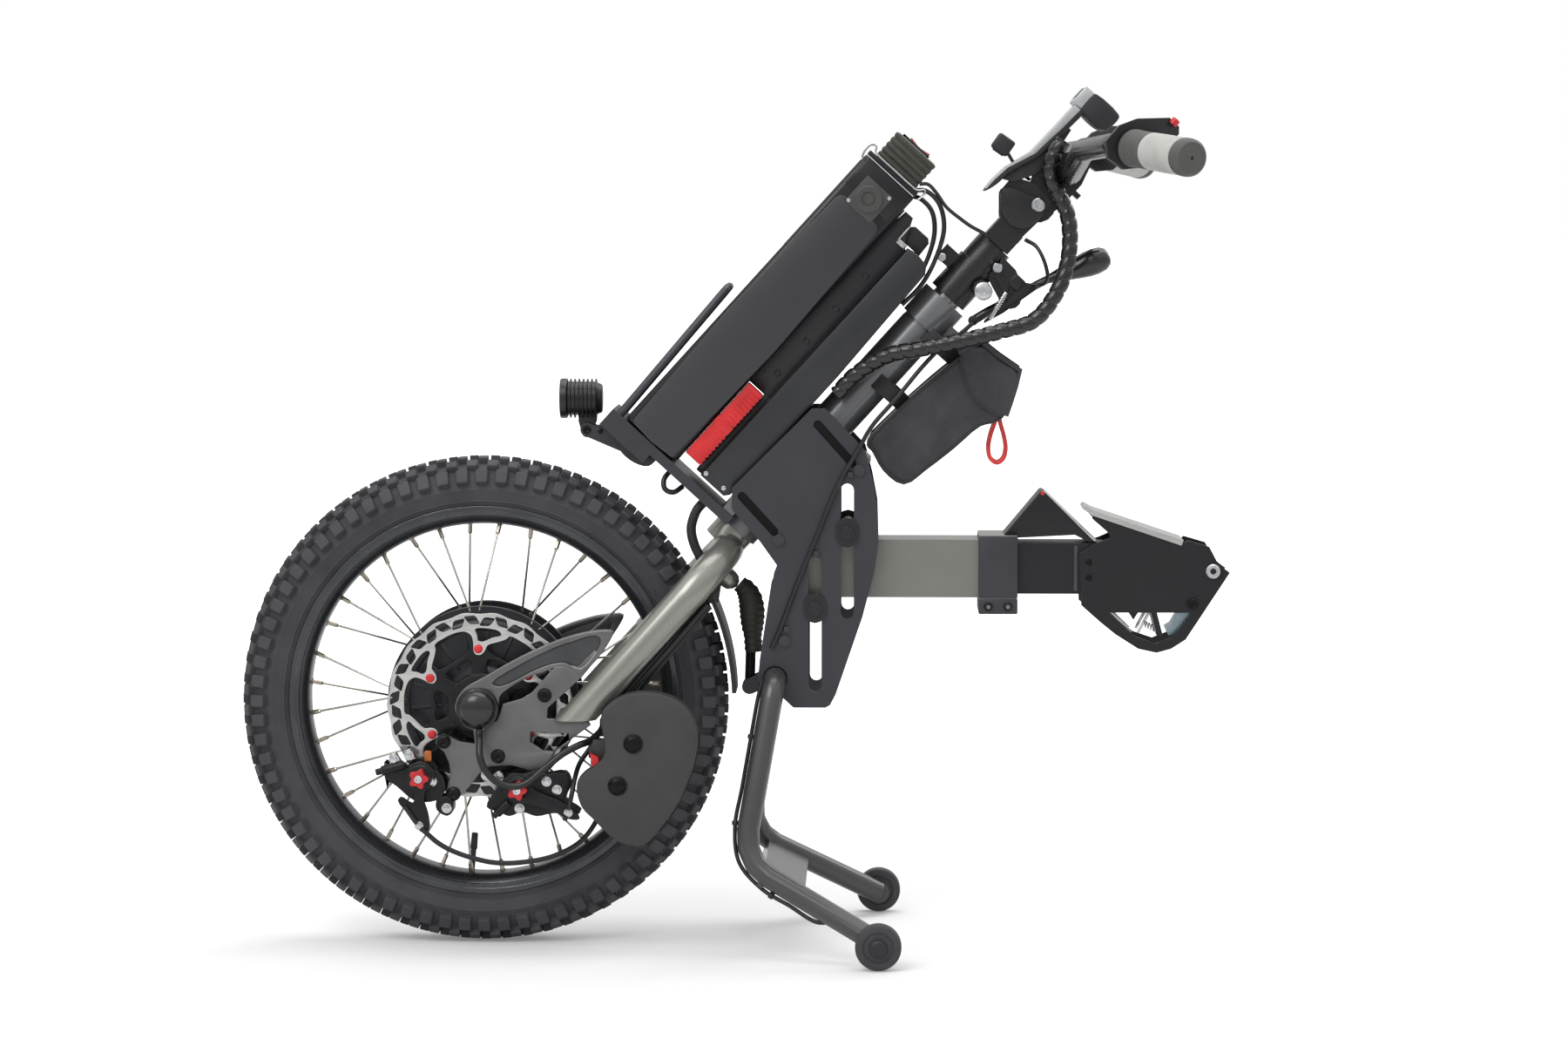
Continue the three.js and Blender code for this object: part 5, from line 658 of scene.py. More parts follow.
class HANDCYCLE_OT_tyre(Maker, bpy.types.Operator):
    """Builds the tyre: a smooth casing with moulded lines and rows of knobs"""
    bl_idname = "handcycle.tyre"
    bl_label = "Tyre"

    def execute(self, context):
        bm = bmesh.new()
        half = [(231.4, 0), (230.8, 9), (227.8, 18), (222.6, 25.4), (215.4, 29.6), (207, 30.6), (206, 31.2),
                (205, 30.4), (199, 28.6), (195.4, 26.6), (194.6, 27), (193.8, 25.6), (190.6, 23.6),
                (189, 20.6), (184, 20.2)]
        inner = [(184, 18), (193, 21), (206, 27), (218, 23), (227, 9)]
        outside = [(r, y) for r, y in half[::-1]] + [(r, -y) for r, y in half[1:]]
        inside = [(r, -y) for r, y in inner] + [(r, y) for r, y in inner[::-1]]
        lathe(bm, outside + inside, (0, 0, 0), (0, 1, 0), 144, closed=True)
        tread_knobs(bm, self.sizes.knob_count)
        part("knobbly_tyre", bm, AXLE, "wheel", "tyre_rubber", ("tyre",))
        return {"FINISHED"}


SPOKE_COUNT = 36


class HANDCYCLE_OT_rim(Maker, bpy.types.Operator):
    """Builds the rim, its laced spokes with nipples, the valve and the spoke magnet"""
    bl_idname = "handcycle.rim"
    bl_label = "Rim and spokes"

    def execute(self, context):
        bm = bmesh.new()
        half = [(171.4, 0), (171.6, 9), (173, 14), (176.6, 18.6), (180.4, 20.8), (180.8, 22.4), (184.4, 23.4),
                (184.8, 24), (189.4, 24), (190, 23.4), (190, 20.9), (185, 20.7), (183.2, 20.4)]
        outside = half[::-1] + [(r, -y) for r, y in half[1:]]
        lathe(bm, outside + [(178.4, -15), (178.4, 15)], (0, 0, 0), (0, 1, 0), 144, closed=True)
        # The rim's finish is the hub's anodised black painted lighter, with painted highlights on its edges
        part("rim", bm, AXLE, "wheel", "rim_painted_sheen", ("rim_and_spokes",))
        spokes, nipples = bmesh.new(), bmesh.new()
        for k in range(SPOKE_COUNT):
            angle = FULL_TURN * (k + 0.5) / SPOKE_COUNT
            side = 1 if k % 2 else -1
            skew = math.radians(7) * (1 if k % 4 < 2 else -1)
            inner = Vector((math.cos(angle + skew) * 89.4, side * 28.6, math.sin(angle + skew) * 89.4))
            outer = Vector((math.cos(angle) * 172.5, side * 5, math.sin(angle) * 172.5))
            way = (outer - inner).normalized()
            middle = inner.lerp(outer, 0.5)
            tube(spokes, [inner - Vector((0, side * 3.4, 0)), inner, inner + way * 2, middle, outer], 1.15, 8)
            rod(spokes, inner - Vector((0, side * 4.4, 0)), inner - Vector((0, side * 3.2, 0)), 2.1, 8)
            rod(nipples, outer - way * 11.5, outer - way * 10, 1.7, 8, 2.3)
            rod(nipples, outer - way * 10, outer + way * 1.5, 2.3, 6)
            rod(nipples, outer - way * 1.2, outer + way * 0.6, 3.6, 10, 3.2)
        part("spokes", spokes, AXLE, "wheel", "spoke_steel")
        part("nipples", nipples, AXLE, "wheel", "nipple_brass")
        bm = bmesh.new()
        rod(bm, (124.6, -17.5, -49.5), (124.6, -21.5, -49.5), 5.2, 20, ease=0.8)
        part("spoke_magnet", bm, AXLE, "wheel", "panel_grey")
        bm = bmesh.new()
        angle = FULL_TURN * 0.7361
        way = Vector((math.cos(angle), 0, math.sin(angle)))
        rod(bm, way * 173, way * 146, 2.7, 14)
        rod(bm, way * 150, way * 134, 3.6, 14, 3.1, ease=0.6)
        part("valve", bm, AXLE, "wheel", "cable_jacket")
        return {"FINISHED"}


def spun(x, z, angle):
    """A point turned round the origin."""
    return (x * math.cos(angle) - z * math.sin(angle), x * math.sin(angle) + z * math.cos(angle))


ROTOR_ARMS = 6


class HANDCYCLE_OT_rotor(Maker, bpy.types.Operator):
    """Builds the slotted brake rotor, its black spider and the red bolts"""
    bl_idname = "handcycle.rotor"
    bl_label = "Brake rotor"

    def execute(self, context):
        count = self.sizes.rotor_slots
        pitch = FULL_TURN / count
        arm_pitch = FULL_TURN / ROTOR_ARMS
        steps = 6 * count
        edge = []
        for k in range(steps):
            angle = FULL_TURN * k / steps
            edge.append(spun(89.3 + 0.9 * math.cos(angle * count / 2), 0, angle))
        outlines = [edge]
        for k in range(count):
            lean = 0.17 if k % 2 else -0.17
            r_in, r_out = (78.6, 87.2) if k % 2 else (76.8, 85.4)
            corners = [(r_in, -0.38 - lean), (r_in, 0.38 - lean), (r_out, 0.38 + lean), (r_out, -0.38 + lean)]
            cell = []
            for a, b in zip(corners, corners[1:] + corners[:1]):
                for share in (0.14, 0.86):
                    r = a[0] + (b[0] - a[0]) * share
                    cell.append(spun(r, 0, (k + 0.5 + a[1] + (b[1] - a[1]) * share) * pitch))
            outlines.append(cell)
        inner = []
        arm = [(73.4, -0.56), (73.0, -0.42), (68.6, -0.385), (64.0, -0.3), (58.5, -0.15), (53.0, -0.115),
               (49.4, -0.06), (48.6, 0.0), (49.6, 0.055), (53.0, 0.085), (60.0, 0.075), (68.0, 0.09),
               (72.4, 0.16), (73.6, 0.26), (73.8, 0.36)]
        phase = 0.5 + math.radians(1.5) / arm_pitch
        for k in range(ROTOR_ARMS):
            inner += [spun(r, 0, (k + t + phase) * arm_pitch) for r, t in arm]
        outlines.append(rounded(inner, 3))
        window = [(61.5, -0.06), (66.4, -0.2), (71.0, -0.31), (74.0, -0.27), (74.8, -0.12), (74.0, 0.03),
                  (68.0, 0.01), (63.0, 0.0)]
        for k in range(ROTOR_ARMS):
            cell = [spun(r, 0, (k + t + phase) * arm_pitch) for r, t in window]
            outlines.append(rounded(cell, 3))
        bm = bmesh.new()
        plate(bm, outlines, ROTOR_PLANE - 0.9, ROTOR_PLANE + 0.9, 0.25)
        part("slotted_rotor", bm, AXLE, "wheel", "rotor_steel", ("brake_rotor",))
        bm = bmesh.new()
        star, holes = [], []
        for k in range(ROTOR_ARMS):
            star += [spun(r, 0, (k + t + phase) * arm_pitch) for r, t in
                     ((60.4, -0.09), (61.8, 0.0), (60.4, 0.09), (52.0, 0.2), (48.6, 0.5), (52.0, 0.8))]
            holes.append(rounded([spun(r, 0, (k + t + phase) * arm_pitch) for r, t in (
                (30.0, 0.28), (44.0, 0.19), (44.5, 0.34), (42.0, 0.5), (44.5, 0.66), (44.0, 0.81),
                (30.0, 0.72))], 3))
        plate(bm, [rounded(star, 3), *holes], -58.6, -52.4, 1.0)
        plate(bm, [ring(0, 0, 30, 48)], -64.0, -46.4, 1.5)
        for k in range(ROTOR_ARMS):
            x, z = spun(54.6, 0, (k + phase) * arm_pitch)
            rod(bm, (x, -52, z), (x, -58.7, z), 6.6, 20, ease=0.7)
        part("rotor_spider", bm, AXLE, "wheel", "cast_black", ("rotor_carrier",))
        bm = bmesh.new()
        for k in range(ROTOR_ARMS):
            x, z = spun(54.6, 0, (k + phase) * arm_pitch)
            dome(bm, (x, -60.8, z), (0, -1, 0), 4.3, 2.6)
        part("rotor_bolts", bm, AXLE, "wheel", "red_plastic")
        return {"FINISHED"}


class HANDCYCLE_OT_hub(Maker, bpy.types.Operator):
    """Builds the hub motor: a ribbed shell with flanges and bolted covers"""
    bl_idname = "handcycle.hub"
    bl_label = "Hub motor"

    def execute(self, context):
        bm = bmesh.new()
        half = [(92.6, 29.0), (93.0, 28.2), (93.0, 25.6), (92.4, 25.0), (84.0, 25.0), (84.0, 18.0),
                (84.6, 17.0), (84.6, -17.0)]
        cover = [(7.5, 46.0), (25.0, 46.0), (26.0, 45.2), (35.0, 40.6), (36.0, 38.6), (70.0, 36.4),
                 (71.0, 37.6), (77.0, 37.2), (80.0, 35.4), (82.4, 30.0), (86.0, 29.0)]
        side = cover + half[:6]
        lathe(bm, side + [(r, -y) for r, y in side[::-1]], (0, 0, 0), (0, 1, 0), 96)
        for k in range(18):
            for sign in (-1, 1):
                angle = FULL_TURN * (k + 0.25) / 18
                place = turn_about_axle(angle) @ Matrix.Translation((0, sign * 37.2, 53.5))
                block(bm, (-1.4, -2.2, -15.5), (1.4, 2.2, 15.5), 0.8, 1, place)
        for k in range(8):
            for sign in (-1, 1):
                x, z = spun(75.0, 0, FULL_TURN * k / 8)
                rod(bm, (x, sign * 36, z), (x, sign * 39.6, z), 3.1, 12, ease=0.5)
        part("hub_shell", bm, AXLE, "wheel", "anodised_black", ("hub_motor",))
        return {"FINISHED"}


# Fork end


ARM_OUTLINE = [(-22, -2), (-21.5, 5), (-18, 13), (-11, 20.5), (7, 30.5), (33, 45.5), (60, 58.5), (86, 68.5),
               (112, 74.5), (130, 74), (124, 60), (108, 40), (96, 32), (86, 38), (76, 39.5), (64, 35),
               (48, 29.5), (30, 19), (21, 11), (20, 2), (14, -14), (0, -22), (-14, -17)]
ARM_POCKET = [(14, 24), (36, 39), (70, 56.5), (92, 64.5), (113, 70), (118, 66), (112, 52), (98, 38), (84, 44),
              (72, 43), (50, 34.5), (32, 25), (20, 21)]
FOOT_OUTLINE = [(-5, -20), (-3, -34.5), (-17, -32.5), (-26, -28.5), (-33, -25.4), (-39.5, -28), (-41, -34),
                (-37, -39.5), (-33, -43), (-28.5, -53), (-27, -64), (-30, -76), (-32.5, -83), (-29, -88.6),
                (-21, -89.6), (-16, -84), (-9, -76.5), (1, -63.5), (11, -56.5), (31, -55.5), (50, -60.5),
                (61, -62.5), (74, -41.5), (108, -16.5), (106, -13), (66, -10), (67, 0), (100, 30), (118, 52),
                (112, 56), (96, 40), (80, 44), (72, 38), (52, 15.5), (42, 9), (24, 4), (18, -12)]
FOOT_WINDOW = [(50, -23), (86, -24.5), (87, -33), (72, -42), (62, -41), (50, -33)]
FOOT_BOLTS = [(-33, -32.5), (-24, -83), (19, -46.5), (64, 12.5)]


class HANDCYCLE_OT_dropouts(Maker, bpy.types.Operator):
    """Builds the forged dropouts on both sides: arched arm, pocket, foot plate, bolts and axle caps"""
    bl_idname = "handcycle.dropouts"
    bl_label = "Dropouts"

    def execute(self, context):
        for side, name in ((-1, "near"), (1, "far")):
            flip = Matrix.Scale(-side, 4, (0, 1, 0))
            place = AXLE @ flip
            bm = bmesh.new()
            arm = rounded(ARM_OUTLINE, 3)
            pocket = rounded(ARM_POCKET, 3)
            plate(bm, [arm, pocket, ring(0, 0, 7.5, 24)], -83.0, -73.0, 1.3)
            plate(bm, [FOOT_OUTLINE, FOOT_WINDOW],
                  -82.2, -74.2, 1.0)
            part(f"dropout_arm_{name}", bm, place, "steering", "blasted_alloy",
                 (f"dropout_{name}",))
            bm = bmesh.new()
            plate(bm, [pocket], -80.6, -75.4, 0.4)
            part(f"dropout_pocket_{name}", bm, place, "steering", "pocket_alloy")
            bm = bmesh.new()
            for x, z in FOOT_BOLTS:
                rod(bm, (x, -82, z), (x, -82.9, z), 7.0, 24, ease=0.3)
                lathe(bm, [(0, 1.2), (2.6, 1.2), (2.9, 3.6), (4.7, 3.6), (5.3, 3.0), (5.3, 0)], (x, -82.6, z),
                      (0, -1, 0), 20)
            part(f"dropout_bolts_{name}", bm, place, "steering", "dark_bolt")
            bm = bmesh.new()
            lathe(bm, [(0, 20.4), (7, 20), (12.6, 18.2), (16.2, 15.2), (18, 11.4), (18.2, 9.6), (17.2, 9.0),
                       (17.2, 8.2), (19.4, 7.4), (20.2, 5.4), (20.2, 0), (0, 0)], (0, -83.4, 0), (0, -1, 0),
                       48)
            part(f"axle_cap_{name}", bm, place, "steering", "gloss_black",
                 ("axle",) if side < 0 else ())
        bm = bmesh.new()
        for x0, x1, r in ((-83.4, 83.4, 7.0), (46.3, 72.7, 11), (-59, -72.7, 11)):
            rod(bm, (0, x0, 0), (0, x1, 0), r, 24)
        part("axle_shaft", bm, AXLE, "steering", "bright_steel")
        return {"FINISHED"}


CALIPER_BODIES = (
    [(-90, -52), (-89, -57), (-84, -61), (-73, -58), (-66, -64), (-56, -66), (-47, -60), (-36, -66),
     (-34, -79), (-40, -88), (-40, -98), (-30, -104), (-24, -99), (-25, -88), (-30, -84), (-46, -88),
     (-60, -87), (-76, -74), (-86, -66)],
    [(8, -95), (16, -80), (22, -74), (31, -62), (45, -62), (53, -60), (60, -58), (64, -63), (84, -62),
     (89, -74), (84, -88), (98, -99), (96, -102), (72, -101), (56, -104), (42, -100), (30, -104), (20, -100)],
)
CALIPER_PLACES = ((-55.15, -65.73), (38.95, -76.45))
CALIPER_TUNNELS = (((-92, -60), (-70, -54)), ((18, -101), (30, -90)))
CALIPER_ARMS = (
    [(-66, -62), (-52, -58), (-48, -70), (-51, -86), (-47, -100), (-46, -116), (-52, -119), (-60, -111),
     (-66, -101), (-76, -88), (-73, -84), (-62, -90), (-60, -80)],
    [(30, -70), (44, -66), (54, -76), (66, -82), (80, -88), (96, -100), (98, -105), (88, -105), (74, -98),
     (60, -93), (46, -90), (34, -84)],
)


class HANDCYCLE_OT_calipers(Maker, bpy.types.Operator):
    """Builds the two disc calipers: cast bodies, red adjusters, chrome bolts and sprung arms"""
    bl_idname = "handcycle.calipers"
    bl_label = "Calipers"

    def execute(self, context):
        for index, name in enumerate(("front", "rear")):
            x, z = CALIPER_PLACES[index]
            slot = f"caliper_{name}"
            bm = bmesh.new()
            outline = rounded(CALIPER_BODIES[index], 3)
            plate(bm, [outline], -88.0, -63.2, 2.2)
            rod(bm, (x, -86, z), (x, -91.5, z), 14.6, 32, ease=1.2)
            rod(bm, (x, -91, z), (x, -96.5, z), 11.8, 32, ease=1.0)
            rod(bm, (x, -58.2, z), (x, -47, z), 15.5, 32, ease=1.6)
            plate(bm, [ring(x, z, 16.5, 32)], -72.5, -62.6, 0.6)
            (ax, az), (bx, bz) = CALIPER_TUNNELS[index]
            rod(bm, (ax, -90, az), (bx, -90, bz), 4.6, 18, ease=0.8)
            rod(bm, (ax + (ax - bx) * 0.25, -90, az + (az - bz) * 0.25), (ax, -90, az), 3.2, 14, ease=0.4)
            part(f"caliper_body_{name}", bm, AXLE, "steering", "cast_black", (slot,))
            bm = bmesh.new()
            turns = [FULL_TURN * k / 60 for k in range(60)]
            knob = [spun(8.4 + 1.5 * math.cos(5 * turn), 0, turn) for turn in turns]
            plate(bm, [[(x + u, z + v) for u, v in knob]], -107.0, -98.0, 1.2)
            part(f"caliper_knob_{name}", bm, AXLE, "steering", "red_anodised")
            bm = bmesh.new()
            rod(bm, (x, -98.2, z), (x, -96.0, z), 6.2, 24)
            lathe(bm, [(0, 0.4), (1.7, 0.4), (2.0, 1.6), (3.6, 1.6), (4.0, 1.0), (4.0, 0)], (x, -106.8, z),
                  (0, -1, 0), 20)
            spots = ((-80, -49), (-66, -45), (-44, -70), (-30, -96)) if index == 0 else (
                (20, -66), (8, -64), (66, -70), (76, -78), (40, -96))
            for u, v in spots:
                rod(bm, (u, -89.4, v), (u, -87, v), 5.0, 20, ease=0.5)
                rod(bm, (u, -92.6, v), (u, -89, v), 3.4, 6, ease=0.3)
            for u, v in spots[:2]:
                rod(bm, (u - 3, -78, v + 4), (u + 3, -78, v - 6), 4.6, 18, ease=0.8)
            part(f"caliper_bolts_{name}", bm, AXLE, "steering", "bright_steel")
            arm = f"caliper_arm_{name}"
            bm = bmesh.new()
            outline = rounded(CALIPER_ARMS[index], 3)
            plate(bm, [outline, ring(x, z, 7.4, 24)], -97.6, -92.2, 1.0)
            part(f"{arm}_lever", bm, AXLE, arm, "cast_black", (arm,))
            bm = bmesh.new()
            u, v = ((-55.5, -111.5), (87.5, -98.5))[index]
            rod(bm, (u, -99.8, v), (u, -91.6, v), 4.4, 18, ease=0.5)
            rod(bm, (u, -102.4, v), (u, -99.2, v), 3.2, 6, ease=0.3)
            part(f"{arm}_clamp", bm, AXLE, arm, "bright_steel")
        bm = bmesh.new()
        block(bm, (-52, -83, -52), (-45, -76, -42), 1.2, 2)
        part("pad_wear_tag", bm, AXLE, "steering", "amber")
        return {"FINISHED"}


KIDNEY = [(136, 12.5), (152, 17.5), (172, 17.6), (190, 12), (204, 0), (211, -24), (208, -50), (203, -65),
          (192, -90), (174, -115), (164, -126), (155, -130), (140, -128), (128, -121), (112, -105),
          (101, -93.5), (96, -78), (97, -67), (104, -58.5), (116, -51), (122, -42), (122, -28), (119, -12),
          (121, 0)]


class HANDCYCLE_OT_weights(Maker, bpy.types.Operator):
    """Builds the kidney-shaped ballast weights with their domed bolts"""
    bl_idname = "handcycle.weights"
    bl_label = "Ballast weights"

    def execute(self, context):
        for side, name in ((-1, "near"), (1, "far")):
            place = AXLE @ Matrix.Scale(-side, 4, (0, 1, 0))
            bm = bmesh.new()
            plate(bm, [rounded(KIDNEY, 4)], -102.6, -84.4, 3.0)
            block(bm, (106, -84.6, -48), (132, -72.6, -30), 1.2)
            part(f"weight_{name}", bm, place, "steering", "weight_paint",
                 (f"ballast_{name}",))
            bm = bmesh.new()
            for x, z in ((150, -31.5), (135, -72)):
                dome(bm, (x, -102.4, z), (0, -1, 0), 8.2, 4.4)
                rod(bm, (x, -101.8, z), (x, -103.2, z), 9.6, 28, ease=0.4)
            part(f"weight_bolts_{name}", bm, place, "steering", "dark_bolt")
            bm = bmesh.new()
            plate(bm, [[(108, -42), (116, -46), (119, -60), (112, -74), (106, -70), (110, -58)]], -92, -84.6,
                  1.0)
            part(f"weight_tag_{name}", bm, place, "steering", "red_plastic")
        return {"FINISHED"}


# Cords


HARNESS_ROUTE = [(-16.5, -34, 165), (-16, -38, 190), (-6, -48, 225), (12, -54, 250), (30, -56, 274),
                 (58, -54, 315), (75, -52, 345), (72, -50, 382), (58, -46, 412), (34, -42, 438),
                 (12, -41, 449), (-6, -42, 456), (-17, -44, 472), (-20, -45, 490)]
HARNESS_RADIUS = 8.0
HARNESS_PARTS = (
    # name, share of the route, bodies it turns between, where the turn starts and ends as shares
    ("harness_low", 0.0, 0.56, "frame", "steering", 0.04, 0.55),
    ("harness_middle", 0.56, 0.78, "steering", "mast", 0.58, 0.76),
    ("harness_top", 0.78, 1.0, "mast", "handlebar_head", 0.8, 0.97),
)


class HANDCYCLE_OT_harness(Maker, bpy.types.Operator):
    """Builds the wiring harness in its spiral wrap, in three lengths"""
    bl_idname = "handcycle.harness"
    bl_label = "Wiring harness"

    def execute(self, context):
        line, length = evenly(through(HARNESS_ROUTE, 24), 1.2)
        pitch = self.sizes.wrap_pitch / MM
        frames = frames_along(line)
        last = len(line) - 1
        for name, start, end, before, after, low, high in HARNESS_PARTS:
            first, final = round(start * last), round(end * last)
            bm = bmesh.new()
            rings = []
            for k in range(first, final + 1):
                middle, _, u, v = frames[k]
                along = length * k / last
                points = []
                for i in range(14):
                    angle = FULL_TURN * i / 14
                    turn = (along / pitch - i / 14) % 1.0
                    swell = 1.0 if 0.1 < turn < 0.94 else 0.0
                    bow = 0.3 * math.sin(math.pi * min(1.0, max(0.0, (turn - 0.1) / 0.84)))
                    r = HARNESS_RADIUS - 1.3 + 0.9 * swell + bow
                    points.append(middle + (u * math.cos(angle) + v * math.sin(angle)) * r)
                rings.append(points)
            loft(bm, rings)
            piece = part(name, bm, HEAD, None, "spiral_wrap", ("harness",), 50)
            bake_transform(piece)
        return {"FINISHED"}


CORDS = (
    # name, node, place, radius, body, route
    ("motor_cable_cord", "motor_cable", AXLE, 3.4, "steering",
     [(2, -92, -18.8), (2, -92.5, -23), (3, -100, -31), (4, -107, -43), (8, -109, -54), (18, -109, -66),
      (34, -109, -72), (48, -108, -69), (62, -105, -58), (82, -100, -42), (98, -93, -34), (108, -82, -31),
      (122, -69, -18), (138, -66, 4), (193, -66, 68), (219, -64, 98.2)]),
    ("brake_cord_front", "brake_cable_front", AXLE, 2.4, "steering",
     [(-69, -98.5, -93), (-57, -98.5, -110), (-47, -98.5, -120), (-36, -99, -129), (-18, -99, -138),
      (16, -98, -147), (45, -94, -147), (74, -84, -142), (100, -70, -128), (120, -61, -95), (133, -59, -50),
      (142, -59, -6), (197, -59, 66), (222, -58, 95.6)]),
    ("brake_cord_rear", "brake_cable_rear", AXLE, 2.4, "steering",
     [(84, -98.5, -106), (88, -98.5, -94), (91, -98.5, -80), (93, -90, -68), (97, -74, -54), (108, -66, -38),
      (120, -62, -16), (136, -60.5, 8), (190, -60, 70), (217, -58, 100)]),
    ("stand_cable_cord", "stand_cable", LEVEL, 2.2, "frame",
     [(229, -34, 201), (217, -38, 191), (203, -43, 182), (182, -44.5, 161), (157, -50, 131),
      (132, -50.5, 102), (120, -50.5, 81), (99, -50.5, 44), (82, -50.5, 2), (61, -50.5, -49),
      (44, -50.5, -94), (36, -50.5, -112)]),
)
CONDUIT_ROUTE = [(-41, -30, -0.2), (-40.5, -30, -10), (-33, -29, -26), (-20, -29, -36), (-4, -30, -42),
                 (10, -36, -45), (22, -50, -51), (27, -62, -62)]
HEAD_LEADS = (
    # name, radius, body, route
    ("switch_lead_upper", 2.3, "frame",
     [(-93, -27, 359), (-85, -29, 366), (-68, -31, 366), (-48, -31, 352), (-33, -31, 322), (-27, -31, 296),
      (-28, -31, 270)]),
    ("switch_lead_lower", 2.3, "frame",
     [(-93, -18, 352), (-84, -21, 357), (-68, -24, 356), (-52, -24, 343), (-39, -25, 318), (-33, -26, 292),
      (-34, -26, 270)]),
    ("connector_lead", 2.6, "frame",
     [(-85, -26, 2), (-84, -30, -9), (-77, -33, -15), (-69, -32, -12), (-66, -27, -2)]),
)
LEVER_LEAD = [(18, -24, 396), (30, -33, 398), (44, -38, 393), (56, -36, 385), (59.5, -28, 379),
              (58, -21, 374), (52, -17, 369)]
STEM_LEAD = [(422, 738), (430, 738), (438, 730), (448, 716), (460, 706), (471, 698), (482, 692), (489, 688)]


class HANDCYCLE_OT_cords(Maker, bpy.types.Operator):
    """Builds the motor, brake, stand and switch cables and the braided conduit"""
    bl_idname = "handcycle.cords"
    bl_label = "Cables"

    def execute(self, context):
        for name, node, place, radius, body, route in CORDS:
            bm = bmesh.new()
            line, _ = evenly(through(route, 12), 3.0)
            tube(bm, line, radius, 14)
            part(name, bm, place, body, "cable_jacket", (node,))
        bm = bmesh.new()
        line, _ = evenly(through(CONDUIT_ROUTE, 16), 0.9)
        radii = [5.0 - 0.55 * (k % 2) for k in range(len(line))]
        tube(bm, line, radii, 18)
        piece = part("conduit_sleeve", bm, HEAD, None, "braid", ("fork_conduit",), 60)
        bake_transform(piece)
        for name, radius, body, route in HEAD_LEADS:
            bm = bmesh.new()
            line, _ = evenly(through(route, 12), 3.0)
            tube(bm, line, radius, 12)
            part(name, bm, HEAD, body, "cable_jacket")
        bm = bmesh.new()
        line, _ = evenly(through(LEVER_LEAD, 12), 2.5)
        tube(bm, line, 1.9, 12)
        piece = part("lever_cable", bm, HEAD, None, "cable_jacket")
        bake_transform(piece)
        bm = bmesh.new()
        line, _ = evenly(through([(x, -31, z) for x, z in STEM_LEAD], 12), 2.5)
        tube(bm, line, 1.8, 12)
        piece = part("stem_lead", bm, GROUND, None, "cable_jacket")
        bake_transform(piece)
        bm = bmesh.new()
        for x, y, z in ((-55, -29, 2), (-48, -29.5, 4)):
            rod(bm, (x, y, z), (x + 2, y, z + 5), 4.4, 16, ease=0.6)
        part("conduit_band", bm, HEAD, "frame", "moulded_black")
        return {"FINISHED"}


# Soft pieces


BAG_SIDE = [(372, 488), (377, 482), (388, 463), (407, 450), (428, 464), (455, 485), (481, 507), (496, 511),
            (503, 516), (510, 533), (517, 556), (502, 567), (481, 583), (470, 577), (455, 567), (426, 543),
            (397, 516)]


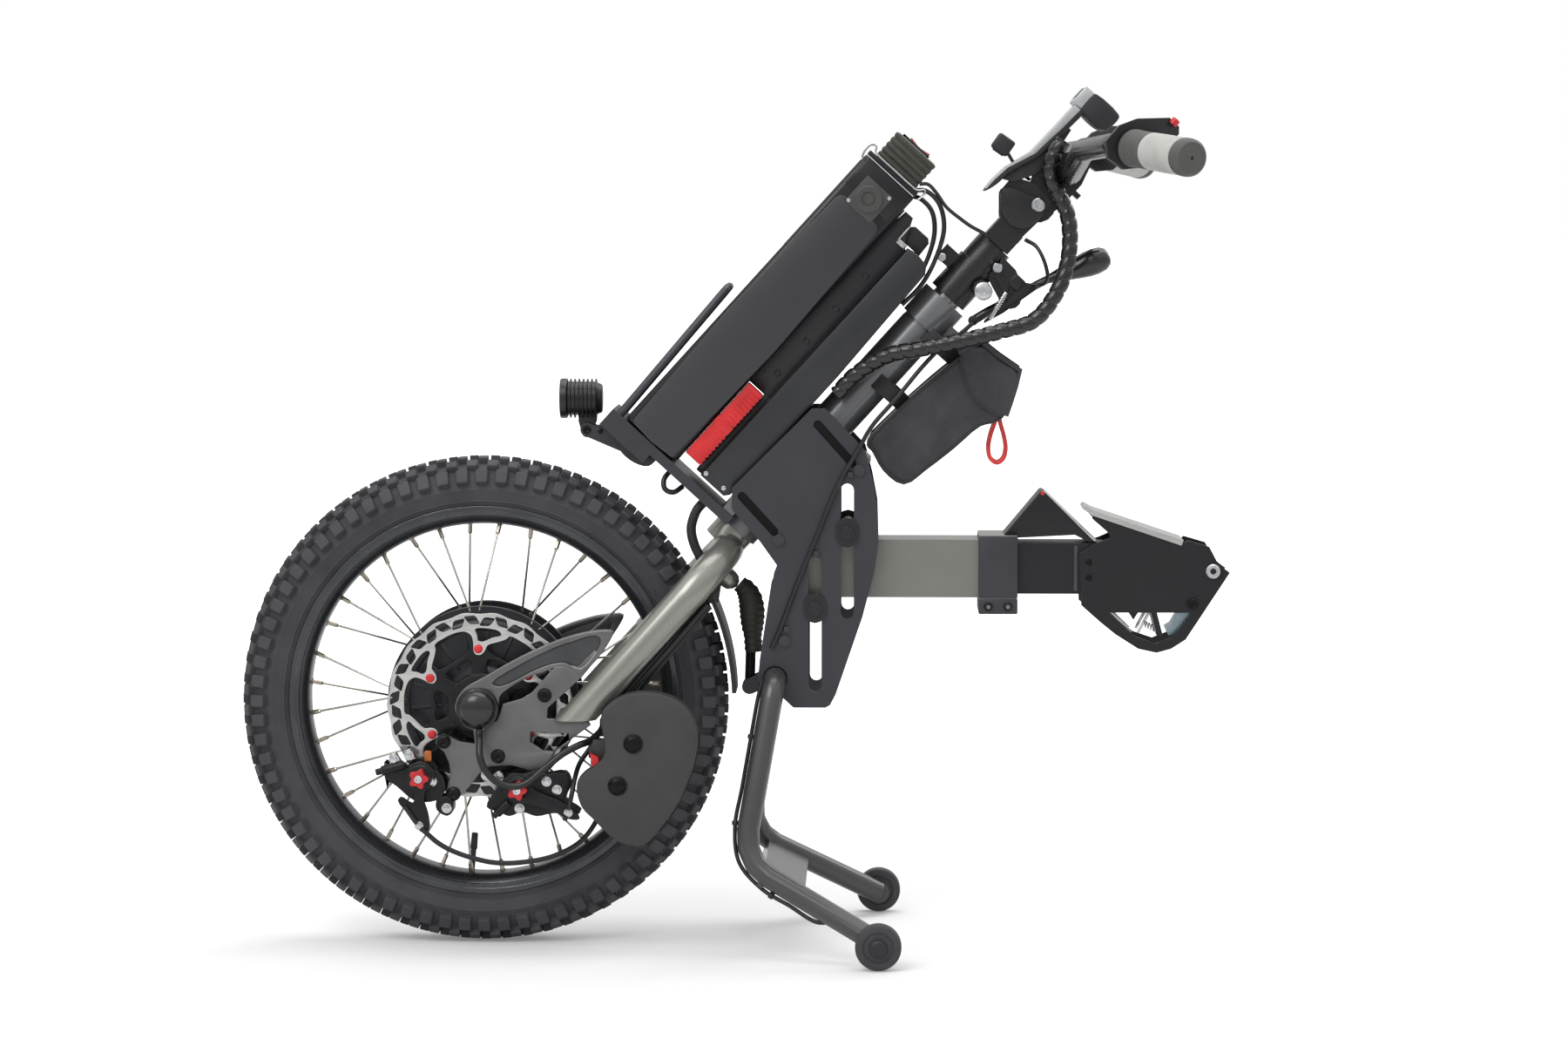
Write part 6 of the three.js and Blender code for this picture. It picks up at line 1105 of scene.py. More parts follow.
class HANDCYCLE_OT_bag(Maker, bpy.types.Operator):
    """Builds the tool bag: a sagging lofted shell with a bound hem, a flap, straps and a pull loop"""
    bl_idname = "handcycle.bag"
    bl_label = "Tool bag"

    def execute(self, context):
        side = [Vector((p[0], 0, p[1])) for p in rounded(BAG_SIDE, 3)]
        middle = sum(side, Vector()) / len(side)
        bm = bmesh.new()
        rings = []
        for y, share in ((-36.5, 0.86), (-36.2, 0.93), (-34.4, 0.972), (-30, 0.992), (-20, 1.0), (-7, 1.004),
                         (7, 1.004), (20, 1.0), (30, 0.992), (34.4, 0.972), (36.2, 0.93), (36.5, 0.86)):
            row = []
            for k, p in enumerate(side):
                sag = 1.0 - 0.012 * math.cos(y * 0.09) * math.sin(k * 0.7)
                row.append(middle + (p - middle) * share * sag + Vector((0, y, 0)))
            rings.append(row)
        loft(bm, rings)
        part("bag_shell", bm, GROUND, "frame", "bag_cloth", ("tool_bag",), 60)
        bm = bmesh.new()
        for y in (-34.6, 34.6):
            hem = [middle + (p - middle) * 0.985 + Vector((0, y, 0)) for p in side]
            tube(bm, hem, 1.7, 8, closed=True)
        part("bag_binding", bm, GROUND, "frame", "bag_binding", (), 60)
        bm = bmesh.new()
        rings = []
        flap = [(461, 574.5), (469, 579.5), (481.5, 587), (500, 572), (518.6, 559.5), (514.5, 545),
                (509.5, 529), (505, 516)]
        for k, (x, z) in enumerate(flap):
            ahead = flap[min(k + 1, len(flap) - 1)]
            back = flap[max(k - 1, 0)]
            way = Vector((ahead[0] - back[0], 0, ahead[1] - back[1])).normalized()
            out = Vector((-way.z, 0, way.x))
            row = []
            for y, drop in ((-38.6, 3.0), (-38.2, 1.0), (-36, -0.6), (-20, -1.2), (0, -1.4), (20, -1.2),
                            (36, -0.6), (38.2, 1.0), (38.6, 3.0)):
                row.append(Vector((x, y, z)) - out * drop * -1.0)
            low = [p - out * 1.6 for p in reversed(row)]
            rings.append(row + low)
        loft(bm, rings)
        part("bag_flap", bm, GROUND, "frame", "bag_cloth", (), 60)
        bm = bmesh.new()
        edge = rounded([(462, 573), (466, 548), (481, 526), (503, 515), (511, 532), (516, 556), (498, 569),
                        (481, 582)], 4)
        plate(bm, [edge], -38.4, -37.2, 0.5)
        plate(bm, [edge], 37.2, 38.4, 0.5)
        part("bag_flap_side", bm, GROUND, "frame", "bag_cloth", (), 60)
        bm = bmesh.new()
        seam = [(462, 573), (463.5, 560), (467, 547), (473, 535), (481, 526), (492, 519.6), (503, 515)]
        for y in (-38.6, 38.6):
            tube(bm, [Vector((x, y, z)) for x, z in seam], 1.3, 8)
        part("bag_flap_seam", bm, GROUND, "frame", "bag_binding", (), 60)
        bm = bmesh.new()
        loop = through([(498.4, 0, 517), (495.4, 0, 507), (491.4, 0, 495), (489.6, 0, 483), (491.8, 0, 473),
                        (498, 0, 469), (504, 0, 473), (506.4, 0, 483), (504.6, 0, 495), (501.2, 0, 507),
                        (499.6, 0, 517)], 8)
        rings = []
        for p, way, _, _ in frames_along(loop):
            out = Vector((way.z, 0, -way.x))
            rings.append([p + out * a + Vector((0, b, 0)) for a, b in
                          ((-2.0, -9.4), (2.0, -9.4), (2.2, 0), (2.0, 9.4), (-2.0, 9.4), (-1.8, 0))])
        loft(bm, rings)
        part("bag_pull_loop", bm, GROUND, "frame", "red_webbing", (), 60)
        bm = bmesh.new()
        for x, z in ((392, 540), (440, 585)):
            along = Vector((0.673, 0, 0.74))
            base = Vector((x, 0, z))
            rows = []
            for k in range(25):
                angle = FULL_TURN * k / 24
                rows.append(base + Vector((math.cos(angle) * 24 * 0.74, math.sin(angle) * 24,
                                           -math.cos(angle) * 24 * 0.673)))
            rings = [[p + along * a + (p - base).normalized() * b for a, b in
                      ((-8, 0), (8, 0), (8, 1.6), (-8, 1.6))] for p in rows[:-1]]
            loft(bm, rings, closed=True)
        part("bag_straps", bm, GROUND, "frame", "bag_binding", (), 60)
        return {"FINISHED"}


class HANDCYCLE_OT_boot(Maker, bpy.types.Operator):
    """Builds the steering damper's elbowed rubber boot"""
    bl_idname = "handcycle.boot"
    bl_label = "Damper boot"

    def execute(self, context):
        bm = bmesh.new()
        low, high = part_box("damper_boot")
        spine = [(248, 350), (253.5, 345), (258, 337), (260.2, 325), (260.6, 312), (261, 298), (262, 283.5)]
        line, _ = evenly(through([(x, 0, z) for x, z in spine], 10), 1.5)
        radii = []
        for k in range(len(line)):
            share = k / (len(line) - 1)
            base = 6.6 + 5.6 * math.sin(math.pi * min(1.0, share * 1.1 + 0.05)) ** 0.8 if share < 0.8 else 8.6
            radii.append(base + 0.5 * math.cos(k * 1.55))
        middle = (low.y + high.y) / 2 / MM
        tube(bm, [p + Vector((0, middle, 0)) for p in line], radii, 28)
        part("damper_gaiter", bm, GROUND, "steering", "boot_rubber", ("damper_boot",))
        return {"FINISHED"}


# Battery and its fittings


class HANDCYCLE_OT_battery(Maker, bpy.types.Operator):
    """Builds the battery shell, its grey panels, charge socket, lock wire and switch box"""
    bl_idname = "handcycle.battery"
    bl_label = "Battery"

    def execute(self, context):
        bm = bmesh.new()
        block(bm, (-150.6, -44.6, 298.2), (-88.2, 44.6, 643.4), 5.0, 3)
        block(bm, (-151.0, -42.4, 300), (-149.6, 42.4, 634), 0.5)
        block(bm, (-147, -46.6, 606), (-92, 46.6, 640.5), 2.2, 2)
        block(bm, (-150.2, -44.0, 642.0), (-88.6, 44.0, 646.8), 1.0)
        part("battery_shell", bm, COLUMN, "frame", "case_black", ("battery_case",))
        bm = bmesh.new()
        outline = [(-144.5, 303), (-142, 300.4), (-94.5, 300.4), (-92, 303), (-92, 588), (-94.4, 596),
                   (-101, 599), (-135.5, 599), (-142.2, 596), (-144.5, 589)]
        for near, far in ((-47.6, -44.4), (44.4, 47.6)):
            plate(bm, [rounded(outline, 2)], near, far, 1.4)
        part("battery_panels", bm, COLUMN, "frame", "panel_grey")
        bm = bmesh.new()
        block(bm, (-136, -48.4, 594.5), (-103, -46.2, 627.5), 1.4)
        socket = [(0, 3.0), (4.6, 3.0), (5.4, 2.2), (6.6, 2.2), (7.4, 3.4), (12.0, 3.4), (13.2, 2.4),
                  (13.4, 0)]
        lathe(bm, socket, (-119.5, -48.0, 611), (0, -1, 0), 40)
        part("charge_socket", bm, COLUMN, "frame", "socket_grey")
        bm = bmesh.new()
        for x, z in ((-133.2, 597.3), (-105.8, 624.7)):
            rod(bm, (x, -49.2, z), (x, -48.4, z), 1.9, 16, ease=0.3)
        for y in (-46.6, 46.6):
            spots = [(-151.8, y, 636), (-154.2, y, 643), (-153.4, y, 651.6), (-148.6, y, 653.6),
                     (-145.6, y, 649.0), (-140, y, 647.9), (-118, y, 647.8), (-98, y, 647.8), (-91, y, 648.6),
                     (-86.4, y, 653.6), (-83.4, y, 650.4), (-84.6, y, 642)]
            tube(bm, evenly(through(spots, 10), 2.0)[0], 0.8, 10)
            rod(bm, (-149, y, 641.4), (-90, y, 641.4), 0.7, 8)
        part("battery_lock_wire", bm, COLUMN, "frame", "bright_steel")
        bm = bmesh.new()
        block(bm, (-142.4, -27.6, 646.2), (-93.8, 27.6, 678.0), 2.6, 3)
        for k in range(5):
            z = 648.4 + k * 6.1
            block(bm, (-143.2, -29.4, z), (-93.2, 29.4, z + 4.4), 1.2, 2)
        part("switch_box_shell", bm, COLUMN, "frame", "olive_plastic", ("switch_box",))
        bm = bmesh.new()
        block(bm, (-137, -13.5, 677.2), (-104, -10.2, 680.4), 0.7)
        block(bm, (-137, 10.2, 677.2), (-104, 13.5, 680.4), 0.7)
        block(bm, (-137, -13.5, 677.2), (-133.8, 13.5, 680.4), 0.7)
        block(bm, (-107.2, -13.5, 677.2), (-104, 13.5, 680.4), 0.7)
        part("switch_bezel", bm, COLUMN, "frame", "moulded_black")
        return {"FINISHED"}


class HANDCYCLE_OT_electrics(Maker, bpy.types.Operator):
    """Builds the motor controller, its rail, cap and clip, and the guard rod's sleeve"""
    bl_idname = "handcycle.electrics"
    bl_label = "Controller and rail"

    def execute(self, context):
        bm = bmesh.new()
        outline = [(-61, 306), (-31, 306), (-27, 311), (-27, 466), (-31, 594), (-36, 601), (-49, 603.4),
                   (-60, 601)]
        plate(bm, [outline], -39.6, 39.6, 2.4)
        plate(bm, [[(-76, 404), (-60.4, 404), (-60.4, 598), (-67, 606), (-76, 626), (-85, 626), (-87, 610),
                    (-87, 404)]], -20, 20, 0.8)
        block(bm, (-67.6, -20, 306), (-60.2, 20, 405), 0.6)
        block(bm, (-88.6, -18, 300), (-86.6, 18, 626), 0.4)
        for z in (428, 470, 512, 554):
            rod(bm, (-72, -20.6, z), (-72, -19.6, z), 3.2, 18, ease=0.4)
        part("controller_shell", bm, COLUMN, "frame", "controller_coat", ("controller",))
        bm = bmesh.new()
        plate(bm, [[(-71, 603), (-72, 618), (-68, 621.6), (-52, 621.6), (-48, 618), (-47, 603)]], -16, 16,
              1.2)
        part("controller_cap", bm, COLUMN, "frame", "moulded_black")
        bm = bmesh.new()
        lathe(bm, [(20.7, 300), (20.7, 552), (20.2, 554), (18.6, 554), (18.6, 300)], (0, 0, 0), (0, 0, 1), 64,
              closed=True)
        part("column_sleeve", bm, COLUMN, "frame", "column_steel")
        bm = bmesh.new()
        block(bm, (-73.4, -24, 598), (-71.8, -17, 618), 0.4)
        block(bm, (-73.4, -24, 598), (-62, -22.6, 603), 0.4)
        for x, z in ((-58, 311), (-36, 312)):
            rod(bm, (x, -40.6, z), (x, -39.2, z), 2.4, 16, ease=0.3)
        part("controller_clip", bm, COLUMN, "frame", "bright_steel")
        bm = bmesh.new()
        block(bm, (-86.6, -43.0, 313.0), (-68.2, -25.2, 403.6), 1.0)
        block(bm, (-87.2, -44.0, 352.0), (-67.4, -24.6, 361.4), 0.8)
        for k in range(8):
            z = 314.0 + k * 4.7
            block(bm, (-79.6, -44.4, z), (-67.0, -24.2, z + 2.3), 0.6, 1)
        for k in range(9):
            z = 363.6 + k * 4.5
            block(bm, (-81.0, -44.4, z), (-67.2, -24.2, z + 2.3), 0.6, 1)
        part("connector_ribs", bm, COLUMN, "frame", "red_plastic", ("power_connector",))
        return {"FINISHED"}


BRACKET_LINK = [(94.4, 500.6), (96.4, 506.0), (102.0, 507.0), (110.0, 504.6), (127.0, 506.6), (134.6, 503.0),
                (142.0, 490.0), (158.0, 479.4), (168.0, 473.0), (160.0, 465.0), (146.0, 468.4),
                (134.0, 478.0), (126.0, 490.4), (112.0, 491.6), (100.0, 493.4)]
BRACKET_BOLTS = ((113.6, 498.9), (128.8, 500.1), (150.7, 474.7))


class HANDCYCLE_OT_lamp(Maker, bpy.types.Operator):
    """Builds the headlamp: turned cooling fins, a lens in its bezel and clamp bolts"""
    bl_idname = "handcycle.lamp"
    bl_label = "Headlamp"

    def execute(self, context):
        low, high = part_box("lamp")
        inverse = GROUND.inverted()
        near, far = inverse @ low, inverse @ high
        middle = Vector((near.x, 0, far.z - 19.5))
        bm = bmesh.new()
        profile = [(0.0, 2.2), (15.6, 2.2), (16.2, 0.2), (18.6, 0.2), (19.4, 1.0), (19.5, 6.4), (18.8, 7.2)]
        for k in range(7):
            h = 8.0 + k * 4.1
            profile += [(16.4, h), (16.4, h + 1.3), (19.0, h + 1.6), (19.4, h + 2.2), (19.0, h + 2.9),
                        (16.4, h + 3.1)]
        profile += [(15.0, 37.4), (14.0, 40.2), (12.6, 41.0), (0.0, 41.0)]
        lathe(bm, profile, middle, (1, 0, 0), 48)
        foot = [(94.0, 500.6), (96.0, 494.6), (100.2, 492.6), (104.4, 494.6), (106.4, 500.6), (110.0, 516.0),
                (92.0, 516.0)]
        plate(bm, [rounded(foot, 2)], -4.9, 4.9, 0.6)
        part("lamp_body", bm, GROUND, "lamp", "powder_black", ("lamp",))
        bm = bmesh.new()
        dome(bm, middle + Vector((2.6, 0, 0)), (-1, 0, 0), 15.4, 1.7, 32)
        part("lamp_lens", bm, GROUND, "lamp", "lens")
        bm = bmesh.new()
        for side in (-1, 1):
            lathe(bm, [(0, 1.2), (1.8, 1.2), (2.1, 2.6), (3.4, 2.6), (4.0, 1.8), (4.0, -1.0), (0, -1.0)],
                  (100.2, side * 9.2, 500.6), (0, side, 0), 20)
        for x, z in BRACKET_BOLTS:
            dome(bm, (x, -8.3, z), (0, -1, 0), 2.7, 1.7, 18)
        part("lamp_bolts", bm, GROUND, "frame", "dark_bolt")
        bm = bmesh.new()
        link = rounded(BRACKET_LINK, 3)
        for near, far in ((-8.4, -5.6), (5.6, 8.4)):
            plate(bm, [link], near, far, 0.5)
        part("lamp_bracket", bm, GROUND, "frame", "powder_black")
        return {"FINISHED"}


# Head


GRIP_INNER = (12.05, 221.76, 510.98)
GRIP_OUTER = (63.12, 336.0, 540.89)


class HANDCYCLE_OT_grips(Maker, bpy.types.Operator):
    """Builds both grips, the throttle sleeve and the end plugs"""
    bl_idname = "handcycle.grips"
    bl_label = "Grips"

    def execute(self, context):
        for side, name in ((-1, "near"), (1, "far")):
            start = Vector((GRIP_INNER[0], side * GRIP_INNER[1], GRIP_INNER[2]))
            end = Vector((GRIP_OUTER[0], side * GRIP_OUTER[1], GRIP_OUTER[2]))
            way = (end - start).normalized()
            length = (end - start).length
            inner = 0.545 if side < 0 else 0.285
            node = f"grip_{name}"
            bm = bmesh.new()
            low, high = inner * length, 0.965 * length
            profile = [(11.4, low), (15.8, low), (16.9, low + 1.2), (17.0, low + 4)]
            steps = 16
            for k in range(steps + 1):
                h = low + 5 + (high - low - 10) * k / steps
                profile.append((16.9 + 0.25 * math.sin(math.pi * k / steps), h))
            profile += [(16.8, high - 1), (16.2, high), (11.4, high)]
            lathe(bm, profile, start, way, 44, closed=True)
            part(f"grip_sleeve_{name}", bm, HEAD, "handlebar_head", "grip_pale", (node,))
            bm = bmesh.new()
            cap = [(0.0, length + 7.4), (1.5, length + 7.4), (1.7, length + 9.6), (9.0, length + 10.0),
                   (14.2, length + 9.0), (16.8, length + 5.8), (17.3, length + 1.0), (17.2, high + 1.4),
                   (16.4, high + 0.4), (11.4, high + 0.4), (11.4, length + 2.0), (0.0, length + 2.0)]
            lathe(bm, cap, start, way, 44)
            part(f"grip_plug_{name}", bm, HEAD, "handlebar_head", "grip_dark")
        start = Vector((GRIP_INNER[0], -GRIP_INNER[1], GRIP_INNER[2]))
        end = Vector((GRIP_OUTER[0], -GRIP_OUTER[1], GRIP_OUTER[2]))
        way = (end - start).normalized()
        length = (end - start).length
        bm = bmesh.new()
        low, high = 0.284 * length, 0.536 * length
        profile = [(11.5, low), (16.6, low), (17.4, low + 1.0), (17.4, low + 4.4), (16.9, low + 5.2)]
        for k in range(5):
            h = low + 6.4 + k * 4.6
            profile += [(16.9, h), (16.5, h + 0.5), (16.5, h + 1.5), (16.9, h + 2.0)]
        profile += [(16.8, high - 0.8), (16.2, high), (11.5, high)]
        lathe(bm, profile, start, way, 44, closed=True)
        part("throttle_sleeve", bm, HEAD, "throttle_grip", "grip_dark",
             ("throttle_grip",))
        return {"FINISHED"}


class HANDCYCLE_OT_cockpit(Maker, bpy.types.Operator):
    """Builds the dash cover, the display with its bright top, and the key switch on its stalk"""
    bl_idname = "handcycle.cockpit"
    bl_label = "Dash and display"

    def execute(self, context):
        bm = bmesh.new()
        cover = [(-43.4, 691), (-40.6, 697), (-38.4, 707), (-37.6, 719), (-32, 737), (-27, 750), (-24.5, 780),
                 (-24, 811), (-28.6, 811), (-30.4, 786), (-31.4, 752), (-42.2, 721), (-43.8, 705)]
        plate(bm, [rounded(cover, 3)], -35.8, 35.8, 1.2)
        ribs = [(-38, 712), (-28, 717), (-18, 735), (-16, 760), (-21, 790), (-26, 790), (-29, 752),
                (-37, 722)]
        for y in (-30, 28):
            plate(bm, [ribs], y, y + 2.4, 0.4)
        part("dash_cover", bm, COLUMN, "handlebar_head", "moulded_black", ("dash",))
        bm = bmesh.new()
        face = [(-44.4, 694), (-45.0, 706), (-43.8, 722), (-35.4, 750), (-34.6, 786), (-34.4, 810),
                (-27.6, 810), (-28.6, 786), (-31.4, 750.4), (-41.6, 722.4), (-43.2, 706), (-43.2, 694)]
        plate(bm, [face], -36.3, 36.3, 0.3)
        part("dash_face", bm, COLUMN, "handlebar_head", "pale_film")
        bm = bmesh.new()
        case = [(-28.6, 812), (-27, 809.6), (-7, 808), (3, 811), (5, 816), (5, 829), (2, 831.4), (-26, 831.4),
                (-28.6, 829)]
        plate(bm, [rounded(case, 3)], -35.8, 35.8, 2.2)
        part("display_case", bm, COLUMN, "handlebar_head", "moulded_black", ("display",))
        bm = bmesh.new()
        block(bm, (-38.8, -35.4, 810.4), (-27.8, 35.4, 830.6), 1.6, 2)
        part("display_trim", bm, COLUMN, "handlebar_head", "pale_film")
        bm = bmesh.new()
        block(bm, (-39.7, -27, 814.6), (-38.6, 27, 827.4), 0.3)
        part("display_glass", bm, COLUMN, "handlebar_head", "screen")
        bm = bmesh.new()
        low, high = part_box("key_switch")
        inverse = GROUND.inverted()
        near, far = inverse @ low, inverse @ high
        middle = Vector(((near.x + far.x) / 2 - 2.0, 0, far.z - 15.5))
        turn = Matrix.Translation(middle) @ Matrix.Rotation(math.radians(35), 4, "Y")
        block(bm, (-9.4, -8.5, -8.4), (9.4, 8.5, 8.4), 2.6, 3, turn)
        block(bm, (-6.2, -6.2, -9.6), (6.2, 6.2, -8.2), 0.8, 1, turn)
        stalk = through([(middle.x + 4, 0, middle.z - 7), (middle.x + 10, 0, middle.z - 17),
                         (middle.x + 18, 0, middle.z - 27), (middle.x + 26, 0, middle.z - 34)], 8)
        tube(bm, evenly(stalk, 2.0)[0], 1.7, 12)
        part("key_switch_body", bm, GROUND, "handlebar_head", "moulded_black",
             ("key_switch",))
        return {"FINISHED"}


class HANDCYCLE_OT_joint(Maker, bpy.types.Operator):
    """Builds the tilt quadrant, its pivot bolts, the bright clamp bolts, and the lever web with its adjuster
    """
    bl_idname = "handcycle.joint"
    bl_label = "Tilt joint and clamps"

    def execute(self, context):
        bm = bmesh.new()
        fan = [(-31, 706), (-24, 712), (-8, 717), (6, 722), (13, 714), (13, 700), (8, 689), (-6, 684),
               (-21, 691), (-31, 702)]
        fan = rounded(fan, 3)
        for near, far in ((-33.0, -30.4), (30.4, 33.0)):
            plate(bm, [fan], near, far, 0.7)
        part("tilt_quadrant", bm, COLUMN, "mast", "powder_black")
        bm = bmesh.new()
        for side in (-1, 1):
            lathe(bm, [(0, 1.4), (2.4, 1.4), (2.8, 3.8), (5.6, 3.8), (6.6, 2.8), (6.8, 0), (0, 0)],
                  (4.0, side * 32.8, 716.2), (0, side, 0), 28)
        part("tilt_bolts", bm, COLUMN, "mast", "bright_steel")
        bm = bmesh.new()
        for x, y, z, radius in ((21.5, -17.0, 620, 8.8), (16, -15.0, 645.5, 4.9), (-30, -13, 617, 4.2)):
            bolt = [(0, 2.7), (radius * 0.2, 2.7), (radius * 0.25, 3.1), (radius * 0.84, 3.1), (radius, 2.2),
                    (radius, 0), (radius, -6.0), (0, -6.0)]
            lathe(bm, bolt, (x, y - 6.6, z), (0, -1, 0), 28)
        part("clamp_bolts", bm, COLUMN, "steering", "bright_steel")
        bm = bmesh.new()
        web = [(12, 657), (31, 656), (42, 651), (52, 657), (56, 661), (58, 654), (50, 617), (43, 597),
               (41, 600), (43, 613), (36, 632), (20, 637)]
        hole = [(36, 644), (44, 641), (45, 626), (40, 633)]
        plate(bm, [web, hole], -14.6, -11.0, 0.6)
        block(bm, (33, -17.4, 641), (46, -11, 654), 1.6)
        part("lever_web", bm, COLUMN, "steering", "powder_black")
        bm = bmesh.new()
        rod(bm, (38.5, -15.6, 634), (44.5, -15.6, 604), 2.1, 14, ease=0.4)
        for k in range(6):
            a = Vector((39.2, -15.6, 630.5)) + Vector((0.2, 0, -1)) * (k * 2.6)
            rod(bm, a, a + Vector((0.2, 0, -1)) * 1.4, 3.1, 16, ease=0.3)
        part("lever_adjuster", bm, COLUMN, "steering", "bright_steel")
        return {"FINISHED"}


class HANDCYCLE_OT_lever(Maker, bpy.types.Operator):
    """Builds the brake lever with its pear-shaped knob"""
    bl_idname = "handcycle.lever"
    bl_label = "Brake lever"

    def execute(self, context):
        bm = bmesh.new()
        start = Vector((510.6, 0, 628.1))
        points = [(474, 0, 606), (487, 0, 614), (502, 0, 622), (520, 0, 632), (536, 0, 641), (549, 0, 647.5)]
        line, _ = evenly(through(points, 8), 3.0)
        tube(bm, line, [4.6 - 0.6 * k / (len(line) - 1) for k in range(len(line))], 18)
        lathe(bm, [(0, -10), (8.5, -10), (9.3, -9), (9.3, 9), (8.5, 10), (0, 10)], start, (0, 1, 0), 28)
        rod(bm, (474.5, -4.6, 606.4), (474.5, 4.6, 606.4), 4.9, 20, ease=0.8)
        neck = Vector((546, 0, 646))
        way = Vector((606, 0, 669)) - neck
        span = way.length
        profile = [(0, 0.0), (4.0, 0.0), (4.4, 2.0), (5.8, span * 0.14), (8.0, span * 0.3),
                   (10.6, span * 0.48), (12.4, span * 0.64), (12.8, span * 0.76), (11.6, span * 0.89),
                   (8.2, span * 0.97), (4.0, span * 0.997), (0, span)]
        lathe(bm, profile, neck, way, 36)
        part("lever_handle", bm, GROUND, "brake_lever", "gloss_black", ("brake_lever",))
        return {"FINISHED"}


# Arm, dock and stand


def walls(bm, low, high, wall, ease):
    """Four slabs round a square passage that runs along X."""
    (x0, y0, z0), (x1, y1, z1) = low, high
    block(bm, (x0, y0, z0), (x1, y0 + wall, z1), ease)
    block(bm, (x0, y1 - wall, z0), (x1, y1, z1), ease)
    block(bm, (x0, y0 + wall * 0.5, z0), (x1, y1 - wall * 0.5, z0 + wall), ease)
    block(bm, (x0, y0 + wall * 0.5, z1 - wall), (x1, y1 - wall * 0.5, z1), ease)


class HANDCYCLE_OT_arm(Maker, bpy.types.Operator):
    """Builds the arm's clamp collar with its bolts"""
    bl_idname = "handcycle.arm"
    bl_label = "Arm collar"

    def execute(self, context):
        bm = bmesh.new()
        walls(bm, (480.0, -33.6, 339.3), (517.8, 33.6, 399.4), 7.6, 1.4)
        block(bm, (480.0, -33.6, 323.9), (517.8, 33.6, 339.0), 1.4)
        part("arm_collar", bm, GROUND, "arm", "plate_charcoal")
        bm = bmesh.new()
        for x in (489.5, 508.5):
            for side in (-1, 1):
                lathe(bm, [(0, 0.8), (1.9, 0.8), (2.2, 2.4), (3.6, 2.4), (4.2, 1.8), (4.3, 0), (0, 0)],
                      (x, side * 33.4, 331.2), (0, side, 0), 20)
        part("arm_collar_bolts", bm, GROUND, "arm", "dark_bolt")
        return {"FINISHED"}


WEDGE_SIDE = [(501.6, 396.4), (505.0, 396.6), (573.0, 400.2), (586.4, 393.4), (592.8, 393.4), (543.4, 441.2),
              (540.0, 442.4)]
WEDGE_FACE = [(543.2, 441.9), (545.2, 441.3), (595.0, 393.6), (592.6, 393.2)]
# Slanted slots of the side plates, end to end, which get near-black sheets as painted shade
SLOT_SHADES = (((325.0, 508.0), (358.0, 471.0)), ((252.0, 439.0), (283.0, 405.0)))
SLOT_SHADE_HALF = 4.2
PLATE_FACE = 47.5


class HANDCYCLE_OT_plates(Maker, bpy.types.Operator):
    """Builds near-black sheets that fill the slanted slots of both side plates, as painted shade"""
    bl_idname = "handcycle.plates"
    bl_label = "Plate slot shade"

    def execute(self, context):
        for name in ("near", "far"):
            side = -1 if name == "near" else 1
            face = side * PLATE_FACE
            bm = bmesh.new()
            for start, end in SLOT_SHADES:
                a, b = Vector((start[0], 0, start[1])), Vector((end[0], 0, end[1]))
                turn = math.atan2(b.z - a.z, b.x - a.x)
                outline = []
                for middle, base in ((a, turn + math.pi / 2), (b, turn - math.pi / 2)):
                    outline += [(middle.x + SLOT_SHADE_HALF * math.cos(base + math.pi * k / 8),
                                 middle.z + SLOT_SHADE_HALF * math.sin(base + math.pi * k / 8)) for k in range(9)]
                # Each sheet runs from just proud of the plate's face to 2 mm into the slot: painted shade
                near, far = sorted((face + side * 0.35, face - side * 2.0))
                plate(bm, [outline], near, far, 0.3)
            part(f"plate_slot_shade_{name}", bm, GROUND, "frame", "slot_shade_black")
        return {"FINISHED"}


LATCH_STRIPS = (
    [(599.4, 331.6), (603.6, 331.6), (629.4, 306.4), (627.4, 305.8)],
    [(646.4, 331.6), (650.6, 331.6), (636.2, 304.6), (633.2, 305.2)],
)


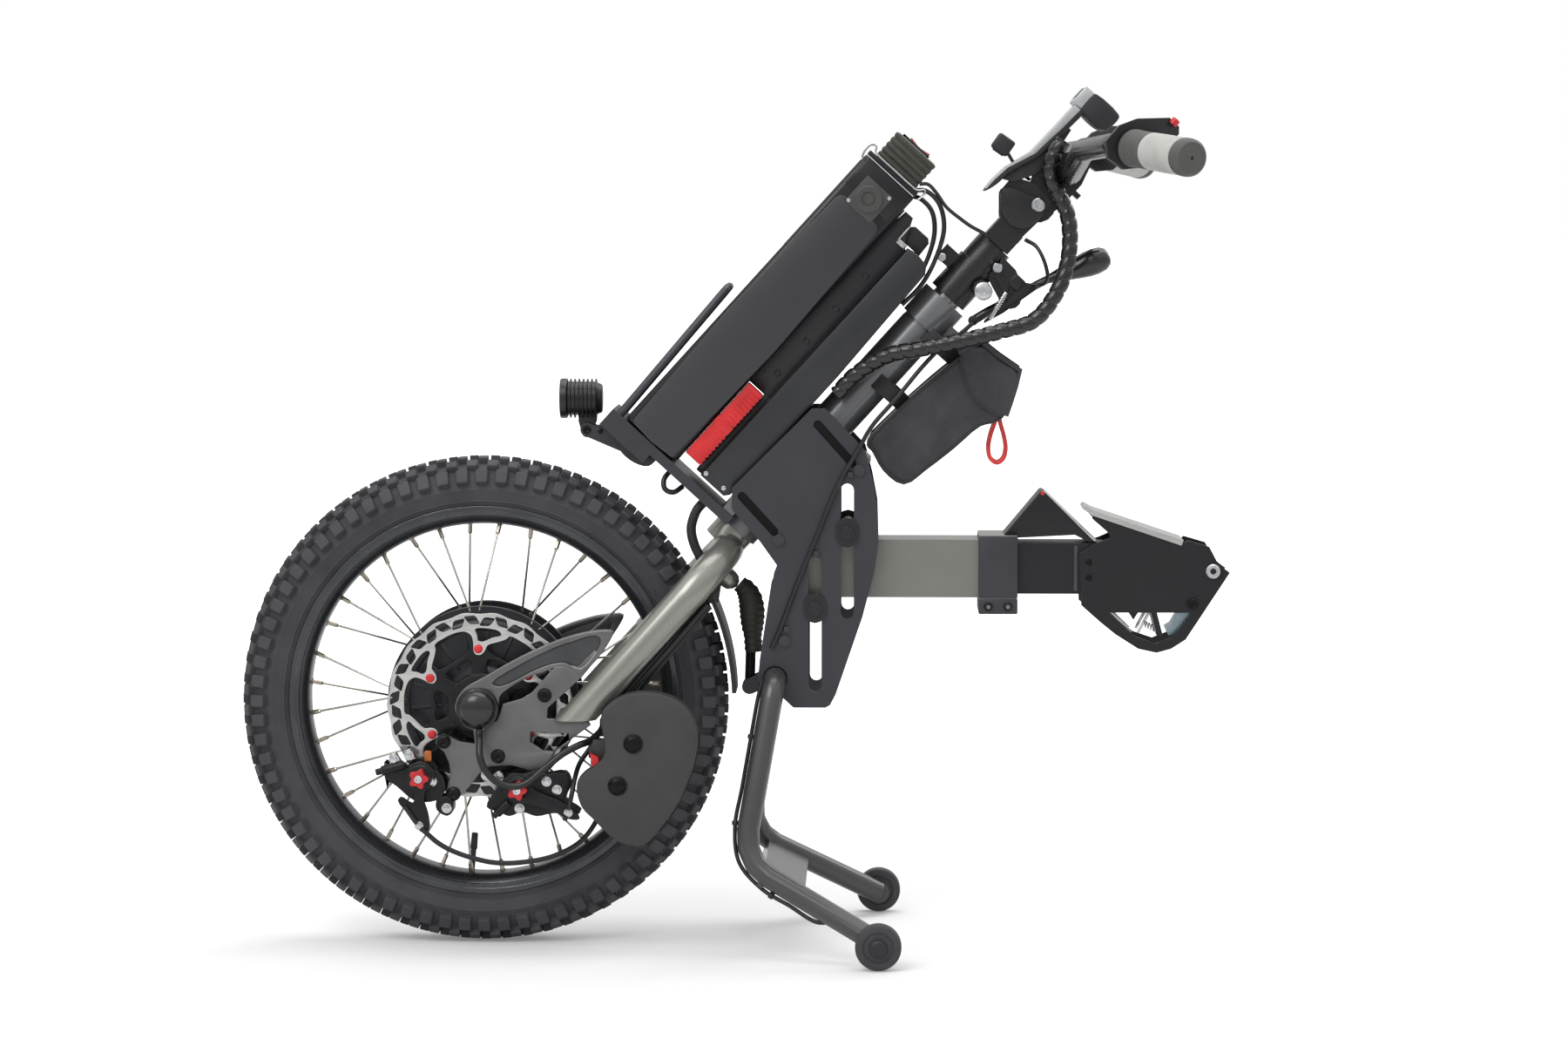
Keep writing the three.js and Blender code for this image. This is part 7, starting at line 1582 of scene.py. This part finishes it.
class HANDCYCLE_OT_dock(Maker, bpy.types.Operator):
    """Builds the dock's bright bolts, rivets, weld strip, spring and the wedge's steel face"""
    bl_idname = "handcycle.dock"
    bl_label = "Docking head"

    def execute(self, context):
        bm = bmesh.new()
        for side in (-1, 1):
            lathe(bm, [(0, 3.2), (2.7, 3.2), (3.0, 4.9), (5.8, 4.9), (7.0, 3.8), (7.0, 0), (0, 0)],
                  (706, side * 28.9, 366), (0, side, 0), 28)
        part("dock_bolts", bm, GROUND, "extension", "bright_steel")
        bm = bmesh.new()
        plate(bm, [WEDGE_FACE], -24.4, 24.4, 0.3)
        part("wedge_face", bm, GROUND, "extension", "stainless")
        bm = bmesh.new()
        for side in (-1, 1):
            rod(bm, (541.6, side * 24.6, 440.6), (541.6, side * 23.2, 440.6), 1.9, 16)
        part("wedge_mark", bm, GROUND, "extension", "red_plastic")
        bm = bmesh.new()
        plate(bm, [WEDGE_SIDE], -24.2, 24.2, 0.5)
        part("wedge_body", bm, GROUND, "extension", "dock_black", ("dock_wedge",))
        bm = bmesh.new()
        for side in (-1, 1):
            lathe(bm, [(0, 2.6), (2.2, 2.6), (2.5, 4.2), (4.6, 4.2), (5.4, 3.4), (5.4, 0), (0, 0)],
                  (687, side * 28.9, 334), (0, side, 0), 24)
            for z in (374.1, 359.3):
                dome(bm, (586.4, side * 28.9, z), (0, side, 0), 3.0, 1.8, 18)
        part("dock_pins", bm, GROUND, "extension", "dark_bolt")
        bm = bmesh.new()
        plate(bm, [[(621.1, 331.4), (640.1, 331.4), (630.7, 316.4)]], -12.0, 12.0, 0.4)
        part("latch_wedge", bm, GROUND, "extension", "dock_black")
        bm = bmesh.new()
        for strip in LATCH_STRIPS:
            plate(bm, [strip], -21.4, -19.0, 0.3)
            plate(bm, [strip], 19.0, 21.4, 0.3)
        part("latch_strips", bm, GROUND, "extension", "stainless")
        bm = bmesh.new()
        for side in (-1, 1):
            block(bm, (572.6, side * 24.5 - 0.4, 346), (575.6, side * 24.5 + 0.4, 389.6), 0.2)
        part("weld_bead", bm, GROUND, "extension", "pocket_alloy")
        bm = bmesh.new()
        coil = []
        for k in range(73):
            angle = FULL_TURN * k / 12
            along = k / 72
            coil.append(Vector((640 + 15 * along, -20 + math.cos(angle) * 3.1,
                                314 - 7 * along + math.sin(angle) * 3.1)))
        tube(bm, coil, 0.7, 8)
        part("hook_spring", bm, GROUND, "extension", "bright_steel")
        return {"FINISHED"}


class HANDCYCLE_OT_stand(Maker, bpy.types.Operator):
    """Builds the stand's rubber rollers with their hubs and the leg cable with its clips"""
    bl_idname = "handcycle.stand"
    bl_label = "Stand fittings"

    def execute(self, context):
        for side, name in ((-1, "near"), (1, "far")):
            low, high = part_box(f"foot_roller_{name}")
            middle = (low + high) / 2 / MM
            radius = (high.z - low.z) / 2 / MM - 0.1
            half = (high.y - low.y) / 2 / MM - 0.1
            bm = bmesh.new()
            profile = [(6.6, -half), (12.4, -half), (12.9, -half + 1.0), (14.4, -half + 1.0), (14.9, -half),
                       (radius - 2.4, -half), (radius - 0.6, -half + 0.8), (radius, -half + 2.6)]
            profile += [(r, -h) for r, h in profile[::-1]]
            lathe(bm, profile, middle, (0, 1, 0), 48, closed=True)
            place = Matrix.Scale(MM, 4)
            part(f"roller_{name}", bm, place, f"roller_{name}", "tyre_rubber",
                 (f"foot_roller_{name}",))
            bm = bmesh.new()
            out = middle + Vector((0, side * (half + 5.2), 0))
            dome(bm, out - Vector((0, side * 1.6, 0)), (0, side, 0), 8.4, 2.6, 24)
            rod(bm, middle + Vector((0, side * half * 0.4, 0)), out - Vector((0, side * 1.4, 0)), 8.4, 24,
                ease=0.6)
            part(f"roller_cap_{name}", bm, place, "stand", "moulded_black")
        bm = bmesh.new()
        route = [(272, -66, 262), (268.3, -68.7, 247.6), (261.2, -74.4, 207.6), (253.2, -80.8, 161.6),
                 (246.5, -86.2, 123.7), (250.8, -93.5, 90.6), (273.2, -103.9, 66.7), (299.3, -113.6, 52.6),
                 (325.3, -123.2, 38.6), (339.1, -126.8, 39.2)]
        line, _ = evenly(through(route, 12), 3.0)
        tube(bm, line, 2.0, 12)
        part("leg_cable", bm, GROUND, "stand", "cable_jacket")
        bm = bmesh.new()
        for index in (18, 46, 74):
            spot = line[min(index, len(line) - 2)]
            way = (line[min(index + 1, len(line) - 1)] - spot).normalized()
            rod(bm, spot - way * 2.2, spot + way * 2.2, 3.3, 14, ease=0.4)
        part("leg_clips", bm, GROUND, "stand", "moulded_black")
        return {"FINISHED"}


class HANDCYCLE_OT_stage(Maker, bpy.types.Operator):
    """Makes the pale floor, the soft lamps and the camera at the photograph's angle"""
    bl_idname = "handcycle.stage"
    bl_label = "Stage"

    def execute(self, context):
        scene = context.scene
        bm = bmesh.new()
        bmesh.ops.create_grid(bm, x_segments=8, y_segments=8, size=30.0,
                              matrix=Matrix.Translation((0, 20, -0.0005)))
        mesh = bpy.data.meshes.new("floor")
        bm.to_mesh(mesh)
        bm.free()
        material, tree, shader, spot = blank("Matt white studio floor")
        shader.inputs["Base Color"].default_value = (0.86, 0.86, 0.86, 1)
        shader.inputs["Roughness"].default_value = 0.9
        shader.inputs["Specular IOR Level"].default_value = 0.1
        path = add(tree, "ShaderNodeLightPath")
        seen = path.outputs["Is Camera Ray"]
        shader.inputs["Emission Color"].default_value = (1, 1, 1, 1)
        far = add(tree, "ShaderNodeVectorMath", {0: spot}, operation="LENGTH").outputs["Value"]
        glow = ramp(tree, far, 700.0, 2600.0, 0.16, 1.0)
        lift = add(tree, "ShaderNodeMath", {0: seen, 1: glow}, operation="MULTIPLY").outputs[0]
        tree.links.new(lift, shader.inputs["Emission Strength"])
        mesh.materials.append(material)
        floor = bpy.data.objects.new("floor", mesh)
        scene.collection.objects.link(floor)
        world = bpy.data.worlds.new("Studio")
        scene.world = world
        world.use_nodes = True
        tree = world.node_tree
        tree.nodes.clear()
        path = add(tree, "ShaderNodeLightPath")
        seen = add(tree, "ShaderNodeMath",
                   {0: path.outputs["Is Camera Ray"], 1: path.outputs["Is Transmission Ray"]},
                   operation="MAXIMUM").outputs[0]
        way = add(tree, "ShaderNodeSeparateXYZ",
                  {"Vector": add(tree, "ShaderNodeTexCoord").outputs["Generated"]})
        gloss = ramp(tree, way.outputs["Z"], -0.1, 0.9, 0.5, 1.15)
        soft = add(tree, "ShaderNodeMix", {0: path.outputs["Is Glossy Ray"], 2: 0.62, 3: gloss},
                   data_type="FLOAT")
        level = add(tree, "ShaderNodeMix", {0: seen, 2: soft.outputs[0], 3: 1.0},
                    data_type="FLOAT").outputs[0]
        sky = add(tree, "ShaderNodeBackground", {"Color": (1, 1, 1, 1), "Strength": level})
        add(tree, "ShaderNodeOutputWorld", {"Surface": sky.outputs[0]})
        for name, spot, size, power in (
                ("key", (-1.6, -2.6, 3.2), 2.2, 62), ("top", (0.3, 0.4, 3.0), 2.4, 34),
                ("rim", (2.2, 1.8, 2.2), 1.6, 20)):
            lamp = bpy.data.lights.new(name, "AREA")
            lamp.size = size
            lamp.energy = power
            holder = bpy.data.objects.new(name, lamp)
            holder.location = spot
            aim = Vector((0, 0, 0.4)) - Vector(spot)
            holder.rotation_euler = aim.to_track_quat("-Z", "Y").to_euler()
            scene.collection.objects.link(holder)
        pitch = 0.0809888
        yaw = -0.023819
        ahead = Vector((math.sin(yaw) * math.cos(pitch), math.cos(yaw) * math.cos(pitch), -math.sin(pitch)))
        right = Vector((math.cos(yaw), -math.sin(yaw), 0))
        up = right.cross(ahead)
        camera = bpy.data.cameras.new("camera")
        camera.sensor_fit = "HORIZONTAL"
        camera.sensor_width = 36.0
        camera.lens = 94.714
        camera.clip_end = 200
        holder = bpy.data.objects.new("camera", camera)
        holder.matrix_world = Matrix.Translation((0.14429, -4.0, 0.73456)) @ Matrix((
            (right.x, up.x, -ahead.x, 0), (right.y, up.y, -ahead.y, 0), (right.z, up.z, -ahead.z, 0),
            (0, 0, 0, 1)))
        scene.collection.objects.link(holder)
        scene.camera = holder
        scene.view_settings.view_transform = "Standard"
        return {"FINISHED"}


OPERATORS = [
    HANDCYCLE_OT_finishes, HANDCYCLE_OT_tyre, HANDCYCLE_OT_rim, HANDCYCLE_OT_rotor,
    HANDCYCLE_OT_hub, HANDCYCLE_OT_dropouts, HANDCYCLE_OT_calipers, HANDCYCLE_OT_weights,
    HANDCYCLE_OT_harness, HANDCYCLE_OT_cords, HANDCYCLE_OT_bag, HANDCYCLE_OT_boot,
    HANDCYCLE_OT_battery, HANDCYCLE_OT_electrics, HANDCYCLE_OT_lamp, HANDCYCLE_OT_grips,
    HANDCYCLE_OT_cockpit, HANDCYCLE_OT_joint, HANDCYCLE_OT_lever, HANDCYCLE_OT_arm,
    HANDCYCLE_OT_plates, HANDCYCLE_OT_dock, HANDCYCLE_OT_stand, HANDCYCLE_OT_stage,
]


class HANDCYCLE_PT_panel(bpy.types.Panel):
    """Lists the pieces and the settings"""
    bl_label = "Handcycle"
    bl_idname = "HANDCYCLE_PT_panel"
    bl_space_type = "VIEW_3D"
    bl_region_type = "UI"
    bl_category = "Handcycle"

    def draw(self, context):
        for group in (context.scene.handcycle_sizes, context.scene.handcycle_colours):
            for name in group.bl_rna.properties.keys():
                if name not in ("rna_type", "name"):
                    self.layout.prop(group, name)
        for operator in OPERATORS:
            self.layout.operator(operator.bl_idname)


CLASSES = [HandcycleColours, HandcycleSizes, *OPERATORS, HANDCYCLE_PT_panel]


def register():
    for item in CLASSES:
        bpy.utils.register_class(item)
    bpy.types.Scene.handcycle_colours = bpy.props.PointerProperty(type=HandcycleColours)
    bpy.types.Scene.handcycle_sizes = bpy.props.PointerProperty(type=HandcycleSizes)


def unregister():
    del bpy.types.Scene.handcycle_sizes
    del bpy.types.Scene.handcycle_colours
    for item in reversed(CLASSES):
        bpy.utils.unregister_class(item)


def main():
    register()
    for operator in OPERATORS:
        group, name = operator.bl_idname.split(".")
        getattr(getattr(bpy.ops, group), name)()


if __name__ == "__main__":
    main()
